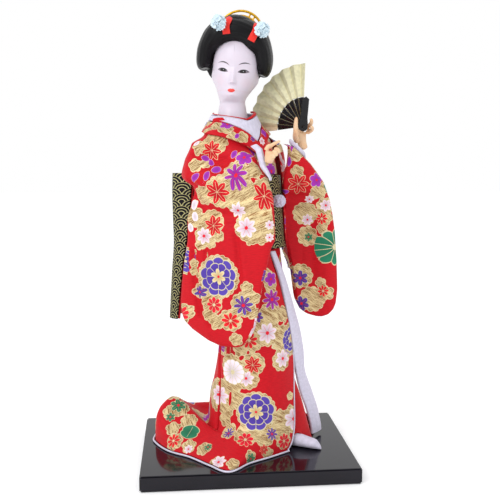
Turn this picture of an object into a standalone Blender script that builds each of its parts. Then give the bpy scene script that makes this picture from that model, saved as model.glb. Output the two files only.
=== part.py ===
"""Geisha figurine on a lacquered board, about 300 mm tall.

Metres, +Z up.  The figure looks toward -Y.  The board's underside lies on Z = 0
and the board is centred on the origin.
"""
import math

import bmesh
import bpy
import numpy as np
from mathutils import Vector
from mathutils.bvhtree import BVHTree

for old in list(bpy.data.objects):
    bpy.data.objects.remove(old, do_unlink=True)

# Board
BASE_WIDTH = 0.138
BASE_DEPTH = 0.108
BASE_THICK = 0.010
BASE_BEVEL = 0.0009

# Clearances and cloth
GAP = 0.0003
CLOTH = 0.0012
BAND_THICK = 0.0026
PIPING_RADIUS = 0.0006

# Peg and trunk
POST_RADIUS = 0.003
POST_SINK = 0.006
POST_RISE = 0.040
LEG_RADIUS = 0.017
FORM_TOP = 0.1985
FORM_SLACK = 0.0006
FORM_TUCK = 0.0055

# Levels above the board
SKIRT_TOP = 0.1335
OBI_TOP = 0.1815
OBI_THICK = 0.0020

# Sleeves
SLEEVE_EDGE = 0.0012
SLEEVE_ROOM = 0.0030
SLEEVE_PUFF = 0.0030
ARM_PUFF = 0.0060
CUFF_WIDTH = 0.0047

# Head and hair
HEAD_YAW = -8.0
HEAD_ROLL = 7.0
FACE_WIDTH = 0.0152
WIG_GAP = 0.0004
WIG_DEPTH = 0.0165
COMB_RADIUS = 0.0155
COMB_THICK = 0.0012
COMB_HOOP = 0.0016
RIBBON_WIDTH = 0.0040
RIBBON_THICK = 0.0007
FLOWER_RADIUS = 0.0046

# Fan
FAN_RADIUS = 0.0405
FAN_INNER = 0.0190
FAN_FOLDS = 8
FAN_FOLD_DEPTH = 0.0011
FAN_PAPER = 0.0005
GUARD_WIDTH = 0.0044
GUARD_THICK = 0.0012
RIVET_RADIUS = 0.0011

# Foot and sash ball
FOOT_LENGTH = 0.0260
FOOT_WIDTH = 0.0090
FOOT_HEIGHT = 0.0082
POMPOM_RADIUS = 0.0043

# Points round the trunk and round the head
SIDES = 28
HEAD_SIDES = 24

MM = 0.001


def curve(knots, values, at):
    """Smooth curve through the values at the knots, read at the given places."""
    knots = np.asarray(knots, float)
    values = np.asarray(values, float)
    at = np.asarray(at, float)
    slope = np.gradient(values, knots, axis=0)
    i = np.clip(np.searchsorted(knots, at, side="right") - 1, 0, len(knots) - 2)
    span = knots[i + 1] - knots[i]
    s = (at - knots[i]) / span
    if values.ndim > 1:
        extra = (1,) * (values.ndim - 1)
        s = s.reshape(s.shape + extra)
        span = span.reshape(span.shape + extra)
    s2 = s * s
    s3 = s2 * s
    return (
        (2 * s3 - 3 * s2 + 1) * values[i]
        + (s3 - 2 * s2 + s) * span * slope[i]
        + (3 * s2 - 2 * s3) * values[i + 1]
        + (s3 - s2) * span * slope[i + 1]
    )


def unit(v):
    length = np.linalg.norm(v, axis=-1, keepdims=True)
    return v / np.maximum(length, 1e-12)


def bearing(angle):
    """Level direction at an angle in degrees, from -Y round toward +X."""
    a = np.radians(angle)
    return np.stack([np.sin(a), -np.cos(a), 0 * a], -1)


def material(name, colour, rough, metallic=0.0):
    mat = bpy.data.materials.new(name)
    mat.use_nodes = True
    bsdf = mat.node_tree.nodes["Principled BSDF"]
    bsdf.inputs["Base Color"].default_value = (*colour, 1.0)
    bsdf.inputs["Roughness"].default_value = rough
    bsdf.inputs["Metallic"].default_value = metallic
    mat.diffuse_color = (*colour, 1.0)
    return mat


def add(name, verts, faces, mat, smooth=True):
    """New object from points and faces, with its faces turned outward."""
    mesh = bpy.data.meshes.new(name)
    mesh.from_pydata([tuple(v) for v in verts], [], faces)
    bm = bmesh.new()
    bm.from_mesh(mesh)
    bmesh.ops.recalc_face_normals(bm, faces=bm.faces)
    bm.to_mesh(mesh)
    bm.free()
    obj = bpy.data.objects.new(name, mesh)
    bpy.context.scene.collection.objects.link(obj)
    if mat is not None:
        mesh.materials.append(mat)
    if smooth:
        mesh.shade_smooth()
        mesh.set_sharp_from_angle(angle=math.radians(50))
    return obj


def grid_normals(p, round_u=False):
    """Unit normals of a grid of points, by differences along both ways."""
    if round_u:
        du = np.roll(p, -1, 0) - np.roll(p, 1, 0)
    else:
        du = np.gradient(p, axis=0)
    dv = np.gradient(p, axis=1)
    return unit(np.cross(du, dv))


def sheet(name, p, thick, mat, round_u=False, floor=None, shift=0.0):
    """Closed sheet of the given thickness about a grid of points."""
    nu, nv = p.shape[:2]
    thick = np.broadcast_to(np.asarray(thick, float), (nu, nv))[..., None]
    n = grid_normals(p, round_u)
    top = p + n * (thick / 2 + shift)
    low = p - n * (thick / 2 - shift)
    if floor is not None:
        top[..., 2] = np.maximum(top[..., 2], floor)
        low[..., 2] = np.maximum(low[..., 2], floor)
    verts = np.concatenate([top.reshape(-1, 3), low.reshape(-1, 3)])
    off = nu * nv
    faces = []
    last = nu if round_u else nu - 1
    for i in range(last):
        k = (i + 1) % nu
        for j in range(nv - 1):
            a = i * nv + j
            b = k * nv + j
            faces.append((a, b, b + 1, a + 1))
            faces.append((off + a, off + a + 1, off + b + 1, off + b))
        for j in (0, nv - 1):
            a = i * nv + j
            b = k * nv + j
            faces.append((a, off + a, off + b, b) if j == 0 else (a, b, off + b, off + a))
    if not round_u:
        for i in (0, nu - 1):
            for j in range(nv - 1):
                a = i * nv + j
                faces.append((a, a + 1, off + a + 1, off + a))
    return add(name, verts, faces, mat)


def loft(name, rings, mat, smooth=True):
    """Closed solid through a stack of closed rings with flat ends."""
    rings = np.asarray(rings, float)
    m, n = rings.shape[:2]
    verts = rings.reshape(-1, 3)
    faces = []
    for i in range(m - 1):
        for j in range(n):
            k = (j + 1) % n
            faces.append((i * n + j, i * n + k, (i + 1) * n + k, (i + 1) * n + j))
    faces.append(tuple(range(n)))
    faces.append(tuple((m - 1) * n + j for j in reversed(range(n))))
    return add(name, verts, faces, mat, smooth)


def tube(name, path, radius, mat, sides=8, flat=1.0, up=(0, 0, 1)):
    """Rod along a path, carried without twist, with a radius for each point."""
    path = np.asarray(path, float)
    radius = np.broadcast_to(np.asarray(radius, float), (len(path),))
    along = unit(np.gradient(path, axis=0))
    over = unit(np.asarray(up, float) - along[0] * (along[0] @ np.asarray(up, float)))
    a = np.linspace(0, 2 * math.pi, sides, endpoint=False)
    rings = []
    for p, d, r in zip(path, along, radius):
        over = unit(over - d * (over @ d))
        side = np.cross(d, over)
        rings.append(p + np.outer(np.cos(a) * r, side) + np.outer(np.sin(a) * r * flat, over))
    return loft(name, rings, mat)


def boolean(obj, cutter, operation, keep_cutter=False):
    """Applies one exact Boolean to an object."""
    mod = obj.modifiers.new("cut", "BOOLEAN")
    mod.operation = operation
    mod.solver = "EXACT"
    mod.object = cutter
    bpy.context.view_layer.update()
    deps = bpy.context.evaluated_depsgraph_get()
    mesh = bpy.data.meshes.new_from_object(obj.evaluated_get(deps))
    obj.modifiers.clear()
    obj.data = mesh
    bm = bmesh.new()
    bm.from_mesh(mesh)
    bmesh.ops.dissolve_degenerate(bm, dist=2e-6, edges=bm.edges)
    bm.to_mesh(mesh)
    bm.free()
    if not keep_cutter:
        bpy.data.objects.remove(cutter, do_unlink=True)
    return obj


def box(name, low, high, mat, bevel=0.0):
    verts = [
        (x, y, z)
        for x in (low[0], high[0])
        for y in (low[1], high[1])
        for z in (low[2], high[2])
    ]
    faces = [
        (0, 1, 3, 2), (4, 6, 7, 5), (0, 4, 5, 1),
        (2, 3, 7, 6), (0, 2, 6, 4), (1, 5, 7, 3),
    ]
    obj = add(name, verts, faces, mat, smooth=False)
    if bevel:
        bm = bmesh.new()
        bm.from_mesh(obj.data)
        bmesh.ops.bevel(bm, geom=bm.edges, offset=bevel, segments=2, affect="EDGES")
        bm.to_mesh(obj.data)
        bm.free()
    return obj


def cylinder(name, x, y, low, high, radius, mat, sides=20):
    a = np.linspace(0, 2 * math.pi, sides, endpoint=False)
    ring = np.stack([x + radius * np.cos(a), y + radius * np.sin(a)], -1)
    rings = [np.column_stack([ring, np.full(sides, z)]) for z in (low, high)]
    return loft(name, rings, mat)


LACQUER = material("lacquer", (0.02, 0.02, 0.025), 0.15)
WOOD = material("wood", (0.60, 0.45, 0.28), 0.7)
PADDING = material("padding", (0.85, 0.82, 0.75), 0.95)
SKIN = material("skin", (0.86, 0.82, 0.88), 0.45)
HAND = material("hand_skin", (0.93, 0.78, 0.60), 0.5)
HAIR = material("hair", (0.02, 0.02, 0.024), 0.45)
GOLD = material("gold", (0.83, 0.60, 0.12), 0.3, 1.0)
RIBBON = material("ribbon", (0.80, 0.10, 0.08), 0.5)
BLOSSOM = material("blossom", (0.72, 0.82, 0.90), 0.8)
WHITE = material("white_cloth", (0.80, 0.78, 0.86), 0.8)
RED = material("red_cloth", (0.72, 0.03, 0.05), 0.7)
BROCADE = material("brocade", (0.70, 0.12, 0.10), 0.55)
BLACK = material("black_brocade", (0.06, 0.055, 0.05), 0.5)
PAPER = material("fan_paper", (0.62, 0.60, 0.36), 0.4)
RIB = material("fan_black", (0.02, 0.02, 0.02), 0.2)

# The board with its peg hole
DECK = BASE_THICK
POST_X = 0.008
POST_Y = 0.005
board = box(
    "base_board",
    (-BASE_WIDTH / 2, -BASE_DEPTH / 2, 0.0),
    (BASE_WIDTH / 2, BASE_DEPTH / 2, BASE_THICK),
    LACQUER,
    BASE_BEVEL,
)
boolean(
    board,
    cylinder("hole", POST_X, POST_Y, DECK - POST_SINK, DECK + 0.01, POST_RADIUS + GAP, None),
    "DIFFERENCE",
)
cylinder(
    "support_post", POST_X, POST_Y,
    DECK - POST_SINK + GAP, DECK + POST_RISE, POST_RADIUS, WOOD, 16,
)

# Cross-sections of the clothed trunk: level above the board, centre, half width
# across the shoulders, half depth from front to back.  Millimetres.
TRUNK = np.array([
    (0, 10.0, 5.0, 27.0, 25.0),
    (35, 10.0, 5.0, 28.0, 25.5),
    (62, 9.0, 4.0, 28.5, 25.5),
    (90, 8.0, 3.0, 25.5, 23.0),
    (120, 6.0, 2.0, 24.0, 21.5),
    (140, 4.5, 1.0, 21.5, 19.0),
    (155, 4.0, 0.0, 21.0, 18.0),
    (172, 2.5, -1.0, 22.0, 18.0),
    (186, 0.0, -2.0, 25.0, 17.8),
    (198, -3.0, -2.5, 27.0, 17.2),
    (205, -4.5, -2.5, 26.5, 16.0),
    (209, -5.5, -1.5, 24.0, 15.6),
    (212, -6.6, 0.0, 19.0, 15.6),
    (214, -7.0, 0.4, 16.6, 15.2),
])
TRUNK_TURN = 45.0


def trunk(level, theta, grow=0.0):
    """Points of the clothed trunk at levels and bearings, grown outward."""
    row = curve(TRUNK[:, 0] * MM, TRUNK[:, 1:] * MM, level)
    turn = np.radians(np.asarray(theta, float) - TRUNK_TURN)
    half_w = row[..., 2] + grow
    half_d = row[..., 3] + grow
    r = 1 / np.sqrt((np.cos(turn) / half_d) ** 2 + (np.sin(turn) / half_w) ** 2)
    out = bearing(theta)
    x = row[..., 0] + out[..., 0] * r
    y = row[..., 1] + out[..., 1] * r
    return np.stack([x, y, DECK + level + 0 * r], -1)


# Padded trunk, slimmer toward the board, with a socket for the peg
form_levels = np.concatenate([
    [GAP],
    np.linspace(0.030, SKIRT_TOP, 5),
    np.linspace(SKIRT_TOP + 0.004, FORM_TOP, 6),
])
form_rings = []
for z in form_levels:
    th = np.linspace(0, 360, SIDES, endpoint=False)
    lift = 1.0 if z > SKIRT_TOP + GAP else 0.0
    full = trunk(np.full(SIDES, z), th, -(CLOTH + FORM_SLACK + FORM_TUCK * (1 - lift)))
    mid = full.mean(0)
    slim = np.array([POST_X, POST_Y, mid[2]])
    leg = slim + bearing(th) * LEG_RADIUS
    w = np.clip((z - 0.056) / 0.030, 0, 1)
    w = w * w * (3 - 2 * w)
    form_rings.append(leg + (full - leg) * w)
form = loft("body_form", form_rings, PADDING)
boolean(
    form,
    cylinder("hole", POST_X, POST_Y, 0.0, DECK + POST_RISE + GAP, POST_RADIUS + GAP, None, 16),
    "DIFFERENCE",
)

# The skirt's net: 14 columns from the front edge round the left and the back.
# Upper rows by bearing and radius, lower rows as points above the board, mm.
SKIRT_TURN = {
    "top": (28, 12, -8, -30, -52, -74, -94, -114, -138, -165, -195, -228, -268, -312),
    "hip": (57, 33, 9, -17, -43, -68, -89, -108, -132, -160, -190, -222, -254, -287),
    "thigh": (62, 36, 10, -17, -43, -68, -89, -108, -131, -157, -187, -217, -243, -268),
}
SKIRT_ROWS = {
    "knee": (
        (31, -13, 35), (22, -19.5, 35), (11, -23.5, 35), (1, -22.5, 35), (-9, -17.5, 35),
        (-17, -9, 35), (-20.8, -1.5, 35), (-22, 6, 35), (-21, 15, 35), (-13, 27, 35),
        (2, 33, 35), (19, 31, 35), (31, 23, 35), (36.5, 13, 35),
    ),
    "valley": (
        (31.2, -14.5, 20), (22.5, -21.5, 20), (10.5, -26, 19), (-0.5, -25.5, 18.5),
        (-10.5, -19.5, 16.5), (-18.5, -11, 13.5), (-23.5, -3, 11.5), (-25.5, 6, 10.5),
        (-26.5, 16, 11.5), (-20, 28, 13.5), (0, 36, 18), (20, 34, 20), (33, 25, 20),
        (39, 14, 20),
    ),
    "ridge": (
        (30.6, -16.5, 12.5), (20.5, -24.5, 13), (8, -30, 13), (-4, -31.5, 12.5),
        (-14, -23.5, 12), (-21.5, -14, 12), (-28.5, -4.5, 15.3), (-37.5, 8, 20.5),
        (-46, 19, 26), (-37.5, 29, 18.5), (-18, 37.5, 16), (12, 40, 15), (37, 31, 13),
        (44, 16, 13),
    ),
    "groove": (
        (29, -19.3, 6.5), (17.5, -27.5, 7.5), (4.5, -34.5, 7.5), (-8, -41, 7),
        (-18, -31, 7.8), (-27.5, -18.5, 9), (-36, -9, 11), (-47.5, 1.5, 14.5),
        (-55.3, 15, 23), (-46, 33, 16), (-23, 42, 11.5), (13, 43.8, 10.5), (40.5, 34, 9),
        (47.5, 17.3, 9),
    ),
    "flare": (
        (27, -21.2, 2.8), (14.5, -29.8, 3.6), (1.5, -37.6, 3.9), (-12, -48.0, 3.4),
        (-22, -37.5, 4.4), (-33, -22.5, 5.4), (-44.5, -12.3, 7.4), (-55.3, -1.0, 9.8),
        (-60, 12.5, 14), (-51, 35, 9.5), (-26, 45, 6.5), (14, 46.2, 5.5), (43.3, 36, 4.8),
        (50.3, 18.3, 4.8),
    ),
    "hem": (
        (24.6, -22.7, 0.9), (11.6, -31.6, 0.9), (-1.5, -39.6, 0.9), (-14.3, -51.2, 0.9),
        (-24.5, -41, 0.9), (-37, -26, 0.9), (-50, -15, 0.9), (-58.3, -1, 0.9),
        (-60.2, 11, 0.9), (-52, 36, 0.9), (-27, 46, 0.9), (14, 47, 0.9), (45, 37, 0.9),
        (52, 19, 0.9),
    ),
}
ROW_KNOTS = np.array([0, 0.19, 0.38, 0.56, 0.66, 0.745, 0.83, 0.92, 1.0])


def skirt_net():
    """The skirt's control points as rows by columns."""
    rows = []
    for key, level in (("top", SKIRT_TOP), ("hip", 0.090), ("thigh", 0.062)):
        th = np.array(SKIRT_TURN[key], float)
        tuck = np.zeros(len(th))
        tuck[-1] = 0.0042
        tuck[-2] = 0.0020
        pts = trunk(np.full(len(th), level), th, -CLOTH / 2)
        rows.append(pts - bearing(th) * tuck[:, None])
    for key in ("knee", "valley", "ridge", "groove", "flare", "hem"):
        pts = np.array(SKIRT_ROWS[key], float) * MM
        pts[:, 2] += DECK
        rows.append(pts)
    return np.array(rows)


NET = skirt_net()
COLUMNS = NET.shape[1]


def pleats(u, t):
    """Depth of the two pleat grooves and the soft folds, as a share of 1 mm."""
    depth = 0 * u
    for centre, width, deep, start, end in (
        (5.05, 0.10, 1.7, 0.20, 0.74),
        (4.15, 0.085, 0.8, 0.30, 0.66),
    ):
        lane = np.exp(-(((u - centre - 0.25 * (t - 0.4)) / width) ** 2))
        fade = np.clip((t - start) / 0.08, 0, 1) * np.clip((end - t) / 0.10, 0, 1)
        depth = depth + deep * lane * fade
    return depth


def skirt_points(u, t):
    """Mid surface of the skirt at columns u (0 to 13) and rows t (0 to 1)."""
    rows = curve(np.arange(COLUMNS), np.swapaxes(NET, 0, 1), u)
    pts = curve(ROW_KNOTS, np.swapaxes(rows, 0, 1), t)
    return np.swapaxes(pts, 0, 1)


u_line = np.concatenate([
    np.linspace(0, 4.0, 9)[:-1],
    [4.0, 4.15, 4.3, 4.65, 4.9, 5.05, 5.2, 5.55],
    np.linspace(6, COLUMNS - 1, 13),
])
t_line = np.concatenate([np.linspace(0, 0.56, 6)[:-1], np.linspace(0.56, 1, 10)])
skirt_grid = skirt_points(u_line, t_line)
uu, tt = np.meshgrid(u_line, t_line, indexing="ij")
skirt_n = grid_normals(skirt_grid)
inward = np.where((skirt_n * (skirt_grid - skirt_grid.mean(0))).sum(-1) > 0, -1, 1)
skirt_grid = skirt_grid + skirt_n * (inward * pleats(uu, tt) * MM)[..., None]
sheet("kimono_skirt", skirt_grid, CLOTH, BROCADE, floor=DECK + GAP)

# White piping along the front edge and the hem, laid outside the skirt's edge
edge_t = t_line[t_line > 0.36]
edge = skirt_points(np.array([0.0, 0.15]), edge_t)
out_edge = unit(edge[0] - edge[1])
edge_line = edge[0] + out_edge * (PIPING_RADIUS + 2 * GAP)
hem = skirt_points(u_line, np.array([0.98, 1.0]))[:, 1]
run = np.gradient(hem, axis=0)
out_hem = np.stack([run[:, 1], -run[:, 0], 0 * run[:, 0]], -1)
away = np.sign((out_hem * (hem - hem.mean(0))).sum(-1))
out_hem = unit(out_hem * away[:, None])
hem_line = hem + out_hem * (CLOTH / 2 + PIPING_RADIUS + 2 * GAP)
hem_line[:, 2] = DECK + GAP + PIPING_RADIUS
corner = unit(out_edge[-1] * (1, 1, 0) + out_hem[0]) * 1.5
corner = hem[0] + corner * (CLOTH / 2 + PIPING_RADIUS + 2 * GAP)
corner[2] = hem_line[0, 2]
piping_path = np.concatenate([edge_line[:-2], corner[None], hem_line[1:]])
tube("hem_piping", piping_path, PIPING_RADIUS, WHITE, sides=5, up=(0, 1, 0))

# Padded white band inside the front opening: level, inner bearing, outer bearing,
# flare of the outer edge, on the trunk; then points where it leaves the trunk.
BAND_UPPER = (
    (0.1325, 31.5, 44.0, 0.0000),
    (0.1170, 44.0, 58.0, 0.0005),
    (0.1030, 53.5, 70.0, 0.0015),
    (0.0900, 60.0, 78.0, 0.0030),
    (0.0770, 64.5, 84.0, 0.0043),
    (0.0620, 67.0, 88.0, 0.0050),
)
BAND_LOWER = (
    ((34.4, -4.5, 49.0), (41.3, 3.5, 48.0)),
    ((37.6, -3.5, 35.5), (46.2, 5.5, 34.0)),
    ((42.4, -1.5, 22.0), (51.0, 8.0, 20.0)),
    ((45.8, 0.5, 9.5), (54.0, 10.5, 8.0)),
    ((46.6, 1.5, 3.0), (54.8, 11.5, 2.4)),
)


def band_points(across, along):
    """Mid surface of the lining band, across 0 to 1 and along 0 to 1."""
    inner = []
    outer = []
    for level, first, second, flare in BAND_UPPER:
        inner.append(trunk(np.float64(level), first, -CLOTH / 2))
        outer.append(trunk(np.float64(level), second, -CLOTH / 2 + flare))
    for first, second in BAND_LOWER:
        inner.append(np.array(first) * MM + (0, 0, DECK))
        outer.append(np.array(second) * MM + (0, 0, DECK))
    knots = np.linspace(0, 1, len(inner))
    a = curve(knots, np.array(inner), along)
    b = curve(knots, np.array(outer), along)
    return a[None] + (b - a)[None] * np.asarray(across)[:, None, None]


band_grid = band_points(np.linspace(0, 1, 4), np.linspace(0, 1, 15))
band_puff = np.sin(np.linspace(0.15, 0.85, 4) * math.pi)[:, None] * np.ones(15)
sheet("lining_band", band_grid, BAND_THICK * (0.35 + 0.65 * band_puff), WHITE, floor=DECK + GAP)

# Red underskirt panel, draped over the foot
UNDER_ROWS = (
    ((20.5, -8.5, 60), (26.4, -6.2, 60), (30.0, -1.5, 60), (29.5, 5, 60)),
    ((20.5, -10.8, 45), (27.4, -8.0, 45), (32.6, -3.8, 45), (33.0, 3.5, 45)),
    ((20, -13, 30), (28.2, -10.2, 30), (37.2, -5.6, 30), (37.2, 2.5, 30)),
    ((19.5, -15.5, 15), (28.6, -12.6, 15), (41.0, -5.8, 15), (41.2, 1.8, 15)),
    ((18, -18.0, 0.9), (27.3, -16.8, 0.9), (44.8, -4.2, 0.9), (43.4, 1.0, 0.9)),
)


def under_points(u, t):
    rows = np.array(UNDER_ROWS, float) * MM
    rows[..., 2] += DECK
    a = curve(np.arange(4), np.swapaxes(rows, 0, 1), u)
    return np.swapaxes(curve(np.linspace(0, 1, 5), np.swapaxes(a, 0, 1), t), 0, 1)


under = sheet(
    "red_underskirt",
    under_points(np.linspace(0, 3, 9), np.linspace(0, 1, 7)),
    CLOTH, RED, floor=DECK + GAP,
)

# Foot in its white sock, seated on the board
FOOT_TOE = (0.0492, -0.0208)
FOOT_BEARING = 61.0


def foot_solid(name, grow, mat):
    along = bearing(FOOT_BEARING)
    side = np.array([-along[1], along[0], 0.0])
    rings = []
    a = np.linspace(0, 2 * math.pi, 14, endpoint=False)
    for s in (0.0, 0.25, 1.0, 2.4, 4.2, 7.0, 11.0, 15.5, 20.0):
        share = min(1.0, math.sqrt(max(s, 0.03) / 4.5))
        rise = min(1.0, 0.62 + s / 28.0) * min(1.0, math.sqrt(max(s, 0.05) / 3.0))
        half_w = FOOT_WIDTH / 2 * share + grow
        half_h = FOOT_HEIGHT / 2 * rise + grow
        mid = np.array([*FOOT_TOE, DECK + GAP])
        mid = mid - along * (s / 20.0 * FOOT_LENGTH - (grow if s == 0 else 0.0))
        mid = mid + np.array([0, 0, half_h - grow])
        ring = mid + np.outer(np.cos(a) * half_w, side)
        up = np.sin(a) * half_h
        up = np.maximum(up, -half_h * 0.93)
        rings.append(ring + np.outer(up, (0, 0, 1)))
    return loft(name, rings, mat)


foot_solid("foot_left", 0.0, WHITE)
boolean(under, foot_solid("foot_room", GAP * 1.6, None), "DIFFERENCE")

# Sash and bodice, both wrapped on the trunk
ring_th = np.linspace(0, 360, SIDES, endpoint=False)


def wrap(name, levels, grow, thick, mat):
    """Ring of cloth round the trunk between its first and last level."""
    pts = [trunk(np.full(SIDES, z), ring_th, grow) for z in levels]
    return sheet(name, np.swapaxes(np.array(pts), 0, 1), thick, mat, round_u=True)


obi_low = SKIRT_TOP + 2 * GAP
wrap(
    "obi", np.linspace(obi_low, OBI_TOP, 5),
    (OBI_THICK - CLOTH) / 2, OBI_THICK + CLOTH, BLACK,
)
wrap(
    "kimono_bodice",
    np.concatenate([np.linspace(OBI_TOP + 2 * GAP, 0.205, 5), [0.209, 0.212, 0.2140]]),
    -CLOTH / 2, CLOTH, BROCADE,
)

# Collars: bearing, level of the upper and of the lower edge, millimetres
COLLAR_TOP = np.array([
    (-180, 222.0), (-120, 221.5), (-67, 219.6), (-13, 217.6), (10, 216.6), (27, 215.8),
    (45, 217.4), (60, 219.0), (100, 221.5), (140, 222.5), (180, 222.0),
])
COLLAR_SEAM = np.array([
    (-180, 216.5), (-120, 216.5), (-67, 216.5), (-30, 215.5), (-13, 214.0), (5, 211.3),
    (19, 208.0), (34, 203.0), (45, 206.0), (58, 211.0), (80, 214.5), (100, 216.0),
    (140, 216.5), (180, 216.5),
])
COLLAR_LOW = np.array([
    (-180, 210.5), (-120, 210.0), (-67, 209.0), (-30, 206.0), (-13, 203.5), (5, 200.0),
    (19, 196.5), (34, 192.0), (45, 196.0), (58, 202.0), (80, 206.5), (100, 208.5),
    (140, 210.0), (180, 210.5),
])
NECK_X = -0.0070
NECK_Y = 0.0006
STAND_RADIUS = 0.0117
STAND_LEVEL = 0.2220
TRUNK_END = 0.2140
COLLAR_LIFT = GAP + CLOTH / 2 + 0.0010


def neckline(level, theta, grow):
    """Surface of the trunk, carried on above it as a stand round the neck."""
    low = trunk(np.minimum(level, TRUNK_END), theta, grow)
    stand = bearing(theta) * (STAND_RADIUS + grow)
    stand = stand + np.array([NECK_X, NECK_Y, DECK + STAND_LEVEL])
    share = np.clip((level - TRUNK_END) / (STAND_LEVEL - TRUNK_END), 0, 1.2)
    return low + (stand - low) * share[..., None]


def collar(name, top, low, grow, thick, mat, rows):
    th = np.linspace(-180, 180, 36, endpoint=False)
    high = np.interp(th, top[:, 0], top[:, 1]) * MM
    base = np.interp(th, low[:, 0], low[:, 1]) * MM
    share = np.linspace(0, 1, rows)
    level = base[:, None] + (high - base)[:, None] * share[None]
    grid = neckline(level, np.repeat(th[:, None], rows, 1), grow)
    return sheet(name, grid, thick, mat, round_u=True)


seam_gap = np.array([0.0, 0.9])
collar("inner_collar", COLLAR_TOP, COLLAR_SEAM, COLLAR_LIFT, CLOTH, WHITE, 3)
collar("kimono_collar", COLLAR_SEAM - seam_gap, COLLAR_LOW, COLLAR_LIFT + 0.0004, CLOTH, BROCADE, 4)
th = np.linspace(-105, 115, 26)
rim = neckline(
    np.interp(th, COLLAR_TOP[:, 0], COLLAR_TOP[:, 1]) * MM + 0.0012, th,
    COLLAR_LIFT,
)
tube(
    "collar_piping", rim,
    curve([-105, -67, 0, 27, 40, 100, 115], np.array([0.3, 0.3, 0.3, 0.5, 0.75, 0.75, 0.6]) * MM, th),
    RED, sides=5,
)

# Head and neck: level from the chin, half width, depth to the front and the back
HEAD_X = -0.0078
HEAD_Y = 0.0025
CHIN_LEVEL = 0.2308
HEAD_RINGS = np.array([
    (-32.0, 8.0, 9.8, 6.2), (-25, 8.8, 10.8, 7.2), (-19, 11.0, 12.9, 8.6),
    (-16.5, 11.2, 12.9, 8.8), (-13, 10.7, 12.2, 8.7), (-9, 9.5, 11.2, 8.9),
    (-5, 8.8, 10.2, 9.8), (-2.5, 8.4, 10.6, 11.0), (-0.6, 8.5, 12.6, 12.5),
    (1.5, 9.2, 14.4, 14.0), (4, 10.3, 15.1, 15.5), (7, 11.7, 15.3, 16.5),
    (10, 12.9, 15.3, 17.3), (14, 14.0, 15.1, 18.0), (18, 14.8, 15.0, 18.4),
    (24, 15.2, 15.5, 18.5), (30, 14.4, 15.2, 17.8), (36, 12.2, 13.2, 15.5),
    (41, 8.8, 9.8, 11.8), (44.5, 5.0, 5.5, 7.0), (46, 1.5, 1.7, 2.0),
])


def head_place(p):
    """From the head's own frame to the world, with its tilt and turn."""
    p = np.asarray(p, float)
    share = np.clip((p[..., 2] + 0.004) / 0.012, 0, 1)
    roll = np.radians(HEAD_ROLL) * share * share * (3 - 2 * share)
    x = p[..., 0] * np.cos(roll) + p[..., 2] * np.sin(roll)
    z = -p[..., 0] * np.sin(roll) + p[..., 2] * np.cos(roll)
    yaw = math.radians(HEAD_YAW)
    wx = x * math.cos(yaw) - p[..., 1] * math.sin(yaw)
    wy = x * math.sin(yaw) + p[..., 1] * math.cos(yaw)
    return np.stack([wx + HEAD_X, wy + HEAD_Y, z + DECK + CHIN_LEVEL], -1)


def head_rings(levels, sides, grow=0.0):
    row = curve(HEAD_RINGS[:, 0] * MM, HEAD_RINGS[:, 1:] * MM, levels)
    a = np.linspace(-math.pi, math.pi, sides, endpoint=False)[None]
    w = row[:, 0:1] * (FACE_WIDTH / 0.0152) + grow
    front = row[:, 1:2] + grow
    back = row[:, 2:3] + grow
    rise = np.clip((np.asarray(levels) - 0.028) / 0.010, 0, 1)
    z = (levels + rise * grow)[:, None] + 0 * a
    x = np.sin(a) * w
    y = np.where(np.cos(a) > 0, -np.cos(a) * front, -np.cos(a) * back)
    ear = np.exp(-(((np.abs(a) - 1.65) / 0.20) ** 2)) * np.exp(-(((z - 0.013) / 0.0045) ** 2))
    nose = np.exp(-((a / 0.13) ** 2)) * np.clip((0.021 - z) / 0.011, 0, 1)
    nose = nose * np.clip((z - 0.0078) / 0.0020, 0, 1)
    x = x + np.sign(x) * ear * 0.0016
    y = y - nose * 0.0020
    return head_place(np.stack([x, y, z], -1))


head_levels = np.array([
    -0.0320, -0.025, -0.019, -0.0165, -0.013, -0.009, -0.005, -0.0025, -0.0006, 0.0015,
    0.004, 0.007, 0.0085, 0.010, 0.013, 0.0175, 0.024, 0.031, 0.037, 0.0420, 0.046,
])
loft("head", head_rings(head_levels, HEAD_SIDES), SKIN)

# Hair: an arch over the brow with a lobe at each side, a crown and a front roll
WIG_ARCH = np.array([
    (-20.3, 17.6, 3.0, 7.0, 2.0), (-20.9, 20.0, 5.0, 10.0, 2.4), (-21.0, 25, 6.0, 13.0, 3.4),
    (-19.6, 31, 7.0, 15.2, 2.6), (-15.5, 36.7, 9.2, 16.6, 0.6), (-9.8, 40.6, 10.2, 17.2, 0.0),
    (-1.8, 41.8, 10.5, 17.4, -0.4), (6.0, 40.3, 10.5, 17.2, 0.0), (11.3, 36.1, 9.9, 16.8, 0.3),
    (15.3, 31, 7.6, 15.6, 2.2), (16.9, 25, 6.6, 13.8, 3.0), (17.1, 20.0, 5.2, 10.4, 2.3),
    (16.7, 17.6, 3.0, 7.0, 2.0),
]) * MM


def wig_arch(count, sides):
    knots = np.arange(len(WIG_ARCH), dtype=float)
    t = np.linspace(0, len(WIG_ARCH) - 1, count)
    row = curve(knots, WIG_ARCH, t)
    run = unit(np.gradient(row[:, :2], axis=0))
    a = np.linspace(0, 2 * math.pi, sides, endpoint=False)[None]
    x = row[:, 0:1] - run[:, 1:2] * np.cos(a) * row[:, 2:3]
    z = row[:, 1:2] + run[:, 0:1] * np.cos(a) * row[:, 2:3]
    y = row[:, 4:5] + np.sin(a) * row[:, 3:4] * (WIG_DEPTH / 0.0165)
    return head_place(np.stack([x, y, z], -1))


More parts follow.
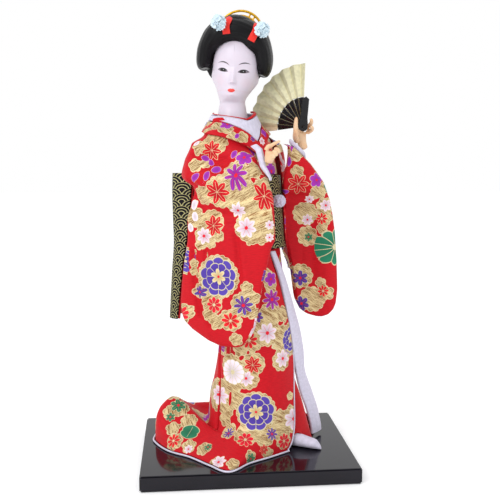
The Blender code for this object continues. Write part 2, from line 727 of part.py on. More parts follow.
def blob(name, centre, radii, mat, rows=8, sides=16, place=head_place):
    """Closed rounded solid with its poles up and down."""
    v = np.linspace(0.10, math.pi - 0.10, rows)[:, None]
    a = np.linspace(0, 2 * math.pi, sides, endpoint=False)[None]
    x = centre[0] + radii[0] * np.sin(v) * np.cos(a)
    y = centre[1] + radii[1] * np.sin(v) * np.sin(a)
    z = centre[2] + radii[2] * np.cos(v) + 0 * a
    pts = np.stack([x, y, z], -1)
    return loft(name, place(pts) if place else pts, mat)


wig = loft("wig", wig_arch(19, 12), HAIR)
boolean(wig, blob("crown", (-0.0018, 0.0075, 0.027), (0.0205, 0.0150, 0.0195), None), "UNION")
boolean(wig, blob("roll", (-0.0022, -0.0015, 0.0462), (0.0118, 0.0120, 0.0074), None), "UNION")
boolean(wig, loft("room", head_rings(head_levels[7:], HEAD_SIDES, WIG_GAP), None), "DIFFERENCE")

# Gold comb: a hoop over a pierced crescent, stood in the hair behind the roll
COMB_X = -0.0003
COMB_Y = 0.0085
COMB_Z = 0.0439


def comb_solid(name, grow, mat):
    """Flat comb from a polar grid of cells, some left open."""
    radii = np.array([0.0072, 0.0088, 0.0108, 0.0124, COMB_RADIUS - COMB_HOOP, COMB_RADIUS])
    count = 20
    a = np.radians(np.linspace(-78, 78, count + 1))
    cells = set()
    for i in range(count):
        for j in range(5):
            open_cell = j == 3 and 1 < i < count - 2 and i not in (13, 14)
            open_cell = open_cell or (j == 1 and i % 4 == 2 and 2 < i < count - 3)
            if grow or not open_cell:
                cells.add((i, j))
    bm = bmesh.new()
    half = COMB_THICK / 2 + grow
    radii = radii + np.array([-grow, 0, 0, 0, 0, grow])
    a = a + np.radians(np.where(np.arange(count + 1) == 0, -1, 0) * (2 if grow else 0))
    a = a + np.radians(np.where(np.arange(count + 1) == count, 1, 0) * (2 if grow else 0))
    points = {}

    def corner(i, j, k):
        if (i, j, k) not in points:
            local = (
                COMB_X + radii[j] * math.sin(a[i]),
                COMB_Y + (half if k else -half),
                COMB_Z + radii[j] * math.cos(a[i]),
            )
            points[(i, j, k)] = bm.verts.new(head_place(np.array(local)))
        return points[(i, j, k)]

    for i, j in cells:
        quad = ((i, j), (i + 1, j), (i + 1, j + 1), (i, j + 1))
        bm.faces.new([corner(*q, 0) for q in quad])
        bm.faces.new([corner(*q, 1) for q in reversed(quad)])
        sides = (((i, j - 1), 0, 1), ((i + 1, j), 1, 2), ((i, j + 1), 2, 3), ((i - 1, j), 3, 0))
        for other, p, q in sides:
            if other not in cells:
                bm.faces.new([
                    corner(*quad[q], 0), corner(*quad[p], 0),
                    corner(*quad[p], 1), corner(*quad[q], 1),
                ])
    bmesh.ops.recalc_face_normals(bm, faces=bm.faces)
    mesh = bpy.data.meshes.new(name)
    bm.to_mesh(mesh)
    bm.free()
    obj = bpy.data.objects.new(name, mesh)
    bpy.context.scene.collection.objects.link(obj)
    if mat:
        mesh.materials.append(mat)
    return obj


comb_solid("comb", 0.0, GOLD)
boolean(wig, comb_solid("comb_room", GAP, None), "DIFFERENCE")


def tree_of(obj):
    mesh = obj.data
    return BVHTree.FromPolygons(
        [v.co for v in mesh.vertices], [tuple(p.vertices) for p in mesh.polygons]
    )


wig_tree = tree_of(wig)


def on_hair(x, z, lift):
    """Point in front of the hair at a place of the head's own frame."""
    start = Vector(head_place(np.array([x, -0.030, z])))
    ahead = Vector(head_place(np.array([x, 0.010, z]))) - start
    hit, normal, _, _ = wig_tree.ray_cast(start, ahead.normalized())
    return np.array(hit + normal * lift), np.array(normal)


def ribbon(name, top, low, width):
    rows = []
    for s in np.linspace(0, 1, 6):
        x = top[0] + (low[0] - top[0]) * s
        z = top[1] + (low[1] - top[1]) * s
        lane = []
        for w in (-0.5, 0.0, 0.5):
            point, _ = on_hair(x + w * width, z, GAP + RIBBON_THICK / 2 + 0.0006)
            lane.append(point)
        rows.append(lane)
    return sheet(name, np.array(rows), RIBBON_THICK, RIBBON)


ribbon_left = ribbon("hair_ribbon_left", (-0.0056, 0.0490), (-0.0083, 0.0383), RIBBON_WIDTH)
ribbon_right = ribbon("hair_ribbon_right", (0.0096, 0.0466), (0.0082, 0.0363), RIBBON_WIDTH)
under_flowers = [wig_tree, tree_of(ribbon_left), tree_of(ribbon_right)]


def clearance(p):
    """Distance from a point to the nearest of the hair and its ribbons."""
    return min(tree.find_nearest(Vector(p))[3] for tree in under_flowers)


def flower_bunch(name, x, z, mat):
    """Bunch of blossoms as one lumpy ball, moved back until it rests on what is behind."""
    centre = head_place(np.array([x, -0.030, z]))
    ahead = unit(head_place(np.array([x, 0.0, z])) - centre)
    for _ in range(12):
        centre = centre + ahead * (clearance(centre) - FLOWER_RADIUS * 1.12 - GAP)
    v = np.linspace(0.12, math.pi - 0.12, 7)[:, None]
    a = np.linspace(0, 2 * math.pi, 12, endpoint=False)[None]
    r = FLOWER_RADIUS * (1 + 0.12 * np.sin(4 * a) * np.sin(4 * v) * np.sin(v))
    pts = np.stack([
        r * np.sin(v) * np.cos(a), r * np.sin(v) * np.sin(a), r * np.cos(v) + 0 * a,
    ], -1) + centre
    normal = np.array(wig_tree.find_nearest(Vector(centre))[1])
    for _ in range(3):
        room = min(clearance(p) for p in pts.reshape(-1, 3))
        pts = pts - normal * (room - 1.3 * GAP)
    return loft(name, pts, mat)


flower_bunch("hair_flower_left", -0.0128, 0.0442, BLOSSOM)
flower_bunch("hair_flower_right", 0.0154, 0.0436, BLOSSOM)

# Room that every sleeve keeps from the clothed trunk, the sash and the collar
ENVELOPE_LEVELS = np.array([0.050, 0.090, 0.130, 0.133, 0.145, 0.165, 0.180, 0.183, 0.192,
                            0.200, 0.206, 0.2095, 0.2125, 0.2155])
ENVELOPE_GROW = np.array([1, 1, 1, 3.1, 3.1, 3.1, 3.1, 3.0, 3.0, 3.0, 3.0, 3.0, 3.0, 2.6]) * MM
TRUNK_TALL = np.append(TRUNK, [[217.0, -6.8, 0.3, 15.0, 13.8]], axis=0)


def envelope():
    rings = []
    for level, grow in zip(ENVELOPE_LEVELS, ENVELOPE_GROW):
        row = curve(TRUNK_TALL[:, 0] * MM, TRUNK_TALL[:, 1:] * MM, np.float64(level))
        turn = np.radians(ring_th - TRUNK_TURN)
        r = 1 / np.sqrt(
            (np.cos(turn) / (row[3] + grow)) ** 2 + (np.sin(turn) / (row[2] + grow)) ** 2
        )
        ring = bearing(ring_th) * r[:, None] + np.array([row[0], row[1], DECK + level])
        rings.append(ring)
    return loft("sleeve_room", rings, None)


def side_profile(knots, at):
    table = np.array(knots, float) * MM
    order = np.argsort(table[:, 0])
    return np.interp(at, table[order, 0], table[order, 1])


def lane(s, h, path, width):
    """Nearness of points to a line of places, 1 on it and fading over its width."""
    path = np.array(path, float) * MM
    best = np.full(s.shape, 1e9)
    for a, b in zip(path[:-1], path[1:]):
        d = b - a
        t = np.clip(((s - a[0]) * d[0] + (h - a[1]) * d[1]) / (d @ d), 0, 1)
        best = np.minimum(best, np.hypot(s - a[0] - t * d[0], h - a[1] - t * d[1]))
    return np.exp(-((best / (width * MM)) ** 2))


# Right sleeve, drawn in an upright plane: level of the edge, then place across
RIGHT_ORIGIN = (-0.0160, -0.0235)
RIGHT_TURN = -27.0
RIGHT_OUTER = (
    (218.2, -7.0), (217.4, -13.1), (210.9, -14.9), (206.8, -17.8), (198.2, -21.8),
    (192.1, -25.1), (184.5, -27.6), (181.2, -28.0), (178.5, -26.0), (175.0, -19.5),
    (171.0, -18.6), (166.0, -20.3), (154.9, -24.3), (139.4, -24.3), (127.0, -26.8),
    (112.0, -28.7), (100.5, -29.6), (92.5, -29.2), (87.4, -27.2), (82.3, -21.4),
    (75.8, -10.2), (72.4, -1.0),
)
RIGHT_INNER = (
    (218.2, -4.0), (212.7, 4.6), (203.4, 11.9), (199.2, 18.0), (196.6, 21.2),
    (186.8, 24.2), (180.1, 29.7), (172.8, 32.0), (166.7, 33.8), (155.0, 34.6),
    (142.1, 35.1), (137.1, 32.6), (126.0, 30.0), (115.6, 27.3), (100.0, 24.6), (86.0, 22.0),
    (79.3, 18.6), (73.4, 13.0), (72.4, 9.0),
)
RIGHT_TOP = 0.2180
RIGHT_LOW = 0.0724


def sleeve_rows(top, low, rows):
    t = np.linspace(0, 1, rows)
    return top - (top - low) * (t + 0.055 * np.sin(2 * math.pi * t) * -1)


def trunk_reach(p, out, room):
    """How far the trunk, grown by a room, reaches from points along a level way."""
    row = curve(TRUNK[:, 0] * MM, TRUNK[:, 1:] * MM, np.minimum(p[..., 2] - DECK, TRUNK_END))
    ahead = bearing(TRUNK_TURN)
    aside = bearing(TRUNK_TURN + 90)
    off = p[..., :2] - row[..., :2]
    half_w = row[..., 2] + room
    half_d = row[..., 3] + room
    pu = off @ ahead[:2] / half_d
    pw = off @ aside[:2] / half_w
    ou = out @ ahead / half_d
    ow = out @ aside / half_w
    a = ou * ou + ow * ow
    b = pu * ou + pw * ow
    c = pu * pu + pw * pw - 1
    root = b * b - a * c
    return np.where(root > 0, (-b + np.sqrt(np.maximum(root, 0))) / a, -0.05)


def right_sleeve(across, level):
    """Mid surface and thickness of the right sleeve on a grid."""
    turn = math.radians(RIGHT_TURN)
    e = np.array([math.cos(turn), math.sin(turn), 0.0])
    n = np.array([math.sin(turn), -math.cos(turn), 0.0])
    a = side_profile(RIGHT_OUTER, level)
    b = side_profile(RIGHT_INNER, level)
    s = a[None] + (b - a)[None] * across[:, None]
    h = np.repeat(level[None], len(across), 0)
    arm = lane(s, h, ((-8, 212), (-15, 198), (-20, 184)), 9)
    fore = lane(s, h, ((-20, 181), (0, 177), (24, 184)), 9)
    swag = ((-19, 173.6), (-9, 162.9), (-2.5, 158.1), (5.7, 156.3), (17, 157.1), (31, 161.4))
    half = SLEEVE_PUFF + ARM_PUFF * np.maximum(arm, fore)
    half = half - 0.0022 * lane(s, h, swag, 2.6)
    half = half - 0.0024 * lane(s, h, ((-15, 192.5), (-4, 190.5), (5, 188.4)), 2.2)
    half = half + 0.0016 * lane(s, h, ((-10, 168), (0, 164), (14, 165)), 5.0)
    half = half - 0.0007 * lane(s, h, ((-14, 150), (-16, 120), (-14, 95)), 4.0)
    half = half + 0.0009 * lane(s, h, ((4, 150), (6, 120), (4, 90)), 6.0)
    round_off = (1 - np.abs(2 * across - 1) ** 5)[:, None] ** 0.5
    foot = np.clip((level - RIGHT_LOW) / 0.009, 0, 1)[None]
    head = np.clip((RIGHT_TOP - level) / 0.006, 0, 1)[None]
    close = round_off * np.sqrt(foot * (2 - foot)) * np.sqrt(head * (2 - head))
    back = -0.0050 * np.clip((h - 0.190) / 0.028, 0, 1)
    mid = np.array([*RIGHT_ORIGIN, DECK]) + s[..., None] * e + back[..., None] * n
    mid = mid + h[..., None] * np.array([0, 0, 1.0])
    half = SLEEVE_EDGE / 2 + half * close
    cover = trunk_reach(mid, n, SLEEVE_ROOM) + SLEEVE_EDGE * close
    cover = np.where(h > 0.150, cover, -0.05)
    front = (half + cover + np.sqrt((half - cover) ** 2 + SLEEVE_EDGE ** 2)) / 2
    mid = mid + ((front - half) / 2)[..., None] * n
    return mid, front + half


right_mid, right_thick = right_sleeve(
    np.linspace(0, 1, 11), sleeve_rows(RIGHT_TOP, RIGHT_LOW, 22)
)
sleeve_right = sheet("sleeve_right", right_mid, right_thick, BROCADE)
room = envelope()
boolean(sleeve_right, room, "DIFFERENCE", keep_cutter=True)
collar_room = collar(
    "collar_room", COLLAR_TOP + np.array([0, 1.6]), COLLAR_LOW - np.array([0, 0.8]),
    COLLAR_LIFT, CLOTH + 0.0028, None, 5,
)
boolean(sleeve_right, collar_room, "DIFFERENCE", keep_cutter=True)

# Left sleeve: raised forearm and hanging panel, joined to the upper arm
LEFT_OUTER = (
    (202.6, 29.2), (197.0, 35.1), (192.0, 40.4), (188.3, 44.0), (177.1, 52.1),
    (165.1, 57.0), (155.7, 59.2), (144.3, 60.9), (123.3, 62.5), (104.2, 63.2),
    (95.0, 62.2), (91.0, 60.6), (87.1, 57.2), (85.4, 53.0),
)
LEFT_INNER = (
    (202.6, 28.2), (196.0, 28.3), (188.5, 27.3), (182.8, 25.8), (171.5, 23.7), (160.0, 23.4),
    (150.0, 24.0), (130.0, 27.5), (110.0, 31.0), (97.8, 34.5), (90.2, 38.5), (87.0, 43.5),
    (85.4, 50.0),
)
LEFT_TOP = 0.2024
LEFT_LOW = 0.0854
LEFT_Y = -0.0035
LEFT_BACK = 0.0105


def left_sleeve(across, level):
    """Mid surface and thickness of the left sleeve's forearm and panel."""
    a = side_profile(LEFT_INNER, level)
    b = side_profile(LEFT_OUTER, level)
    s = a[None] + (b - a)[None] * across[:, None]
    h = np.repeat(level[None], len(across), 0)
    fore = lane(s, h, ((33, 196), (43, 178)), 9)
    half = SLEEVE_PUFF * 0.8 + ARM_PUFF * 0.65 * fore
    half = half - 0.0012 * lane(s, h, ((29, 168.5), (44, 170.5), (55, 163)), 2.4)
    half = half - 0.0008 * lane(s, h, ((46, 150), (47, 120), (50, 95)), 3.5)
    half = half + 0.0008 * lane(s, h, ((56, 150), (57, 120), (57, 100)), 4.0)
    round_off = (1 - np.abs(2 * across - 1) ** 5)[:, None] ** 0.5
    foot = np.clip((level - LEFT_LOW) / 0.008, 0, 1)[None]
    head = np.clip((LEFT_TOP - level) / 0.004, 0, 1)[None]
    close = round_off * np.sqrt(foot * (2 - foot)) * np.sqrt(head * (2 - head))
    hang = np.clip((0.176 - h) / 0.022, 0, 1)
    hang = hang * hang * (3 - 2 * hang)
    side = np.clip((0.058 - s) / 0.018, 0, 1)
    y = LEFT_Y + LEFT_BACK * hang * (0.35 + 0.65 * side)
    return np.stack([s, y, h + DECK], -1), SLEEVE_EDGE + 2 * half * close


left_mid, left_thick = left_sleeve(np.linspace(0, 1, 10), sleeve_rows(LEFT_TOP, LEFT_LOW, 18))
sleeve_left = sheet("sleeve_left", left_mid, left_thick, BROCADE)
UPPER_ARM = np.array([
    (11.0, 12.0, 209.0, 3.0, 3.0), (12.5, 12.0, 207.6, 8.0, 7.0), (13.6, 12.0, 203.0, 11.8, 10.5),
    (14.8, 11.5, 195.0, 13.0, 12.0), (15.8, 10.5, 185.0, 12.9, 11.5), (16.5, 9.5, 174.0, 12.4, 10.5),
    (17.5, 9.0, 162.0, 12.2, 9.5), (19.0, 9.0, 148.0, 11.2, 8.0), (21.5, 9.5, 132.0, 9.5, 6.5),
    (24.5, 10.0, 118.0, 7.5, 5.0),
]) * MM


def upper_arm(name, mat):
    t = np.linspace(0, len(UPPER_ARM) - 1, 11)
    row = curve(np.arange(len(UPPER_ARM), dtype=float), UPPER_ARM, t)
    a = np.linspace(0, 2 * math.pi, 14, endpoint=False)[None]
    x = row[:, 0:1] + row[:, 3:4] * np.cos(a)
    y = row[:, 1:2] + row[:, 4:5] * np.sin(a)
    z = DECK + row[:, 2:3] + 0 * a
    return loft(name, np.stack([x, y, z], -1), mat)


boolean(sleeve_left, upper_arm("arm", None), "UNION")
boolean(sleeve_left, room, "DIFFERENCE")
boolean(sleeve_left, collar_room, "DIFFERENCE")
band_room = sheet("band_room", band_points(np.linspace(-0.12, 1.12, 4), np.linspace(0, 1, 15)),
                  BAND_THICK + 4 * GAP, None)
boolean(sleeve_left, band_room, "DIFFERENCE")


def pad(name, outline, middle, depths, place, mat):
    """Closed pad from an outline, shrunk toward its middle at the outer depths."""
    outline = np.array(outline, float) * MM
    middle = np.array(middle, float) * MM
    rings = []
    for depth, share in depths:
        ring = middle + (outline - middle) * share
        rings.append(place(ring[:, 0], ring[:, 1], depth * MM))
    return loft(name, rings, mat)


def in_right_plane(s, h, depth):
    turn = math.radians(RIGHT_TURN)
    e = np.array([math.cos(turn), math.sin(turn), 0.0])
    n = np.array([math.sin(turn), -math.cos(turn), 0.0])
    base = np.array([*RIGHT_ORIGIN, DECK]) + n * depth
    return base + np.outer(s, e) + np.outer(h, (0, 0, 1.0))


def upright(s, h, depth):
    return np.column_stack([s, np.full(len(s), depth), DECK + h])


# White cuffs
cuff_level = np.array([199.4, 197.4, 193.4, 189.4, 186.0, 183.0, 180.5, 178.4]) * MM
cuff_taper = np.array([1.0, 1.0, 0.96, 0.86, 0.72, 0.54, 0.36, 0.22])
cuff_edge = side_profile(RIGHT_INNER, cuff_level) + SLEEVE_EDGE / 2 + 3 * GAP
cuff_side = np.linspace(0, 1, 3)[:, None] * (CUFF_WIDTH - 0.0011) * cuff_taper
cuff_s = cuff_edge[None] + cuff_side
cuff_h = cuff_level[None] + cuff_side * 0.35
cuff_rows = [in_right_plane(cuff_s[i], cuff_h[i], 0.0) for i in range(3)]
cuff_puff = np.array([0.6, 1.0, 0.6])[:, None] * np.array([0.5, 0.9, 1, 1, 1, 0.9, 0.7, 0.4])
sheet("cuff_right", np.array(cuff_rows), 0.0012 + 0.0030 * cuff_puff, WHITE)
CUFF_X = 0.0350
CUFF_Y = -0.0005
CUFF_LEVEL = 0.2010
CUFF_SLOPE = -0.92
a = np.linspace(0, 2 * math.pi, 14, endpoint=False)
rings = []
for drop, wide, deep in ((0.0034, 5.0, 3.8), (0.0030, 5.6, 4.3), (0.0004, 5.2, 4.0), (0, 4.7, 3.6)):
    x = CUFF_X + np.cos(a) * wide * MM
    y = CUFF_Y + np.sin(a) * deep * MM
    rings.append(np.column_stack([x, y, DECK + CUFF_LEVEL - drop + CUFF_SLOPE * (x - CUFF_X)]))
loft("cuff_left", rings, WHITE)

# Hands
RIGHT_HAND = (
    (26.9, 196.4), (27.6, 198.8), (29.6, 200.3), (32.7, 201.6), (38.2, 203.0), (39.4, 202.2),
    (38.6, 201.0), (36.4, 199.4), (37.8, 197.4), (37.0, 193.8), (34.6, 191.0), (33.0, 188.4),
    (31.6, 186.4), (30.2, 187.4), (28.5, 190.8), (27.6, 193.6),
)
hand_depths = ((-2.7, 0.45), (-2.1, 0.80), (-0.9, 0.97), (0.9, 0.97), (2.1, 0.80), (2.7, 0.45))
pad("hand_right", RIGHT_HAND, (31.5, 194.5), hand_depths, in_right_plane, HAND)
LEFT_HAND = (
    (31.4, 205.3), (31.8, 209.5), (33.8, 213.0), (37.5, 215.4), (41.6, 215.4), (43.3, 213.0),
    (43.0, 208.0), (41.8, 201.5), (41.0, 196.4), (38.2, 199.0), (34.6, 202.4),
)
FAN_Y = -0.0040
palm_y = FAN_Y + 0.0059
palm_depths = [(palm_y / MM + d, s) for d, s in hand_depths]
hand_left = pad("hand_left", LEFT_HAND, (37.5, 206.5), palm_depths, upright, HAND)
thumb = tube(
    "thumb",
    np.array([
        (35.2, palm_y / MM, 203.5), (33.4, FAN_Y / MM + 1.0, 206.4), (32.7, FAN_Y / MM - 3.2, 209.0),
        (32.6, FAN_Y / MM - 4.2, 214.0), (33.0, FAN_Y / MM - 4.1, 219.5),
    ]) * MM + (0, 0, DECK),
    np.array([2.0, 2.1, 1.8, 1.6, 1.2]) * MM, None, 8, up=(1, 0, 0),
)
boolean(hand_left, thumb, "UNION")
fingers = tube(
    "fingers",
    np.array([
        (41.5, palm_y / MM, 211.0), (43.6, FAN_Y / MM + 1.6, 213.0), (43.9, FAN_Y / MM - 1.0, 215.0),
        (43.2, FAN_Y / MM - 2.6, 217.5),
    ]) * MM + (0, 0, DECK),
    np.array([2.0, 1.7, 1.5, 1.1]) * MM, None, 8, up=(1, 0, 0),
)
boolean(hand_left, fingers, "UNION")

# Fan: pleated paper on a pleated stack of ribs, with a guard in front
FAN_X = 0.0378
FAN_LEVEL = 0.2132
FAN_START = 87.0
FAN_END = 185.0
FAN_TURN = 39.0
GUARD_ANGLE = 84.5


def fan_point(radius, angle, depth):
    a = np.radians(angle)
    turn = math.radians(FAN_TURN)
    x = radius * np.cos(a)
    z = radius * np.sin(a)
    wx = x * math.cos(turn) + depth * math.sin(turn)
    wy = -x * math.sin(turn) + depth * math.cos(turn)
    return np.stack([FAN_X + wx, FAN_Y + wy, DECK + FAN_LEVEL + z], -1)


def fan_sheet(name, first, last, thick, mat, rings):
    angle = np.linspace(FAN_START, FAN_END, 2 * FAN_FOLDS + 1)[:, None]
    radius = np.linspace(first, last, rings)[None]
    fold = np.where(np.arange(2 * FAN_FOLDS + 1) % 2 == 0, 1.0, -1.0)[:, None]
    depth = fold * FAN_FOLD_DEPTH * radius / FAN_RADIUS
    radius = radius * (1 + 0 * angle)
    return sheet(name, fan_point(radius, angle, depth), thick, mat)


fan_sheet("fan_leaf", FAN_INNER + GAP, FAN_RADIUS, FAN_PAPER, PAPER, 3)
fan_sheet("fan_ribs", 0.0024, FAN_INNER, FAN_PAPER * 1.6, RIB, 3)
GUARD_Y = -(FAN_PAPER * 0.8 + FAN_FOLD_DEPTH * 0.5 + GAP + GUARD_THICK / 2)
guard_outline = []
for ang in np.linspace(180, 360, 9):
    guard_outline.append((GUARD_WIDTH * 0.72 * math.cos(math.radians(ang)),
                          GUARD_WIDTH * 0.72 * math.sin(math.radians(ang))))
guard_outline += [(GUARD_WIDTH * 0.52, 0.006), (GUARD_WIDTH * 0.5, FAN_INNER - 0.0012)]
guard_outline += [(0.0, FAN_INNER + 0.0004), (-GUARD_WIDTH * 0.5, FAN_INNER - 0.0012)]
guard_outline += [(-GUARD_WIDTH * 0.52, 0.006)]
tilt = math.radians(GUARD_ANGLE - 90)
rings = []
for side in (-1, 1):
    ring = []
    for across, up in guard_outline:
        x = across * math.cos(tilt) - up * math.sin(tilt)
        z = across * math.sin(tilt) + up * math.cos(tilt)
        ring.append((FAN_X + x, FAN_Y + GUARD_Y + side * GUARD_THICK / 2, DECK + FAN_LEVEL + z))
    rings.append(ring)
loft("fan_guard", rings, RIB)
a = np.linspace(0, 2 * math.pi, 12, endpoint=False)
rings = []
for depth, size in ((0.0, 1.0), (0.0004, 1.0), (0.0007, 0.6)):
    y = FAN_Y + GUARD_Y - GUARD_THICK / 2 - GAP - depth
    rings.append(np.column_stack([
        FAN_X + RIVET_RADIUS * size * np.cos(a), np.full(12, y),
        DECK + FAN_LEVEL + RIVET_RADIUS * size * np.sin(a),
    ]))
loft("fan_rivet", rings, RIB)

# Sash bow, hanging end with its lining, and the ball
AXIS_X = 0.0025
AXIS_Y = -0.0010
BACK = np.array([-math.sqrt(0.5), math.sqrt(0.5), 0.0])
LEFTWARD = np.array([math.sqrt(0.5), math.sqrt(0.5), 0.0])
OBI_DEPTH = 0.0180 + OBI_THICK
KNOT_HALF = 0.0116
KNOT_WIDE = 0.0215
KNOT_TALL = 0.0125
KNOT_LEVEL = 0.1700
knot_depth = OBI_DEPTH + GAP * 2 + KNOT_HALF
v = np.linspace(-1, 1, 7)
rings = []
for t in v:
    share = (1 - abs(t) ** 4) ** 0.5 if abs(t) < 1 else 0.0
    share = max(share, 0.35)
    a = np.linspace(0, 2 * math.pi, 18, endpoint=False)
    c = np.sign(np.cos(a)) * np.abs(np.cos(a)) ** 0.7
    s = np.sign(np.sin(a)) * np.abs(np.sin(a)) ** 0.7
    centre = np.array([AXIS_X, AXIS_Y, DECK + KNOT_LEVEL + t * KNOT_TALL]) + BACK * knot_depth
    rings.append(centre + np.outer(c * KNOT_WIDE * share, LEFTWARD)
                 + np.outer(s * KNOT_HALF * share, BACK))
loft("obi_knot", rings, BLACK)

TAIL_TOP = 0.1830
TAIL_LOW = 0.0862
TAIL_THICK = 0.0014
LINING_THICK = 0.0009
TAIL_PLAN = (
    (-41.5, -1.0), (-46.0, 2.5), (-47.3, 8.5), (-44.8, 16.0), (-38.5, 23.0), (-30.6, 31.0),
    (-23.4, 38.2), (-16.5, 44.5),
)


def tail_points(u, level, inset, reach=0.0):
    """Hanging end of the sash, u from its front edge round to its back edge."""
    plan = curve(np.arange(8.0), np.array(TAIL_PLAN) * MM, u)
    run = unit(np.gradient(plan, axis=0))
    inner = np.stack([run[:, 1], -run[:, 0]], -1)
    plan = plan + inner * inset
    shift = curve(
        np.array([86, 103, 117, 138, 151, 168, 185]) * MM,
        np.array([-2.7, -1.6, -0.6, 1.0, 0.6, 0.2, 0.6]) * MM, level,
    )
    near = curve(
        np.array([86, 103, 134, 160, 185]) * MM, np.array([-1.0, -0.4, 1.2, 5.0, 6.5]) * MM, level,
    )
    front = np.exp(-((u / 0.9) ** 2))
    x = plan[:, 0:1] + shift[None] * np.exp(-((u / 5.0) ** 2))[:, None] + front[:, None] * near[None]
    x = x + front[:, None] * reach
    y = plan[:, 1:2] + 0 * level[None]
    return np.stack([x, y, DECK + level[None] + 0 * x], -1)


tail_u = np.linspace(0, 7, 14)
tail_rows = np.linspace(TAIL_LOW, TAIL_TOP, 7)
sheet("obi_tail", tail_points(tail_u, tail_rows, 0.0), TAIL_THICK, BLACK)
lining_inset = (TAIL_THICK + LINING_THICK) / 2 + GAP
sheet(
    "obi_tail_lining", tail_points(tail_u, tail_rows, lining_inset, 0.0008),
    LINING_THICK, RED,
)

BALL_BEARING = 45.0
ball = trunk(np.float64(0.1652), BALL_BEARING, OBI_THICK + GAP + POMPOM_RADIUS)
v = np.linspace(0.15, math.pi - 0.15, 7)[:, None]
a = np.linspace(0, 2 * math.pi, 12, endpoint=False)[None]
loft(
    "obi_pompom",
    ball + POMPOM_RADIUS * np.stack([
        np.sin(v) * np.cos(a), np.sin(v) * np.sin(a), np.cos(v) + 0 * a,
    ], -1),
    WHITE,
)
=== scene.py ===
"""Looks of the geisha figurine: its cloths, face, hair, fan and board.

Every piece is worked out in metres, +Z up, with the figure facing -Y, on the frame of
the solids that carry it.  The operators can be run one by one from the sidebar panel.
"""
import math
from functools import partial

import bpy
import numpy as np
from mathutils import Matrix, Vector
from mathutils.bvhtree import BVHTree


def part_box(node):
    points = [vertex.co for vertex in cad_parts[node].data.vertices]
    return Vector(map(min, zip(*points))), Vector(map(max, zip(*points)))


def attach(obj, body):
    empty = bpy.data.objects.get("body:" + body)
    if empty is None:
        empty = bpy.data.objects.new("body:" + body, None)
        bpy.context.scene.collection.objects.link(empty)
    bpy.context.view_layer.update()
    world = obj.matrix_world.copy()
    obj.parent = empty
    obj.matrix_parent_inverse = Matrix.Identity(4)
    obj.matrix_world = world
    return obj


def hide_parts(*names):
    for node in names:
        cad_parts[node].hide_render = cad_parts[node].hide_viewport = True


bl_info = {
    "name": "Geisha Figurine Looks",
    "version": (1, 0, 0),
    "blender": (4, 5, 0),
    "location": "3D View > Sidebar > Figurine",
    "description": "Brocade, face, hair, fan and lacquer for the figurine",
    "category": "Add Mesh",
}

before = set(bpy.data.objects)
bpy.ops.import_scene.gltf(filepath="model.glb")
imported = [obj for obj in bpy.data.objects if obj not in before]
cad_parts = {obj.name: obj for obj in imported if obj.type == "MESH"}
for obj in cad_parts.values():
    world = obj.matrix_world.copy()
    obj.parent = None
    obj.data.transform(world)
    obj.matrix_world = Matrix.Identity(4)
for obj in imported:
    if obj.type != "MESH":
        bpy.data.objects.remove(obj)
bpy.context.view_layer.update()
MM = 0.001
GOLDEN_ANGLE = 2.39996
WEAVE_DEPTH = 0.00005
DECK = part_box("base_board")[1].z
GAP = 0.0003
CLOTH = 0.0012
NARROWEST = 0.0105


# Settings that a user would change

def colour_setting(name, description, default):
    return bpy.props.FloatVectorProperty(
        name=name, description=description, default=default,
        subtype="COLOR", size=3, min=0, max=1,
    )


def length_setting(name, description, default):
    return bpy.props.FloatProperty(
        name=name, description=description, default=default, unit="LENGTH", min=0,
        precision=5,
    )


class StudioSettings(bpy.types.PropertyGroup):
    azimuth: bpy.props.FloatProperty(
        name="Azimuth", description="Turn of the camera round the figure",
        default=math.radians(-5.36), unit="ROTATION",
    )
    elevation: bpy.props.FloatProperty(
        name="Elevation", description="Tilt of the camera above the horizon",
        default=math.radians(6.16), unit="ROTATION",
    )
    place: bpy.props.FloatVectorProperty(
        name="Camera place", description="Where the camera stands",
        default=(-0.04195, -0.4850, 0.19441), subtype="TRANSLATION",
    )
    lens: bpy.props.FloatProperty(
        name="Lens", description="Focal length on a 36 mm sensor", default=52.8, unit="CAMERA",
    )
    key_power: bpy.props.FloatProperty(
        name="Key light", description="Power of the large light at the camera's left",
        default=7.5, unit="POWER",
    )
    fill_power: bpy.props.FloatProperty(
        name="Fill light", description="Power of the light at the right", default=0.5,
        unit="POWER",
    )
    world_light: bpy.props.FloatProperty(
        name="Surroundings", description="Strength of the white surroundings", default=1.0,
    )
    floor: colour_setting("Floor", "Colour of the studio floor", (0.93, 0.93, 0.94))


class BrocadeSettings(bpy.types.PropertyGroup):
    ground: colour_setting("Ground", "Red silk ground", (0.56, 0.004, 0.012))
    gold_light: colour_setting("Light gold", "Gold thread in the light", (0.70, 0.56, 0.30))
    gold_dark: colour_setting("Dark gold", "Gold thread between", (0.22, 0.09, 0.022))
    outline: colour_setting("Outline", "Pale gold outline", (0.80, 0.70, 0.42))
    thread: length_setting("Thread", "Spacing of the weave's threads", 0.00042)
    seed: bpy.props.IntProperty(
        name="Seed", description="Start of the random layout on the hidden sides", default=11,
    )


class PlainClothSettings(bpy.types.PropertyGroup):
    white: colour_setting("White", "Plain white crepe", (0.64, 0.61, 0.74))
    red: colour_setting("Red", "Plain red silk", (0.54, 0.004, 0.010))
    black: colour_setting("Sash ground", "Near-black ground of the sash", (0.005, 0.004, 0.007))
    wave: colour_setting("Sash wave", "Pale gold waves of the sash", (0.60, 0.56, 0.26))
    wave_radius: length_setting("Wave radius", "Radius of one wave of the sash", 0.0052)


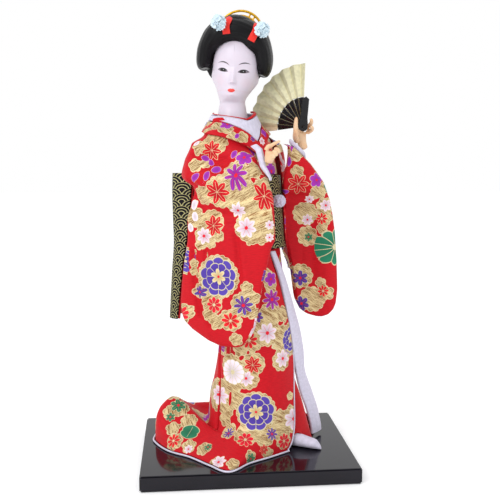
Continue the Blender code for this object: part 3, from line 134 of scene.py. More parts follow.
class HeadSettings(bpy.types.PropertyGroup):
    skin: colour_setting("Skin", "White-painted face", (0.64, 0.575, 0.66))
    hand: colour_setting("Hands", "Warm skin of the hands", (0.74, 0.52, 0.33))
    lips: colour_setting("Lips", "Painted lips", (0.78, 0.06, 0.045))
    hair: colour_setting("Hair", "Black hair", (0.0022, 0.0020, 0.0027))
    comb: colour_setting("Comb", "Golden comb", (0.80, 0.44, 0.02))
    ribbon: colour_setting("Ribbon", "Red hair ribbon", (0.80, 0.030, 0.022))
    blossom: colour_setting("Blossom", "Pale blue petals", (0.68, 0.82, 0.90))
    petals: bpy.props.IntProperty(
        name="Petals", description="Petals in each bunch", default=46, min=6,
    )


class FanSettings(bpy.types.PropertyGroup):
    paper: colour_setting("Paper", "Pale gold paper", (0.70, 0.67, 0.44))
    ribs: colour_setting("Ribs", "Black ribs", (0.010, 0.010, 0.012))
    lacquer: colour_setting("Board", "Black lacquer", (0.007, 0.006, 0.011))


# Numbers and grids

def curve(knots, values, at):
    """Cubic through the values at the knots, with slopes by central differences."""
    knots = np.asarray(knots, float)
    values = np.asarray(values, float)
    at = np.asarray(at, float)
    slope = np.gradient(values, knots, axis=0)
    i = np.clip(np.searchsorted(knots, at, side="right") - 1, 0, len(knots) - 2)
    span = knots[i + 1] - knots[i]
    s = (at - knots[i]) / span
    if values.ndim > 1:
        extra = (1,) * (values.ndim - 1)
        s = s.reshape(s.shape + extra)
        span = span.reshape(span.shape + extra)
    s2 = s * s
    s3 = s2 * s
    return (
        (2 * s3 - 3 * s2 + 1) * values[i]
        + (s3 - 2 * s2 + s) * span * slope[i]
        + (3 * s2 - 2 * s3) * values[i + 1]
        + (s3 - s2) * span * slope[i + 1]
    )


def unit(v):
    return v / np.maximum(np.linalg.norm(v, axis=-1, keepdims=True), 1e-12)


def smooth(x, low, high):
    """Rises from 0 at low to 1 at high as 3 x squared less 2 x cubed."""
    t = np.clip((x - low) / (high - low), 0, 1)
    return t * t * (3 - 2 * t)


def bump_at(x, middle, width):
    """Bell curve, 1 at the middle and falling over the width."""
    return np.exp(-(((x - middle) / width) ** 2))


def circle(count):
    """Angles spread evenly round a circle."""
    return np.linspace(0, 2 * math.pi, count, endpoint=False)


def ball_ways(v, a):
    """Directions (sin v cos a, sin v sin a, cos v) from a pole at +Z."""
    return np.stack([np.sin(v) * np.cos(a), np.sin(v) * np.sin(a), np.cos(v) + 0 * a], -1)


def bearing(angle):
    """Level direction at an angle in degrees, from -Y round toward +X."""
    a = np.radians(angle)
    return np.stack([np.sin(a), -np.cos(a), 0 * a], -1)


def grid_normals(p, round_u=False):
    """Cross product of the differences along both ways of a grid, made unit."""
    du = np.roll(p, -1, 0) - np.roll(p, 1, 0) if round_u else np.gradient(p, axis=0)
    return unit(np.cross(du, np.gradient(p, axis=1)))


def grid_faces(nu, nv, round_u=False, start=0, flip=False):
    """Quads of a grid of nu by nv points, numbered row by row from start."""
    i = np.arange(nu if round_u else nu - 1)[:, None]
    j = np.arange(nv - 1)[None]
    k = (i + 1) % nu
    quads = np.stack([i * nv + j, k * nv + j, k * nv + j + 1, i * nv + j + 1], -1)
    quads = quads.reshape(-1, 4) + start
    return quads[:, ::-1] if flip else quads


def make_mesh(name, points, faces, material, body="root", slot=None, replaces=()):
    """Object at the origin, its faces turned out and shaded smooth, riding on the body."""
    mesh = bpy.data.meshes.new(name)
    mesh.from_pydata(np.asarray(points, float).tolist(), [], [tuple(f) for f in faces])
    mesh.validate()
    turn_outward(mesh)
    mesh.shade_smooth()
    obj = bpy.data.objects.new(name, mesh)
    bpy.context.scene.collection.objects.link(obj)
    mesh.materials.append(material)
    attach(obj, body)
    if replaces:
        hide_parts(*replaces)
    return obj


def keep(mesh, name, kind, values):
    """Stores whole arrays as a point attribute of the mesh."""
    attribute = mesh.attributes.new(name, kind, "POINT")
    field = {"FLOAT": "value", "FLOAT_VECTOR": "vector", "FLOAT_COLOR": "color"}[kind]
    attribute.data.foreach_set(field, np.ascontiguousarray(values, np.float32).ravel())


def turn_outward(mesh):
    """Reverses a closed mesh whose signed volume is negative."""
    mesh.calc_loop_triangles()
    co = np.zeros(len(mesh.vertices) * 3)
    mesh.vertices.foreach_get("co", co)
    tri = np.zeros(len(mesh.loop_triangles) * 3, np.int32)
    mesh.loop_triangles.foreach_get("vertices", tri)
    a, b, c = co.reshape(-1, 3)[tri.reshape(-1, 3)].swapaxes(0, 1)
    if (a * np.cross(b, c)).sum() < 0:
        mesh.flip_normals()


def shell(p, thick, shift=0.0, round_u=False, floor=None, normals=None):
    """Points and faces of a closed sheet: the grid moved half its thickness both ways."""
    nu, nv = p.shape[:2]
    thick = np.broadcast_to(np.asarray(thick, float), (nu, nv))[..., None]
    n = grid_normals(p, round_u) if normals is None else normals
    top = p + n * (thick / 2 + shift)
    low = p - n * (thick / 2 - shift)
    if floor is not None:
        top[..., 2] = np.maximum(top[..., 2], floor)
        low[..., 2] = np.maximum(low[..., 2], floor)
    return closed_pair(top, low, round_u)


def closed_pair(top, low, round_u=False):
    """Points and faces of the closed body between two grids with the same numbering."""
    nu, nv = top.shape[:2]
    off = nu * nv
    faces = [grid_faces(nu, nv, round_u), grid_faces(nu, nv, round_u, off, True)]
    index = np.arange(off).reshape(nu, nv)
    rims = []
    for j, flip in ((0, False), (nv - 1, True)):
        line = index[:, j]
        ahead = np.roll(line, -1) if round_u else line[1:]
        line = line if round_u else line[:-1]
        rims.append((line, ahead, flip))
    if not round_u:
        rims.append((index[0, :-1], index[0, 1:], True))
        rims.append((index[-1, :-1], index[-1, 1:], False))
    for line, ahead, flip in rims:
        quad = np.stack([line, line + off, ahead + off, ahead], -1)
        faces.append(quad[:, ::-1] if flip else quad)
    points = np.concatenate([top.reshape(-1, 3), low.reshape(-1, 3)])
    return points, np.concatenate(faces)


def loft(rings):
    """Points and faces of a closed body through rings, its ends closed at their middles."""
    m, n = rings.shape[:2]
    ends = np.stack([rings[0].mean(0), rings[-1].mean(0)])
    points = np.concatenate([rings.reshape(-1, 3), ends])
    faces = grid_faces(n, m, True)
    faces = (faces % m) * n + faces // m
    i = np.arange(n)
    k = (i + 1) % n
    first = np.stack([i, k, np.full(n, m * n)], -1)
    last = np.stack([(m - 1) * n + k, (m - 1) * n + i, np.full(n, m * n + 1)], -1)
    return points, [tuple(f) for f in faces] + [tuple(f) for f in np.concatenate([first, last])]


def rod(path, radius, sides=12, flat=1.0, up=(0, 0, 1)):
    """Rings round a path, carried along it without twist: centre + r (cos, flat sin)."""
    path = np.asarray(path, float)
    radius = np.broadcast_to(np.asarray(radius, float), (len(path),))
    along = unit(np.gradient(path, axis=0))
    up = np.asarray(up, float)
    over = unit(up - along[0] * (along[0] @ up))
    a = circle(sides)
    rings = []
    for p, d, r in zip(path, along, radius):
        over = unit(over - d * (over @ d))
        side = np.cross(d, over)
        rings.append(p + np.outer(np.cos(a) * r, side) + np.outer(np.sin(a) * r * flat, over))
    return np.array(rings)


def ball(centre, radii, rows=24, sides=32):
    """Ellipsoid as rings: centre + radii times (sin v cos a, sin v sin a, cos v)."""
    v = np.linspace(0.02, math.pi - 0.02, rows)[:, None]
    a = circle(sides)[None]
    around = ball_ways(v, a)
    return np.asarray(centre) + around * np.asarray(radii)


def outward(points, faces):
    """Faces of one closed body, reversed where its signed volume is negative."""
    volume = 0.0
    for corners in (3, 4):
        f = np.array([face for face in faces if len(face) == corners], int).reshape(-1, corners)
        for k in range(1, corners - 1):
            a, b, c = points[f[:, 0]], points[f[:, k]], points[f[:, k + 1]]
            volume += (a * np.cross(b, c)).sum()
    return faces if volume > 0 else [tuple(face)[::-1] for face in faces]


def join(parts):
    """Points and faces of several closed bodies as one mesh, each body facing out."""
    points = []
    faces = []
    start = 0
    for p, f in parts:
        points.append(np.asarray(p))
        faces += [tuple(int(i) + start for i in face) for face in outward(points[-1], f)]
        start += len(p)
    return np.concatenate(points), faces


def mesh_uv(obj, uv):
    """Writes a UV map from one pair per point, in millimetres of cloth."""
    mesh = obj.data
    layer = mesh.uv_layers.new(name="cloth")
    corner = np.zeros(len(mesh.loops), np.int32)
    mesh.loops.foreach_get("vertex_index", corner)
    layer.data.foreach_set("uv", np.ascontiguousarray(uv[corner], np.float32).ravel())


def grid_uv(p):
    """Millimetres along each way of a grid, from its mean step lengths."""
    across = np.linalg.norm(np.diff(p, axis=0), axis=-1).mean(1)
    down = np.linalg.norm(np.diff(p, axis=1), axis=-1).mean(0)
    u = np.append(0, np.cumsum(across)) / MM
    v = np.append(0, np.cumsum(down)) / MM
    return np.stack(np.broadcast_arrays(u[:, None], v[None]), -1).reshape(-1, 2)


def cloth_map(obj, p):
    """Map of a closed sheet, the same on its outer and its inner grid."""
    uv = grid_uv(p)
    mesh_uv(obj, np.concatenate([uv, uv]))


# Shader helpers

def new_material(name):
    mat = bpy.data.materials.new(name)
    mat.use_nodes = True
    tree = mat.node_tree
    return mat, tree, tree.nodes["Principled BSDF"]


def calc(operation, *values):
    """Maths node in the tree of its first socket: returns its output socket."""
    tree = next(v for v in values if isinstance(v, bpy.types.NodeSocket)).id_data
    node = tree.nodes.new("ShaderNodeMath")
    node.operation = operation
    for socket, value in zip(node.inputs, values):
        if isinstance(value, (int, float)):
            socket.default_value = value
        else:
            tree.links.new(value, socket)
    return node.outputs[0]


# The maths nodes that are used most, as calc with their operation filled in
add, sub, mul, div, most = (
    partial(calc, name) for name in ("ADD", "SUBTRACT", "MULTIPLY", "DIVIDE", "MAXIMUM")
)


def radius_of(x, y):
    return calc("SQRT", add(mul(x, x), mul(y, y)))


def wire(value, node, name):
    """Joins a socket to a node's input."""
    node.id_data.links.new(value, node.inputs[name])


def dim(colour, share):
    return tuple(c * share for c in colour)


def ramp(value, low, high, first=0.0, last=1.0):
    """Smooth step of a value from first at low to last at high."""
    node = value.id_data.nodes.new("ShaderNodeMapRange")
    node.interpolation_type = "SMOOTHSTEP"
    wire(value, node, "Value")
    for key, number in zip(("From Min", "From Max", "To Min", "To Max"), (low, high, first, last)):
        node.inputs[key].default_value = number
    return node.outputs["Result"]


def blend(factor, first, second):
    """Colour mix of two colours or sockets."""
    node = factor.id_data.nodes.new("ShaderNodeMix")
    node.data_type = "RGBA"
    for key, value in ((0, factor), (6, first), (7, second)):
        if isinstance(value, bpy.types.NodeSocket):
            wire(value, node, key)
        elif key:
            node.inputs[key].default_value = (*value[:3], 1.0)
        else:
            node.inputs[key].default_value = value
    return node.outputs[2]


def read(tree, name, output="Fac"):
    node = tree.nodes.new("ShaderNodeAttribute")
    node.attribute_name = name
    return node.outputs[output]


def coordinates(tree, scale=(1, 1, 1), turn=0.0, uv=True):
    """Cloth millimetres, or object metres, turned about Z and scaled."""
    if uv:
        source = tree.nodes.new("ShaderNodeUVMap")
        source.uv_map = "cloth"
        out = source.outputs[0]
    else:
        out = tree.nodes.new("ShaderNodeTexCoord").outputs["Object"]
    turned = tree.nodes.new("ShaderNodeMapping")
    turned.inputs["Rotation"].default_value = (0, 0, turn)
    wire(out, turned, "Vector")
    scaled = tree.nodes.new("ShaderNodeVectorMath")
    scaled.operation = "MULTIPLY"
    scaled.inputs[1].default_value = scale
    wire(turned.outputs[0], scaled, 0)
    return scaled.outputs[0]


def noise(vector, scale, detail=2.0, rough=0.5):
    node = vector.id_data.nodes.new("ShaderNodeTexNoise")
    node.inputs["Scale"].default_value = scale
    node.inputs["Detail"].default_value = detail
    node.inputs["Roughness"].default_value = rough
    wire(vector, node, "Vector")
    return node.outputs["Fac"]


def threads(tree, pitch_mm):
    """Height of a plain weave: the sum of two squared sines across and along the cloth."""
    node = tree.nodes.new("ShaderNodeSeparateXYZ")
    wire(coordinates(tree, (math.pi / pitch_mm,) * 3), node, 0)
    warp = calc("ABSOLUTE", calc("SINE", node.outputs[0]))
    weft = calc("ABSOLUTE", calc("SINE", node.outputs[1]))
    return add(warp, weft)


def relief(shader, height, strength, distance):
    node = height.id_data.nodes.new("ShaderNodeBump")
    node.inputs["Strength"].default_value = strength
    node.inputs["Distance"].default_value = distance
    wire(height, node, "Height")
    wire(node.outputs[0], shader, "Normal")


def set_finish(shader, rough, metallic=0.0, sheen=0.0, coat=0.0, specular=0.5):
    shader.inputs["Roughness"].default_value = rough
    shader.inputs["Metallic"].default_value = metallic
    shader.inputs["Sheen Weight"].default_value = sheen
    shader.inputs["Coat Weight"].default_value = coat
    shader.inputs["Specular IOR Level"].default_value = specular


def grained_material(name, scale, detail, rough, span, dark, light, uv=False):
    """Material between two colours by a noise, with its shader and the noise's socket."""
    mat, tree, shader = new_material(name)
    grain = noise(coordinates(tree, scale, uv=uv), 1.0, detail, rough)
    share = ramp(grain, *span) if span else grain
    wire(blend(share, dark, light), shader, "Base Color")
    return mat, shader, grain


# Forms shared with the solids

BAND_THICK = 0.0026
PIPING_RADIUS = 0.0006
SKIRT_TOP = 0.1335
OBI_TOP = 0.1815
OBI_THICK = 0.0020
SLEEVE_EDGE = 0.0012
SLEEVE_ROOM = 0.0030
SLEEVE_PUFF = 0.0030
ARM_PUFF = 0.0060
CUFF_WIDTH = 0.0047
HEAD_YAW = -8.0
HEAD_ROLL = 7.0
WIG_GAP = 0.0004
FAN_RADIUS = 0.0405
FAN_INNER = 0.0190
FAN_FOLDS = 8
FAN_FOLD_DEPTH = 0.0011
FAN_PAPER = 0.0005
FAN_Y = -0.0040
GUARD_WIDTH = 0.0044
GUARD_THICK = 0.0012
RIVET_RADIUS = 0.0011
FOOT_LENGTH = 0.0260
FOOT_WIDTH = 0.0090
FOOT_HEIGHT = 0.0082
POMPOM_RADIUS = 0.0043

# Cross-sections of the clothed trunk: level above the board, centre, half width
# across the shoulders, half depth from front to back.  Millimetres.
TRUNK = np.array([
    (0, 10.0, 5.0, 27.0, 25.0),
    (35, 10.0, 5.0, 28.0, 25.5),
    (62, 9.0, 4.0, 28.5, 25.5),
    (90, 8.0, 3.0, 25.5, 23.0),
    (120, 6.0, 2.0, 24.0, 21.5),
    (140, 4.5, 1.0, 21.5, 19.0),
    (155, 4.0, 0.0, 21.0, 18.0),
    (172, 2.5, -1.0, 22.0, 18.0),
    (186, 0.0, -2.0, 25.0, 17.8),
    (198, -3.0, -2.5, 27.0, 17.2),
    (205, -4.5, -2.5, 26.5, 16.0),
    (209, -5.5, -1.5, 24.0, 15.6),
    (212, -6.6, 0.0, 19.0, 15.6),
    (214, -7.0, 0.4, 16.6, 15.2),
])
TRUNK_TURN = 45.0


def trunk(level, theta, grow=0.0):
    """Points of the clothed trunk at levels and bearings, grown outward."""
    row = curve(TRUNK[:, 0] * MM, TRUNK[:, 1:] * MM, level)
    turn = np.radians(np.asarray(theta, float) - TRUNK_TURN)
    half_w = row[..., 2] + grow
    half_d = row[..., 3] + grow
    r = 1 / np.sqrt((np.cos(turn) / half_d) ** 2 + (np.sin(turn) / half_w) ** 2)
    out = bearing(theta)
    x = row[..., 0] + out[..., 0] * r
    y = row[..., 1] + out[..., 1] * r
    return np.stack([x, y, DECK + level + 0 * r], -1)


# The skirt's net: 14 columns from the front edge round the left and the back.
# Upper rows by bearing on the trunk, lower rows as points above the board, mm.
SKIRT_TURN = {
    "top": (28, 12, -8, -30, -52, -74, -94, -114, -138, -165, -195, -228, -268, -312),
    "hip": (57, 33, 9, -17, -43, -68, -89, -108, -132, -160, -190, -222, -254, -287),
    "thigh": (62, 36, 10, -17, -43, -68, -89, -108, -131, -157, -187, -217, -243, -268),
}
SKIRT_ROWS = {
    "knee": (
        (31, -13, 35), (22, -19.5, 35), (11, -23.5, 35), (1, -22.5, 35), (-9, -17.5, 35),
        (-17, -9, 35), (-20.8, -1.5, 35), (-22, 6, 35), (-21, 15, 35), (-13, 27, 35),
        (2, 33, 35), (19, 31, 35), (31, 23, 35), (36.5, 13, 35),
    ),
    "valley": (
        (31.2, -14.5, 20), (22.5, -21.5, 20), (10.5, -26, 19), (-0.5, -25.5, 18.5),
        (-10.5, -19.5, 16.5), (-18.5, -11, 13.5), (-23.5, -3, 11.5), (-25.5, 6, 10.5),
        (-26.5, 16, 11.5), (-20, 28, 13.5), (0, 36, 18), (20, 34, 20), (33, 25, 20),
        (39, 14, 20),
    ),
    "ridge": (
        (30.6, -16.5, 12.5), (20.5, -24.5, 13), (8, -30, 13), (-4, -31.5, 12.5),
        (-14, -23.5, 12), (-21.5, -14, 12), (-28.5, -4.5, 15.3), (-37.5, 8, 20.5),
        (-46, 19, 26), (-37.5, 29, 18.5), (-18, 37.5, 16), (12, 40, 15), (37, 31, 13),
        (44, 16, 13),
    ),
    "groove": (
        (29, -19.3, 6.5), (17.5, -27.5, 7.5), (4.5, -34.5, 7.5), (-8, -41, 7),
        (-18, -31, 7.8), (-27.5, -18.5, 9), (-36, -9, 11), (-47.5, 1.5, 14.5),
        (-55.3, 15, 23), (-46, 33, 16), (-23, 42, 11.5), (13, 43.8, 10.5), (40.5, 34, 9),
        (47.5, 17.3, 9),
    ),
    "flare": (
        (27, -21.2, 2.8), (14.5, -29.8, 3.6), (1.5, -37.6, 3.9), (-12, -48.0, 3.4),
        (-22, -37.5, 4.4), (-33, -22.5, 5.4), (-44.5, -12.3, 7.4), (-55.3, -1.0, 9.8),
        (-60, 12.5, 14), (-51, 35, 9.5), (-26, 45, 6.5), (14, 46.2, 5.5), (43.3, 36, 4.8),
        (50.3, 18.3, 4.8),
    ),
    "hem": (
        (24.6, -22.7, 0.9), (11.6, -31.6, 0.9), (-1.5, -39.6, 0.9), (-14.3, -51.2, 0.9),
        (-24.5, -41, 0.9), (-37, -26, 0.9), (-50, -15, 0.9), (-58.3, -1, 0.9),
        (-60.2, 11, 0.9), (-52, 36, 0.9), (-27, 46, 0.9), (14, 47, 0.9), (45, 37, 0.9),
        (52, 19, 0.9),
    ),
}
ROW_KNOTS = np.array([0, 0.19, 0.38, 0.56, 0.66, 0.745, 0.83, 0.92, 1.0])


def skirt_net():
    """The skirt's control points as rows by columns."""
    rows = []
    for key, level in (("top", SKIRT_TOP), ("hip", 0.090), ("thigh", 0.062)):
        th = np.array(SKIRT_TURN[key], float)
        tuck = np.zeros(len(th))
        tuck[-1] = 0.0042
        tuck[-2] = 0.0020
        pts = trunk(np.full(len(th), level), th, -CLOTH / 2)
        rows.append(pts - bearing(th) * tuck[:, None])
    for key in ("knee", "valley", "ridge", "groove", "flare", "hem"):
        pts = np.array(SKIRT_ROWS[key], float) * MM
        pts[:, 2] += DECK
        rows.append(pts)
    return np.array(rows)


NET = skirt_net()
COLUMNS = NET.shape[1]


def pleats(u, t):
    """Depth in mm of the two pleat grooves, each with a low lip beside it."""
    depth = 0 * u
    for centre, width, deep, start, end in (
        (5.05, 0.090, 2.0, 0.20, 0.74),
        (4.15, 0.075, 1.2, 0.30, 0.66),
    ):
        lane = np.exp(-(((u - centre - 0.25 * (t - 0.4)) / width) ** 2))
        lip = np.exp(-(((u - centre - 0.22 - 0.25 * (t - 0.4)) / 0.16) ** 2))
        fade = np.clip((t - start) / 0.08, 0, 1) * np.clip((end - t) / 0.10, 0, 1)
        depth = depth + deep * (lane - 0.22 * lip) * fade
    return depth


def skirt_points(u, t):
    """Mid surface of the skirt at columns u (0 to 13) and rows t (0 to 1)."""
    rows = curve(np.arange(COLUMNS), np.swapaxes(NET, 0, 1), u)
    pts = curve(ROW_KNOTS, np.swapaxes(rows, 0, 1), t)
    return np.swapaxes(pts, 0, 1)


# Padded white band inside the front opening: level, inner bearing, outer bearing,
# flare of the outer edge, on the trunk; then points where it leaves the trunk.
BAND_UPPER = (
    (0.1325, 31.5, 44.0, 0.0000),
    (0.1170, 44.0, 58.0, 0.0005),
    (0.1030, 53.5, 70.0, 0.0015),
    (0.0900, 60.0, 78.0, 0.0030),
    (0.0770, 64.5, 84.0, 0.0043),
    (0.0620, 67.0, 88.0, 0.0050),
)
BAND_LOWER = (
    ((34.4, -4.5, 49.0), (41.3, 3.5, 48.0)),
    ((37.6, -3.5, 35.5), (46.2, 5.5, 34.0)),
    ((42.4, -1.5, 22.0), (51.0, 8.0, 20.0)),
    ((45.8, 0.5, 9.5), (54.0, 10.5, 8.0)),
    ((46.6, 1.5, 3.0), (54.8, 11.5, 2.4)),
)


def band_points(across, along):
    """Mid surface of the lining band, across 0 to 1 and along 0 to 1."""
    inner = []
    outer = []
    for level, first, second, flare in BAND_UPPER:
        inner.append(trunk(np.float64(level), first, -CLOTH / 2))
        outer.append(trunk(np.float64(level), second, -CLOTH / 2 + flare))
    for first, second in BAND_LOWER:
        inner.append(np.array(first) * MM + (0, 0, DECK))
        outer.append(np.array(second) * MM + (0, 0, DECK))
    knots = np.linspace(0, 1, len(inner))
    a = curve(knots, np.array(inner), along)
    b = curve(knots, np.array(outer), along)
    return a[None] + (b - a)[None] * np.asarray(across)[:, None, None]


# Red underskirt panel, draped over the foot
UNDER_ROWS = (
    ((20.5, -8.5, 60), (26.4, -6.2, 60), (30.0, -1.5, 60), (29.5, 5, 60)),
    ((20.5, -10.8, 45), (27.4, -8.0, 45), (32.6, -3.8, 45), (33.0, 3.5, 45)),
    ((20, -13, 30), (28.2, -10.2, 30), (37.2, -5.6, 30), (37.2, 2.5, 30)),
    ((19.5, -15.5, 15), (28.6, -12.6, 15), (41.0, -5.8, 15), (41.2, 1.8, 15)),
    ((18, -18.0, 0.9), (27.3, -16.8, 0.9), (44.8, -4.2, 0.9), (43.4, 1.0, 0.9)),
)


def under_points(u, t):
    rows = np.array(UNDER_ROWS, float) * MM
    rows[..., 2] += DECK
    a = curve(np.arange(4), np.swapaxes(rows, 0, 1), u)
    return np.swapaxes(curve(np.linspace(0, 1, 5), np.swapaxes(a, 0, 1), t), 0, 1)


# Foot in its white sock, seated on the board
FOOT_TOE = (0.0492, -0.0208)
FOOT_BEARING = 61.0

# Collars: bearing, level of the upper and of the lower edge, millimetres
COLLAR_TOP = np.array([
    (-180, 222.0), (-120, 221.5), (-67, 219.6), (-13, 217.6), (10, 216.6), (27, 215.8),
    (45, 217.4), (60, 219.0), (100, 221.5), (140, 222.5), (180, 222.0),
])
COLLAR_SEAM = np.array([
    (-180, 216.5), (-120, 216.5), (-67, 216.5), (-30, 215.5), (-13, 214.0), (5, 211.3),
    (19, 208.0), (34, 203.0), (45, 206.0), (58, 211.0), (80, 214.5), (100, 216.0),
    (140, 216.5), (180, 216.5),
])
COLLAR_LOW = np.array([
    (-180, 210.5), (-120, 210.0), (-67, 209.0), (-30, 206.0), (-13, 203.5), (5, 200.0),
    (19, 196.5), (34, 192.0), (45, 196.0), (58, 202.0), (80, 206.5), (100, 208.5),
    (140, 210.0), (180, 210.5),
])
NECK_X = -0.0070
NECK_Y = 0.0006
STAND_RADIUS = 0.0117
STAND_LEVEL = 0.2220
TRUNK_END = 0.2140
COLLAR_LIFT = GAP + CLOTH / 2 + 0.0010


def neckline(level, theta, grow):
    """Surface of the trunk, carried on above it as a stand round the neck."""
    low = trunk(np.minimum(level, TRUNK_END), theta, grow)
    stand = bearing(theta) * (STAND_RADIUS + grow)
    stand = stand + np.array([NECK_X, NECK_Y, DECK + STAND_LEVEL])
    share = np.clip((level - TRUNK_END) / (STAND_LEVEL - TRUNK_END), 0, 1.2)
    return low + (stand - low) * share[..., None]


# Head and neck: level from the chin, half width, depth to the front and the back
HEAD_X = -0.0078
HEAD_Y = 0.0025
CHIN_LEVEL = 0.2308
HEAD_RINGS = np.array([
    (-32.0, 8.0, 9.8, 6.2), (-25, 8.8, 10.8, 7.2), (-19, 11.0, 12.9, 8.6),
    (-16.5, 11.2, 12.9, 8.8), (-13, 10.7, 12.2, 8.7), (-9, 9.5, 11.2, 8.9),
    (-5, 8.8, 10.2, 9.8), (-2.5, 8.4, 10.6, 11.0), (-0.6, 8.5, 12.6, 12.5),
    (1.5, 9.2, 14.4, 14.0), (4, 10.3, 15.1, 15.5), (7, 11.7, 15.3, 16.5),
    (10, 12.9, 15.3, 17.3), (14, 14.0, 15.1, 18.0), (18, 14.8, 15.0, 18.4),
    (24, 15.2, 15.5, 18.5), (30, 14.4, 15.2, 17.8), (36, 12.2, 13.2, 15.5),
    (41, 8.8, 9.8, 11.8), (44.5, 5.0, 5.5, 7.0), (46, 1.5, 1.7, 2.0),
])


def head_place(p):
    """From the head's own frame to the world, with its tilt and turn."""
    p = np.asarray(p, float)
    share = np.clip((p[..., 2] + 0.004) / 0.012, 0, 1)
    roll = np.radians(HEAD_ROLL) * share * share * (3 - 2 * share)
    x = p[..., 0] * np.cos(roll) + p[..., 2] * np.sin(roll)
    z = -p[..., 0] * np.sin(roll) + p[..., 2] * np.cos(roll)
    yaw = math.radians(HEAD_YAW)
    wx = x * math.cos(yaw) - p[..., 1] * math.sin(yaw)
    wy = x * math.sin(yaw) + p[..., 1] * math.cos(yaw)
    return np.stack([wx + HEAD_X, wy + HEAD_Y, z + DECK + CHIN_LEVEL], -1)


# Hair: an arch over the brow with a lobe at each side, a crown and a front roll
WIG_ARCH = np.array([
    (-20.3, 17.6, 3.0, 7.0, 2.0), (-20.9, 20.0, 5.0, 10.0, 2.4), (-21.0, 25, 6.0, 13.0, 3.4),
    (-19.6, 31, 7.0, 15.2, 2.6), (-15.5, 36.7, 9.2, 16.6, 0.6), (-9.8, 40.6, 10.2, 17.2, 0.0),
    (-1.8, 41.8, 10.5, 17.4, -0.4), (6.0, 40.3, 10.5, 17.2, 0.0), (11.3, 36.1, 9.9, 16.8, 0.3),
    (15.3, 31, 7.6, 15.6, 2.2), (16.9, 25, 6.6, 13.8, 3.0), (17.1, 20.0, 5.2, 10.4, 2.3),
    (16.7, 17.6, 3.0, 7.0, 2.0),
]) * MM


def side_profile(knots, at):
    table = np.array(knots, float) * MM
    order = np.argsort(table[:, 0])
    return np.interp(at, table[order, 0], table[order, 1])


def lane(s, h, path, width):
    """Nearness of points to a line of places, 1 on it and fading over its width."""
    path = np.array(path, float) * MM
    best = np.full(s.shape, 1e9)
    for a, b in zip(path[:-1], path[1:]):
        d = b - a
        t = np.clip(((s - a[0]) * d[0] + (h - a[1]) * d[1]) / (d @ d), 0, 1)
        best = np.minimum(best, np.hypot(s - a[0] - t * d[0], h - a[1] - t * d[1]))
    return np.exp(-((best / (width * MM)) ** 2))


# Right sleeve, drawn in an upright plane: level of the edge, then place across
RIGHT_ORIGIN = (-0.0160, -0.0235)
RIGHT_TURN = -27.0
RIGHT_OUTER = (
    (218.2, -7.0), (217.4, -13.1), (210.9, -14.9), (206.8, -17.8), (198.2, -21.8),
    (192.1, -25.1), (184.5, -27.6), (181.2, -28.0), (178.5, -26.0), (175.0, -19.5),
    (171.0, -18.6), (166.0, -20.3), (154.9, -24.3), (139.4, -24.3), (127.0, -26.8),
    (112.0, -28.7), (100.5, -29.6), (92.5, -29.2), (87.4, -27.2), (82.3, -21.4),
    (75.8, -10.2), (72.4, -1.0),
)
RIGHT_INNER = (
    (218.2, -4.0), (212.7, 4.6), (203.4, 11.9), (199.2, 18.0), (196.6, 21.2),
    (186.8, 24.2), (180.1, 29.7), (172.8, 32.0), (166.7, 33.8), (155.0, 34.6),
    (142.1, 35.1), (137.1, 32.6), (126.0, 30.0), (115.6, 27.3), (100.0, 24.6), (86.0, 22.0),
    (79.3, 18.6), (73.4, 13.0), (72.4, 9.0),
)
RIGHT_TOP = 0.2180
RIGHT_LOW = 0.0724


def sleeve_rows(top, low, rows):
    t = np.linspace(0, 1, rows)
    return top - (top - low) * (t + 0.055 * np.sin(2 * math.pi * t) * -1)


def trunk_reach(p, out, room):
    """How far the trunk, grown by a room, reaches from points along a level way."""
    row = curve(TRUNK[:, 0] * MM, TRUNK[:, 1:] * MM, np.minimum(p[..., 2] - DECK, TRUNK_END))
    ahead = bearing(TRUNK_TURN)
    aside = bearing(TRUNK_TURN + 90)
    off = p[..., :2] - row[..., :2]
    half_w = row[..., 2] + room
    half_d = row[..., 3] + room
    pu = off @ ahead[:2] / half_d
    pw = off @ aside[:2] / half_w
    ou = out @ ahead / half_d
    ow = out @ aside / half_w
    a = ou * ou + ow * ow
    b = pu * ou + pw * ow
    c = pu * pu + pw * pw - 1
    root = b * b - a * c
    return np.where(root > 0, (-b + np.sqrt(np.maximum(root, 0))) / a, -0.05)


def panel_grid(first, second, across, level):
    """Places across and levels of a sleeve's grid between its two edges."""
    a = side_profile(first, level)
    b = side_profile(second, level)
    s = a[None] + (b - a)[None] * across[:, None]
    return s, np.repeat(level[None], len(across), 0)


def folded(half, s, h, folds):
    """A thickness raised or sunk along lines of places, each with its width in mm."""
    for rise, path, width in folds:
        half = half + rise * lane(s, h, path, width)
    return half


def closing(across, level, low, top, low_span, top_span):
    """Share of a sleeve's thickness, rounded off to 0 at all four edges."""
    round_off = (1 - np.abs(2 * across - 1) ** 5)[:, None] ** 0.5
    foot = np.clip((level - low) / low_span, 0, 1)[None]
    head = np.clip((top - level) / top_span, 0, 1)[None]
    return round_off * np.sqrt(foot * (2 - foot)) * np.sqrt(head * (2 - head))


def right_axes():
    """Ways along and out of the right sleeve's upright plane."""
    turn = math.radians(RIGHT_TURN)
    return (np.array([math.cos(turn), math.sin(turn), 0.0]),
            np.array([math.sin(turn), -math.cos(turn), 0.0]))


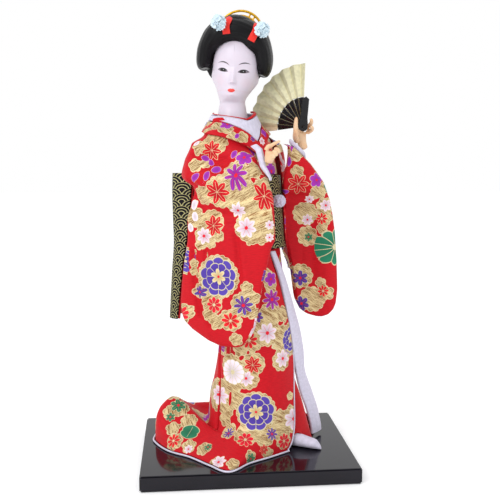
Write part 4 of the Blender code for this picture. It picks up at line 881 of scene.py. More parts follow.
RIGHT_SWAG = ((-19, 173.6), (-9, 162.9), (-2.5, 158.1), (5.7, 156.3), (17, 157.1), (31, 161.4))
RIGHT_FOLDS = (
    (-0.0022, RIGHT_SWAG, 2.6),
    (-0.0024, ((-15, 192.5), (-4, 190.5), (5, 188.4)), 2.2),
    (0.0016, ((-10, 168), (0, 164), (14, 165)), 5.0),
    (-0.0007, ((-14, 150), (-16, 120), (-14, 95)), 4.0),
    (0.0009, ((4, 150), (6, 120), (4, 90)), 6.0),
)


def right_sleeve(across, level):
    """Mid surface and thickness of the right sleeve on a grid."""
    e, n = right_axes()
    s, h = panel_grid(RIGHT_OUTER, RIGHT_INNER, across, level)
    arm = lane(s, h, ((-8, 212), (-15, 198), (-20, 184)), 9)
    fore = lane(s, h, ((-20, 181), (0, 177), (24, 184)), 9)
    half = SLEEVE_PUFF + ARM_PUFF * np.maximum(arm, fore)
    half = folded(half, s, h, RIGHT_FOLDS)
    close = closing(across, level, RIGHT_LOW, RIGHT_TOP, 0.009, 0.006)
    back = -0.0050 * np.clip((h - 0.190) / 0.028, 0, 1)
    mid = np.array([*RIGHT_ORIGIN, DECK]) + s[..., None] * e + back[..., None] * n
    mid = mid + h[..., None] * np.array([0, 0, 1.0])
    half = SLEEVE_EDGE / 2 + half * close
    cover = trunk_reach(mid, n, SLEEVE_ROOM) + SLEEVE_EDGE * close
    cover = np.where(h > 0.150, cover, -0.05)
    front = (half + cover + np.sqrt((half - cover) ** 2 + SLEEVE_EDGE ** 2)) / 2
    mid = mid + ((front - half) / 2)[..., None] * n
    return mid, front + half


# Left sleeve: raised forearm and hanging panel, joined to the upper arm
LEFT_OUTER = (
    (202.6, 29.2), (197.0, 35.1), (192.0, 40.4), (188.3, 44.0), (177.1, 52.1),
    (165.1, 57.0), (155.7, 59.2), (144.3, 60.9), (123.3, 62.5), (104.2, 63.2),
    (95.0, 62.2), (91.0, 60.6), (87.1, 57.2), (85.4, 53.0),
)
LEFT_INNER = (
    (202.6, 28.2), (196.0, 28.3), (188.5, 27.3), (182.8, 25.8), (171.5, 23.7), (160.0, 23.4),
    (150.0, 24.0), (130.0, 27.5), (110.0, 31.0), (97.8, 34.5), (90.2, 38.5), (87.0, 43.5),
    (85.4, 50.0),
)
LEFT_TOP = 0.2024
LEFT_LOW = 0.0854
LEFT_Y = -0.0035
LEFT_BACK = 0.0105


LEFT_FOLDS = (
    (-0.0012, ((29, 168.5), (44, 170.5), (55, 163)), 2.4),
    (-0.0008, ((46, 150), (47, 120), (50, 95)), 3.5),
    (0.0008, ((56, 150), (57, 120), (57, 100)), 4.0),
)


def left_sleeve(across, level):
    """Mid surface and thickness of the left sleeve's forearm and panel."""
    s, h = panel_grid(LEFT_INNER, LEFT_OUTER, across, level)
    fore = lane(s, h, ((33, 196), (43, 178)), 9)
    half = folded(SLEEVE_PUFF * 0.8 + ARM_PUFF * 0.65 * fore, s, h, LEFT_FOLDS)
    close = closing(across, level, LEFT_LOW, LEFT_TOP, 0.008, 0.004)
    hang = np.clip((0.176 - h) / 0.022, 0, 1)
    hang = hang * hang * (3 - 2 * hang)
    side = np.clip((0.058 - s) / 0.018, 0, 1)
    y = LEFT_Y + LEFT_BACK * hang * (0.35 + 0.65 * side)
    return np.stack([s, y, h + DECK], -1), SLEEVE_EDGE + 2 * half * close


UPPER_ARM = np.array([
    (11.0, 12.0, 209.0, 3.0, 3.0), (12.5, 12.0, 207.6, 8.0, 7.0), (13.6, 12.0, 203.0, 11.8, 10.5),
    (14.8, 11.5, 195.0, 13.0, 12.0), (15.8, 10.5, 185.0, 12.9, 11.5),
    (16.5, 9.5, 174.0, 12.4, 10.5),
    (17.5, 9.0, 162.0, 12.2, 9.5), (19.0, 9.0, 148.0, 11.2, 8.0), (21.5, 9.5, 132.0, 9.5, 6.5),
    (24.5, 10.0, 118.0, 7.5, 5.0),
]) * MM


def in_right_plane(s, h, depth):
    e, n = right_axes()
    base = np.array([*RIGHT_ORIGIN, DECK]) + n * depth
    return base + np.outer(s, e) + np.outer(h, (0, 0, 1.0))


FAN_X = 0.0378
FAN_LEVEL = 0.2132
FAN_START = 87.0
FAN_END = 185.0
FAN_TURN = 39.0
GUARD_ANGLE = 84.5


def fan_point(radius, angle, depth):
    a = np.radians(angle)
    turn = math.radians(FAN_TURN)
    x = radius * np.cos(a)
    z = radius * np.sin(a)
    wx = x * math.cos(turn) + depth * math.sin(turn)
    wy = -x * math.sin(turn) + depth * math.cos(turn)
    return np.stack([FAN_X + wx, FAN_Y + wy, DECK + FAN_LEVEL + z], -1)


AXIS_X = 0.0025
AXIS_Y = -0.0010
BACK = np.array([-math.sqrt(0.5), math.sqrt(0.5), 0.0])
LEFTWARD = np.array([math.sqrt(0.5), math.sqrt(0.5), 0.0])
OBI_DEPTH = 0.0180 + OBI_THICK
KNOT_HALF = 0.0116
KNOT_WIDE = 0.0215
KNOT_TALL = 0.0125
KNOT_LEVEL = 0.1700

TAIL_TOP = 0.1830
TAIL_LOW = 0.0862
TAIL_THICK = 0.0014
LINING_THICK = 0.0009
TAIL_PLAN = (
    (-41.5, -1.0), (-46.0, 2.5), (-47.3, 8.5), (-44.8, 16.0), (-38.5, 23.0), (-30.6, 31.0),
    (-23.4, 38.2), (-16.5, 44.5),
)


def tail_points(u, level, inset, reach=0.0):
    """Hanging end of the sash, u from its front edge round to its back edge."""
    plan = curve(np.arange(8.0), np.array(TAIL_PLAN) * MM, u)
    run = unit(np.gradient(plan, axis=0))
    inner = np.stack([run[:, 1], -run[:, 0]], -1)
    plan = plan + inner * inset
    shift = curve(
        np.array([86, 103, 117, 138, 151, 168, 185]) * MM,
        np.array([-2.7, -1.6, -0.6, 1.0, 0.6, 0.2, 0.6]) * MM, level,
    )
    near = curve(
        np.array([86, 103, 134, 160, 185]) * MM, np.array([-1.0, -0.4, 1.2, 5.0, 6.5]) * MM, level,
    )
    front = np.exp(-((u / 0.9) ** 2))
    x = plan[:, 0:1] + shift[None] * np.exp(-((u / 5.0) ** 2))[:, None] + front[:,
                                                                                None] * near[None]
    x = x + front[:, None] * reach
    y = plan[:, 1:2] + 0 * level[None]
    return np.stack([x, y, DECK + level[None] + 0 * x], -1)


# Clearing the trunk

def trunk_offset(p):
    """Level and bearing of points, and how far outside the trunk's surface they lie."""
    level = p[..., 2] - DECK
    row = curve(TRUNK[:, 0] * MM, TRUNK[:, 1:] * MM, np.clip(level, 0, TRUNK_END))
    off = p[..., :2] - row[..., :2]
    angle = np.degrees(np.arctan2(off[..., 0], -off[..., 1]))
    turn = np.radians(angle - TRUNK_TURN)
    edge = 1 / np.sqrt((np.cos(turn) / row[..., 3]) ** 2 + (np.sin(turn) / row[..., 2]) ** 2)
    far = np.linalg.norm(off, axis=-1)
    return row[..., :2], off, angle, edge, far


def keep_outside(p, room):
    """Moves points out from the trunk's axis until they clear its surface by the room."""
    middle, off, _, edge, far = trunk_offset(p)
    want = edge + room
    reach = (far + want + np.sqrt((far - want) ** 2 + (0.4 * MM) ** 2)) / 2
    out = p.copy()
    out[..., :2] = middle + off / np.maximum(far, 1e-6)[..., None] * reach[..., None]
    return out


def tuck_under_collar(p, room):
    """Draws points near the collar in close to the trunk, in the same order.

    The distance beyond the room is pressed to 1.1 mm by 1 less a falling exponential.
    """
    middle, off, angle, edge, far = trunk_offset(p)
    low = np.interp(angle, COLLAR_LOW[:, 0], COLLAR_LOW[:, 1]) * MM
    level = p[..., 2] - DECK
    share = smooth(level, low - 0.0075, low - 0.0012)
    beyond = np.maximum(far - edge - room, 0)
    pressed = edge + 0.0003 + 0.0011 * (1 - np.exp(-beyond / 0.003))
    reach = far + (pressed - far) * share
    out = p.copy()
    out[..., :2] = middle + off / np.maximum(far, 1e-6)[..., None] * reach[..., None]
    return out


# The brocade's pattern

CAMERA_FOCUS = 733.0
CAMERA_REACH = 0.49
PHOTO_MIDDLE = 250.0

STYLES = {
    "maple_red": (7, 0.55, 0.62, (0.60, 0.006, 0.014), 0.3),
    "maple_purple": (8, 0.62, 1.1, (0.30, 0.025, 0.36), 0.5),
    "flower_white": (7, 0.42, 0.60, (0.76, 0.62, 0.70), 0.5),
    "flower_purple": (5, 0.35, 0.7, (0.33, 0.03, 0.40), 0.5),
    "petal_purple": (4, 0.06, 1.0, (0.32, 0.03, 0.40), 0.0),
    "petal_white": (2, 0.25, 0.8, (0.78, 0.66, 0.74), 0.3),
    "aster_blue": (8, 0.75, 0.9, (0.07, 0.045, 0.32), 0.5),
    "daisy_red": (8, 0.40, 0.8, (0.68, 0.012, 0.03), 0.7),
    "daisy_blue": (6, 0.50, 0.8, (0.09, 0.045, 0.30), 0.5),
    "flower_red": (8, 0.55, 0.8, (0.70, 0.010, 0.018), 0.7),
    "flower_green": (6, 0.50, 0.8, (0.02, 0.20, 0.095), 0.5),
    "wheel_green": (12, 0.22, 0.8, (0.018, 0.19, 0.10), 0.7),
    "wheel_blue_a": (9, 0.14, 0.7, (0.085, 0.05, 0.34), 0.7),
    "wheel_blue_b": (8, 0.14, 0.7, (0.075, 0.04, 0.31), 0.7),
    "wheel_core": (6, 0.60, 0.8, (0.66, 0.54, 0.28), 0.5),
    "fan_white": (13, 0.10, 0.7, (0.80, 0.70, 0.76), 0.7),
    "leaf_green": (2, 0.42, 0.8, (0.022, 0.19, 0.095), 0.3),
}

# Photo place of each motif's middle, radius, all in pixels, its style and its turn
MOTIFS = (
    (212.0, 150.3, 10.5, "maple_red", 0), (217.1, 192.1, 13.5, "maple_red", 12),
    (264.0, 196.2, 12.0, "maple_red", -10), (213.6, 225.8, 11.0, "maple_red", 20),
    (252.7, 365.0, 9.5, "maple_red", 8), (298.3, 184.0, 11.0, "maple_red", 15),
    (236.0, 175.8, 12.5, "maple_purple", 0), (272.0, 299.5, 10.5, "maple_purple", 6),
    (244.2, 157.4, 9.0, "flower_purple", 10), (316.6, 180.0, 7.5, "flower_purple", 0),
    (195.0, 177.0, 5.2, "petal_purple", 40), (206.4, 175.8, 5.2, "petal_purple", 70),
    (216.6, 169.7, 5.6, "petal_purple", 0), (234.0, 154.4, 4.6, "petal_purple", 60),
    (205.4, 158.5, 4.4, "petal_purple", -20), (211.5, 162.5, 3.8, "petal_purple", -50),
    (260.6, 131.5, 4.6, "petal_purple", 60), (237.0, 136.0, 3.4, "petal_purple", 60),
    (289.0, 161.5, 5.0, "petal_purple", 80), (285.0, 192.0, 4.0, "petal_purple", 20),
    (271.0, 279.0, 7.5, "flower_purple", 25), (239.5, 127.0, 3.2, "daisy_blue", 0),
    (252.9, 139.0, 3.2, "daisy_blue", 0), (262.0, 141.0, 4.6, "flower_white", 0),
    (238.0, 210.5, 8.5, "flower_white", 0), (203.9, 236.0, 9.0, "flower_white", 15),
    (246.2, 227.9, 11.0, "flower_white", 0), (267.4, 333.0, 11.0, "flower_white", 30),
    (282.8, 358.4, 9.5, "flower_white", 0), (246.0, 378.4, 8.5, "flower_white", 25),
    (307.4, 219.7, 6.0, "flower_white", 0), (325.8, 205.4, 6.5, "flower_white", 20),
    (309.5, 199.3, 5.0, "flower_white", 0), (269.7, 225.0, 5.0, "flower_white", 10),
    (269.5, 237.5, 4.6, "flower_white", 40), (218.5, 462.0, 8.5, "flower_white", 10),
    (194.0, 205.0, 6.5, "petal_white", 70), (195.0, 216.6, 6.0, "petal_white", 100),
    (190.5, 227.5, 5.5, "petal_white", 110), (196.5, 143.5, 4.5, "petal_white", 30),
    (232.5, 372.0, 13.0, "fan_white", 0), (217.5, 356.0, 9.0, "fan_white", 10),
    (199.8, 292.0, 6.5, "daisy_blue", 0), (213.9, 304.8, 8.3, "daisy_red", 0),
    (243.3, 305.5, 10.3, "aster_blue", 10), (230.6, 320.9, 8.7, "flower_red", 0),
    (257.5, 317.0, 6.0, "daisy_blue", 20), (249.3, 340.5, 8.5, "flower_red", 15),
    (228.6, 433.3, 6.0, "aster_blue", 0), (245.3, 439.5, 8.5, "daisy_red", 10),
    (272.0, 434.0, 6.4, "aster_blue", 0), (284.0, 441.0, 8.0, "daisy_red", 0),
    (178.4, 405.2, 8.0, "flower_green", 10), (170.5, 417.0, 5.0, "flower_green", 0),
    (190.0, 432.0, 14.0, "leaf_green", -24), (173.5, 440.7, 7.5, "flower_red", 0),
    (250.7, 459.0, 6.0, "flower_green", 20), (264.0, 449.5, 5.5, "maple_red", 0),
    (208.0, 447.0, 4.6, "flower_green", 0), (188.5, 449.0, 5.0, "flower_white", 0),
    (335.0, 247.0, 18.0, "wheel_green", 0), (321.7, 218.7, 6.0, "flower_red", 0),
    (300.2, 278.0, 8.0, "daisy_blue", 0), (301.5, 303.5, 8.0, "daisy_blue", 15),
    (308.5, 237.0, 4.5, "flower_green", 0), (323.0, 291.0, 6.0, "flower_red", 10),
)
ROUNDELS = ((218.5, 276.7, 20.0), (256.0, 412.0, 18.6))

# Photo place and radius, in pixels, of the discs that make up the gold clouds
CLOUDS = (
    (215.6, 141.0, 13.0), (234.0, 139.0, 8.0), (243.0, 137.0, 6.5), (199.0, 146.0, 7.0),
    (195.0, 165.6, 7.0), (205.4, 163.6, 5.5), (251.3, 149.0, 5.5), (245.0, 154.4, 7.5),
    (225.0, 128.0, 9.0), (214.0, 127.0, 8.0), (236.0, 176.0, 16.0), (254.4, 169.7, 9.0),
    (220.7, 192.0, 17.0), (242.0, 197.0, 19.0), (202.3, 196.0, 11.0), (257.0, 205.0, 11.0),
    (262.0, 190.0, 11.0), (195.0, 216.6, 11.0), (211.5, 222.8, 13.5), (205.4, 236.0, 11.5),
    (218.7, 236.0, 6.5), (200.3, 244.5, 6.0), (210.5, 243.5, 5.5), (246.2, 226.8, 13.0),
    (260.5, 218.7, 13.0), (260.5, 235.0, 10.5), (250.3, 239.5, 6.5), (269.0, 228.0, 8.0),
    (218.5, 276.7, 22.5), (246.7, 288.0, 7.0), (253.5, 298.0, 7.0), (243.0, 304.8, 13.0),
    (253.0, 313.0, 7.0), (230.5, 320.5, 11.5), (215.9, 322.0, 8.5), (209.2, 314.0, 7.0),
    (211.9, 303.0, 11.5), (200.0, 291.0, 8.5), (236.0, 339.6, 7.4), (194.0, 263.0, 4.5),
    (194.5, 271.0, 4.5), (266.6, 275.8, 8.0), (271.0, 286.0, 8.0), (270.8, 314.2, 13.0),
    (266.7, 332.0, 15.0), (283.5, 314.0, 9.0), (282.8, 335.0, 11.0), (281.5, 360.0, 11.5),
    (253.4, 364.0, 12.0), (247.5, 378.4, 12.0), (232.0, 381.0, 12.0), (231.0, 366.0, 13.0),
    (240.0, 349.0, 8.0), (217.0, 356.0, 10.0), (252.0, 343.0, 10.0), (213.0, 375.0, 5.0),
    (208.0, 395.0, 5.0), (256.0, 412.0, 20.6), (225.0, 418.6, 8.0), (229.0, 411.0, 5.5),
    (229.3, 432.0, 9.0), (245.3, 435.0, 12.0), (264.0, 434.7, 12.0), (280.0, 428.0, 11.0),
    (280.0, 414.6, 6.0), (283.5, 438.7, 10.5), (290.0, 395.8, 4.5), (290.0, 408.0, 4.0),
    (170.4, 412.0, 8.0), (180.0, 408.0, 10.0), (198.5, 414.6, 10.0), (189.0, 421.0, 9.0),
    (173.0, 428.0, 8.0), (174.4, 441.4, 9.5), (189.0, 446.0, 8.0), (204.0, 448.5, 8.5),
    (233.0, 463.5, 7.0), (250.7, 457.0, 7.0), (268.0, 454.0, 7.0), (216.0, 463.0, 8.0),
    (295.2, 153.4, 8.5), (297.2, 171.7, 7.0), (318.7, 192.0, 9.5), (320.7, 174.5, 8.0),
    (324.8, 206.0, 9.0), (324.5, 217.0, 8.5), (305.4, 212.5, 12.5), (307.4, 236.0, 10.5),
    (322.0, 228.0, 6.0), (300.3, 275.8, 12.5), (320.7, 283.0, 6.0), (312.0, 299.0, 13.0),
    (326.0, 293.0, 8.0), (258.0, 123.0, 5.0), (261.0, 134.0, 6.0),
)
LOBE = 0.0023
MOTIF_ROOM = 0.0046
MOTIF_EDGE = 0.0021
MOTIF_FOLD = -0.25
LEAF_WIDTH = 0.62


def camera_frame(studio):
    """The camera's place and its ways right, up and back."""
    az = studio.azimuth
    el = studio.elevation
    back = np.array([math.sin(az) * math.cos(el), -math.cos(az) * math.cos(el), math.sin(el)])
    right = unit(np.cross([0.0, 0.0, 1.0], back))
    return np.array(studio.place), right, np.cross(back, right), back


def photo_way(camera, u, v):
    """The camera's place and the direction of a pixel of the photo."""
    place, right, up, back = camera
    way = right * (u - PHOTO_MIDDLE) + up * (PHOTO_MIDDLE - v) - back * CAMERA_FOCUS
    return Vector(place), Vector(unit(way))


def mesh_tree(mesh):
    faces = [tuple(p.vertices) for p in mesh.polygons]
    return BVHTree.FromPolygons([v.co for v in mesh.vertices], faces)


class Garment:
    """A brocade piece with its points, their normals and what is woven into them."""

    def __init__(self, obj, patterned):
        mesh = obj.data
        count = len(mesh.vertices)
        self.obj = obj
        self.points = np.zeros(count * 3)
        self.normals = np.zeros(count * 3)
        mesh.vertices.foreach_get("co", self.points)
        mesh.vertex_normals.foreach_get("vector", self.normals)
        self.points = self.points.reshape(-1, 3)
        self.normals = self.normals.reshape(-1, 3)
        self.patterned = patterned
        self.place = np.zeros((4, count, 3))
        self.form = np.zeros((4, count, 3))
        self.ink = np.zeros((4, count, 4))
        self.cloud = np.full(count, 6.0)
        self.discs = []
        self.tree = mesh_tree(mesh)


def seen(garments, camera, u, v):
    """The nearest garment that the camera sees at a place of the photo, and the spot."""
    place, _, _, back = camera
    start, way = photo_way(camera, u, v)
    best = None
    for garment in garments:
        hit, normal, _, far = garment.tree.ray_cast(start, way)
        if hit is not None and (best is None or far < best[0]):
            best = (far, garment, np.array(hit), np.array(normal))
    if best is None:
        return None
    far, garment, spot, normal = best
    if normal @ np.array(way) > 0:
        normal = -normal
    depth = -(spot - place) @ back
    return garment, spot, normal, depth / CAMERA_FOCUS


def stamp(garment, spot, normal, right, radius, style, turn, layer=None):
    """Weaves one motif in the lowest layer that has room for it."""
    for level in range(4) if layer is None else (layer,):
        near = [
            d for d in garment.discs
            if d[2] == level and np.linalg.norm(d[0] - spot) < d[1] + radius + MOTIF_ROOM
        ]
        if not near or layer is not None:
            break
    else:
        return
    petals, depth, sharp, ink, kind = STYLES[style]
    across = unit(right - normal * (right @ normal))
    along = np.cross(normal, across)
    if along[2] < 0:
        along = -along
    off = garment.points - spot
    x = off @ across / radius
    y = off @ along / radius
    a = math.radians(turn)
    x, y = x * math.cos(a) + y * math.sin(a), y * math.cos(a) - x * math.sin(a)
    if style in ("leaf_green", "petal_purple", "petal_white"):
        y = y / LEAF_WIDTH
    inside = np.linalg.norm(off, axis=-1) < radius + MOTIF_EDGE
    inside &= garment.normals @ normal > MOTIF_FOLD
    inside &= garment.patterned
    garment.place[level, inside] = np.stack([x, y, 1 + 0 * x], -1)[inside]
    garment.form[level, inside] = (petals, depth, sharp)
    garment.ink[level, inside] = (*ink, kind)
    garment.discs.append((spot, radius, level))


def stamp_wheel(garment, spot, normal, right, radius, inner, core):
    """Weaves a wheel flower in three layers, each a share of the radius."""
    layers = ((1.0, "wheel_blue_a", 0), (inner, "wheel_blue_b", 22), (core, "wheel_core", 10))
    for layer, (share, style, turn) in enumerate(layers):
        stamp(garment, spot, normal, right, radius * share, style, turn, layer)


def puff(garment, spot, normal, radius):
    """Adds one scalloped gold cloud: a disc with a ring of lobes round it."""
    gap = np.linalg.norm(garment.points - spot, axis=-1)
    same = (garment.normals @ normal > 0.05) & garment.patterned
    lobe = min(LOBE, radius * 0.45)
    inner = gap - (radius - lobe * 0.9)
    across = unit(np.cross(normal, (0.2, 0.3, 0.93)))
    along = np.cross(normal, across)
    count = max(5, int(round(2 * math.pi * (radius - lobe) / (lobe * 1.55))))
    for k in range(count):
        a = 2 * math.pi * k / count
        middle = spot + (across * math.cos(a) + along * math.sin(a)) * (radius - lobe)
        off = garment.points - middle
        off = off - np.outer(off @ normal, normal)
        inner = np.where(gap < radius * 2, np.minimum(inner, np.linalg.norm(off, axis=-1) - lobe),
                         inner)
    garment.cloud[same] = np.minimum(garment.cloud[same], inner[same] / MM)


def spots_seen(garments, camera, places):
    """What the camera sees at each place: garment, spot, normal, radius, and its row's rest."""
    for u, v, radius, *rest in places:
        found = seen(garments, camera, u, v)
        if found:
            garment, spot, normal, scale = found
            yield garment, spot, normal, radius * scale, rest


def weave_photo_side(garments, camera):
    """Clouds, roundels and motifs on the side that the photo shows."""
    right = camera[1]
    for garment, spot, normal, radius, _ in spots_seen(garments, camera, CLOUDS):
        puff(garment, spot, normal, radius)
    for garment, spot, normal, radius, _ in spots_seen(garments, camera, ROUNDELS):
        stamp_wheel(garment, spot, normal, right, radius, 0.70, 0.40)
    for garment, spot, normal, radius, drawn in spots_seen(garments, camera, MOTIFS):
        stamp(garment, spot, normal, right, radius, *drawn)


def weave_hidden_sides(garments, camera, seed):
    """Seeded flowers and clouds wherever the photo's side left the cloth bare."""
    rng = np.random.default_rng(seed)
    place, right = camera[:2]
    kinds = ("maple_red", "flower_white", "aster_blue", "daisy_red", "maple_purple",
             "wheel_green", "flower_red", "daisy_blue", "flower_purple")
    for garment in garments:
        view = unit(place - garment.points)
        covered = garment.obj.name == "kimono_bodice_cloth"
        hidden = (((garment.normals * view).sum(-1) < 0.05) | covered) & garment.patterned
        spots = rng.permutation(np.flatnonzero(hidden))[:900]
        chosen = []
        for i in spots:
            p = garment.points[i]
            radius = rng.uniform(0.0042, 0.0088)
            if any(np.linalg.norm(p - q) < r + radius + 0.0020 for q, r in chosen):
                continue
            if any(np.linalg.norm(p - d[0]) < d[1] + radius + 0.0012 for d in garment.discs):
                continue
            chosen.append((p, radius))
        for p, radius in chosen:
            i = np.argmin(np.linalg.norm(garment.points - p, axis=-1))
            normal = garment.normals[i]
            side = np.cross((0, 0, 1.0), normal)
            side = unit(side) if np.linalg.norm(side) > 0.1 else right
            style = kinds[rng.integers(len(kinds))]
            if radius > 0.0080:
                stamp_wheel(garment, p, normal, side, radius, 0.68, 0.38)
            else:
                stamp(garment, p, normal, side, radius, style, rng.uniform(0, 60))
            if rng.random() < 0.72:
                puff(garment, p, normal, radius * rng.uniform(1.15, 1.7))


def store_pattern(garment):
    """Writes the pattern's arrays as attributes of the mesh."""
    mesh = garment.obj.data
    for level, name in enumerate("abcd"):
        keep(mesh, f"{name}_place", "FLOAT_VECTOR", garment.place[level])
        keep(mesh, f"{name}_form", "FLOAT_VECTOR", garment.form[level])
        keep(mesh, f"{name}_ink", "FLOAT_COLOR", garment.ink[level])
    keep(mesh, "cloud", "FLOAT", garment.cloud)
    keep(mesh, "patterned", "FLOAT", garment.patterned.astype(float))


def motif_group():
    """Node group that draws one motif from its place, form and ink."""
    tree = bpy.data.node_groups.new("motif", "ShaderNodeTree")
    face = tree.interface
    for name, kind in (("Place", "NodeSocketVector"), ("Form", "NodeSocketVector"),
                       ("Ink", "NodeSocketColor"), ("Kind", "NodeSocketFloat"),
                       ("Under", "NodeSocketColor"), ("Gold", "NodeSocketColor"),
                       ("Metal", "NodeSocketFloat")):
        face.new_socket(name, in_out="INPUT", socket_type=kind)
    face.new_socket("Colour", in_out="OUTPUT", socket_type="NodeSocketColor")
    face.new_socket("Metal", in_out="OUTPUT", socket_type="NodeSocketFloat")
    enter = tree.nodes.new("NodeGroupInput")
    leave = tree.nodes.new("NodeGroupOutput")
    place = tree.nodes.new("ShaderNodeSeparateXYZ")
    form = tree.nodes.new("ShaderNodeSeparateXYZ")
    wire(enter.outputs["Place"], place, 0)
    wire(enter.outputs["Form"], form, 0)
    x, y, cover = place.outputs
    petals, depth, sharp = form.outputs
    far = radius_of(x, y)
    angle = calc("ARCTAN2", x, y)
    half = mul(mul(angle, petals), 0.5)
    tip = calc("ABSOLUTE", calc("COSINE", half))
    valley = calc("ABSOLUTE", calc("SINE", half))
    straight = sub(1.0, div(calc("ARCCOSINE", tip), math.pi / 2))
    pointed = most(calc("COMPARE", petals, 7.0, 0.5), calc("COMPARE", petals, 2.0, 0.5))
    outline = add(mul(pointed, straight),
                   mul(sub(1.0, pointed), tip))
    petal = calc("POWER", outline, sharp)
    rim = sub(1.0, mul(depth, sub(1.0, petal)))
    here = calc("GREATER_THAN", cover, 0.99)
    edge = sub(rim, far)
    inside = mul(here, ramp(edge, 0.0, 0.03))
    line = ramp(calc("ABSOLUTE", edge), 0.018, 0.046, 1.0, 0.0)
    line = mul(here, line)
    spread = div(mul(far, 2.0), most(petals, 1.0))
    mid_line = ramp(mul(spread, valley), 0.006, 0.018, 1.0, 0.0)
    short = calc("LESS_THAN", far, mul(rim, 0.78))
    vein = mul(mid_line, short)
    gap_line = ramp(mul(spread, tip), 0.008, 0.024, 1.0, 0.0)
    kind = enter.outputs["Kind"]
    gold_vein = mul(calc("COMPARE", kind, 0.3, 0.09), vein)
    red_vein = mul(calc("COMPARE", kind, 0.5, 0.09), vein)
    parted = calc("COMPARE", kind, 0.7, 0.09)
    gap_gold = mul(parted, gap_line)
    core = mul(calc("LESS_THAN", far, 0.17), here)
    red_core = mul(core, calc("COMPARE", kind, 0.5, 0.09))
    gold_core = mul(core, parted)
    shade = ramp(far, 0.1, 1.0, 0.74, 1.10)
    deep = tree.nodes.new("ShaderNodeMix")
    deep.data_type = "RGBA"
    deep.blend_type = "MULTIPLY"
    deep.inputs[0].default_value = 1.0
    wire(enter.outputs["Ink"], deep, 6)
    wire(shade, deep, 7)
    colour = blend(inside, enter.outputs["Under"], deep.outputs[2])
    red = blend(mul(most(red_vein, red_core), inside),
                colour, (0.70, 0.012, 0.03))
    lines = most(most(gold_vein, gap_gold), gold_core)
    lines = most(mul(lines, inside), line)
    out = blend(lines, red, enter.outputs["Gold"])
    plain = mul(enter.outputs["Metal"], sub(1.0, inside))
    metal = most(plain, lines)
    wire(out, leave, "Colour")
    wire(metal, leave, "Metal")
    return tree


def brocade_material(look):
    """Red silk with gold clouds and four layers of woven motifs."""
    mat, tree, shader = new_material("brocade_silk")
    streak = noise(coordinates(tree, (0.22, 2.4, 1.0), math.radians(33)), 1.0, 3.0, 0.6)
    speck = noise(coordinates(tree, (2.3, 2.3, 1.0)), 1.0, 2.0, 0.7)
    fine = noise(coordinates(tree, (0.30, 3.2, 1.0), math.radians(4)), 1.0, 2.0, 0.5)
    cloud = read(tree, "cloud")
    inside = ramp(cloud, 0.0, 0.12, 1.0, 0.0)
    broad = noise(coordinates(tree, (0.10, 0.42, 1.0), math.radians(33)), 1.0, 2.0, 0.5)
    mixed = add(mul(streak, 0.48), mul(speck, 0.30))
    mixed = add(mixed, mul(broad, 0.22))
    gold = blend(ramp(mixed, 0.43, 0.54), look.gold_dark, look.gold_light)
    darker = dim(look.ground, 0.80)
    silk = blend(ramp(fine, 0.35, 0.65), darker, look.ground)
    colour = blend(inside, silk, gold)
    line = ramp(calc("ABSOLUTE", add(cloud, 0.10)), 0.12, 0.24, 1.0, 0.0)
    pale = blend(ramp(speck, 0.35, 0.65), dim(look.outline, 0.6), look.outline)
    colour = blend(line, colour, pale)
    metal = most(inside, line)
    drawing = motif_group()
    for name in "abcd":
        node = tree.nodes.new("ShaderNodeGroup")
        node.node_tree = drawing
        wire(read(tree, f"{name}_place", "Vector"), node, "Place")
        wire(read(tree, f"{name}_form", "Vector"), node, "Form")
        wire(read(tree, f"{name}_ink", "Color"), node, "Ink")
        wire(read(tree, f"{name}_ink", "Alpha"), node, "Kind")
        wire(colour, node, "Under")
        wire(pale, node, "Gold")
        wire(metal, node, "Metal")
        colour = node.outputs["Colour"]
        metal = node.outputs["Metal"]
    patterned = read(tree, "patterned")
    colour = blend(calc("GREATER_THAN", patterned, 0.5), silk, colour)
    metal = mul(metal, patterned)
    wire(colour, shader, "Base Color")
    set_finish(shader, 0.5, sheen=0.02, specular=0.16)
    wire(mul(metal, 0.35), shader, "Metallic")
    wire(ramp(metal, 0.0, 1.0, 0.58, 0.46), shader, "Roughness")
    height = add(threads(tree, look.thread / MM), mul(metal, 1.1))
    relief(shader, height, 0.35, WEAVE_DEPTH)
    return mat


# Clothing

def outer_first(p, round_u=False):
    """Turns a grid so that its normals point away from the axis of the figure."""
    n = grid_normals(p, round_u)
    out = p - p.mean((0, 1))
    out[..., 2] = 0
    return p if (n * out).sum() > 0 else p[::-1]


def flat_size(p):
    """Mean width and length of a cloth from the row lengths of its grid."""
    across = np.linalg.norm(np.diff(p, axis=0), axis=-1).sum(0).mean()
    down = np.linalg.norm(np.diff(p, axis=1), axis=-1).sum(1).mean()
    return float(across), float(down)


def cloth_piece(name, p, thick, material, node, slot, round_u=False, floor=None):
    """Closed sheet from a grid, with its map in millimetres."""
    points, faces = shell(p, thick, round_u=round_u, floor=floor)
    obj = make_mesh(name, points, faces, material, slot=slot, replaces=(node,))
    cloth_map(obj, p)
    width, length = flat_size(np.concatenate([p, p[:1]]) if round_u else p)
    if length < NARROWEST * 0.75:
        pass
    else:
        max(length, NARROWEST)
    return obj


def skirt_grid(columns, rows):
    """Skirt surface with its pleats sunk in: net curves along both ways."""
    u = np.linspace(0, COLUMNS - 1, columns)
    t = np.linspace(0, 1, rows)
    p = skirt_points(u, t)
    uu, tt = np.meshgrid(u, t, indexing="ij")
    p = outer_first(p)
    if np.linalg.norm(p[0, 0] - skirt_points(u[:2], t[:2])[0, 0]) > 1e-9:
        uu = uu[::-1]
    drape = 0.22 * np.sin(2.1 * uu + 3.0 * tt) * np.sin(9 * tt + uu) * smooth(tt, 0.1, 0.4)
    sink = pleats(uu, tt) + drape * (1 - smooth(tt, 0.9, 1.0))
    return p - grid_normals(p) * (sink * MM)[..., None]


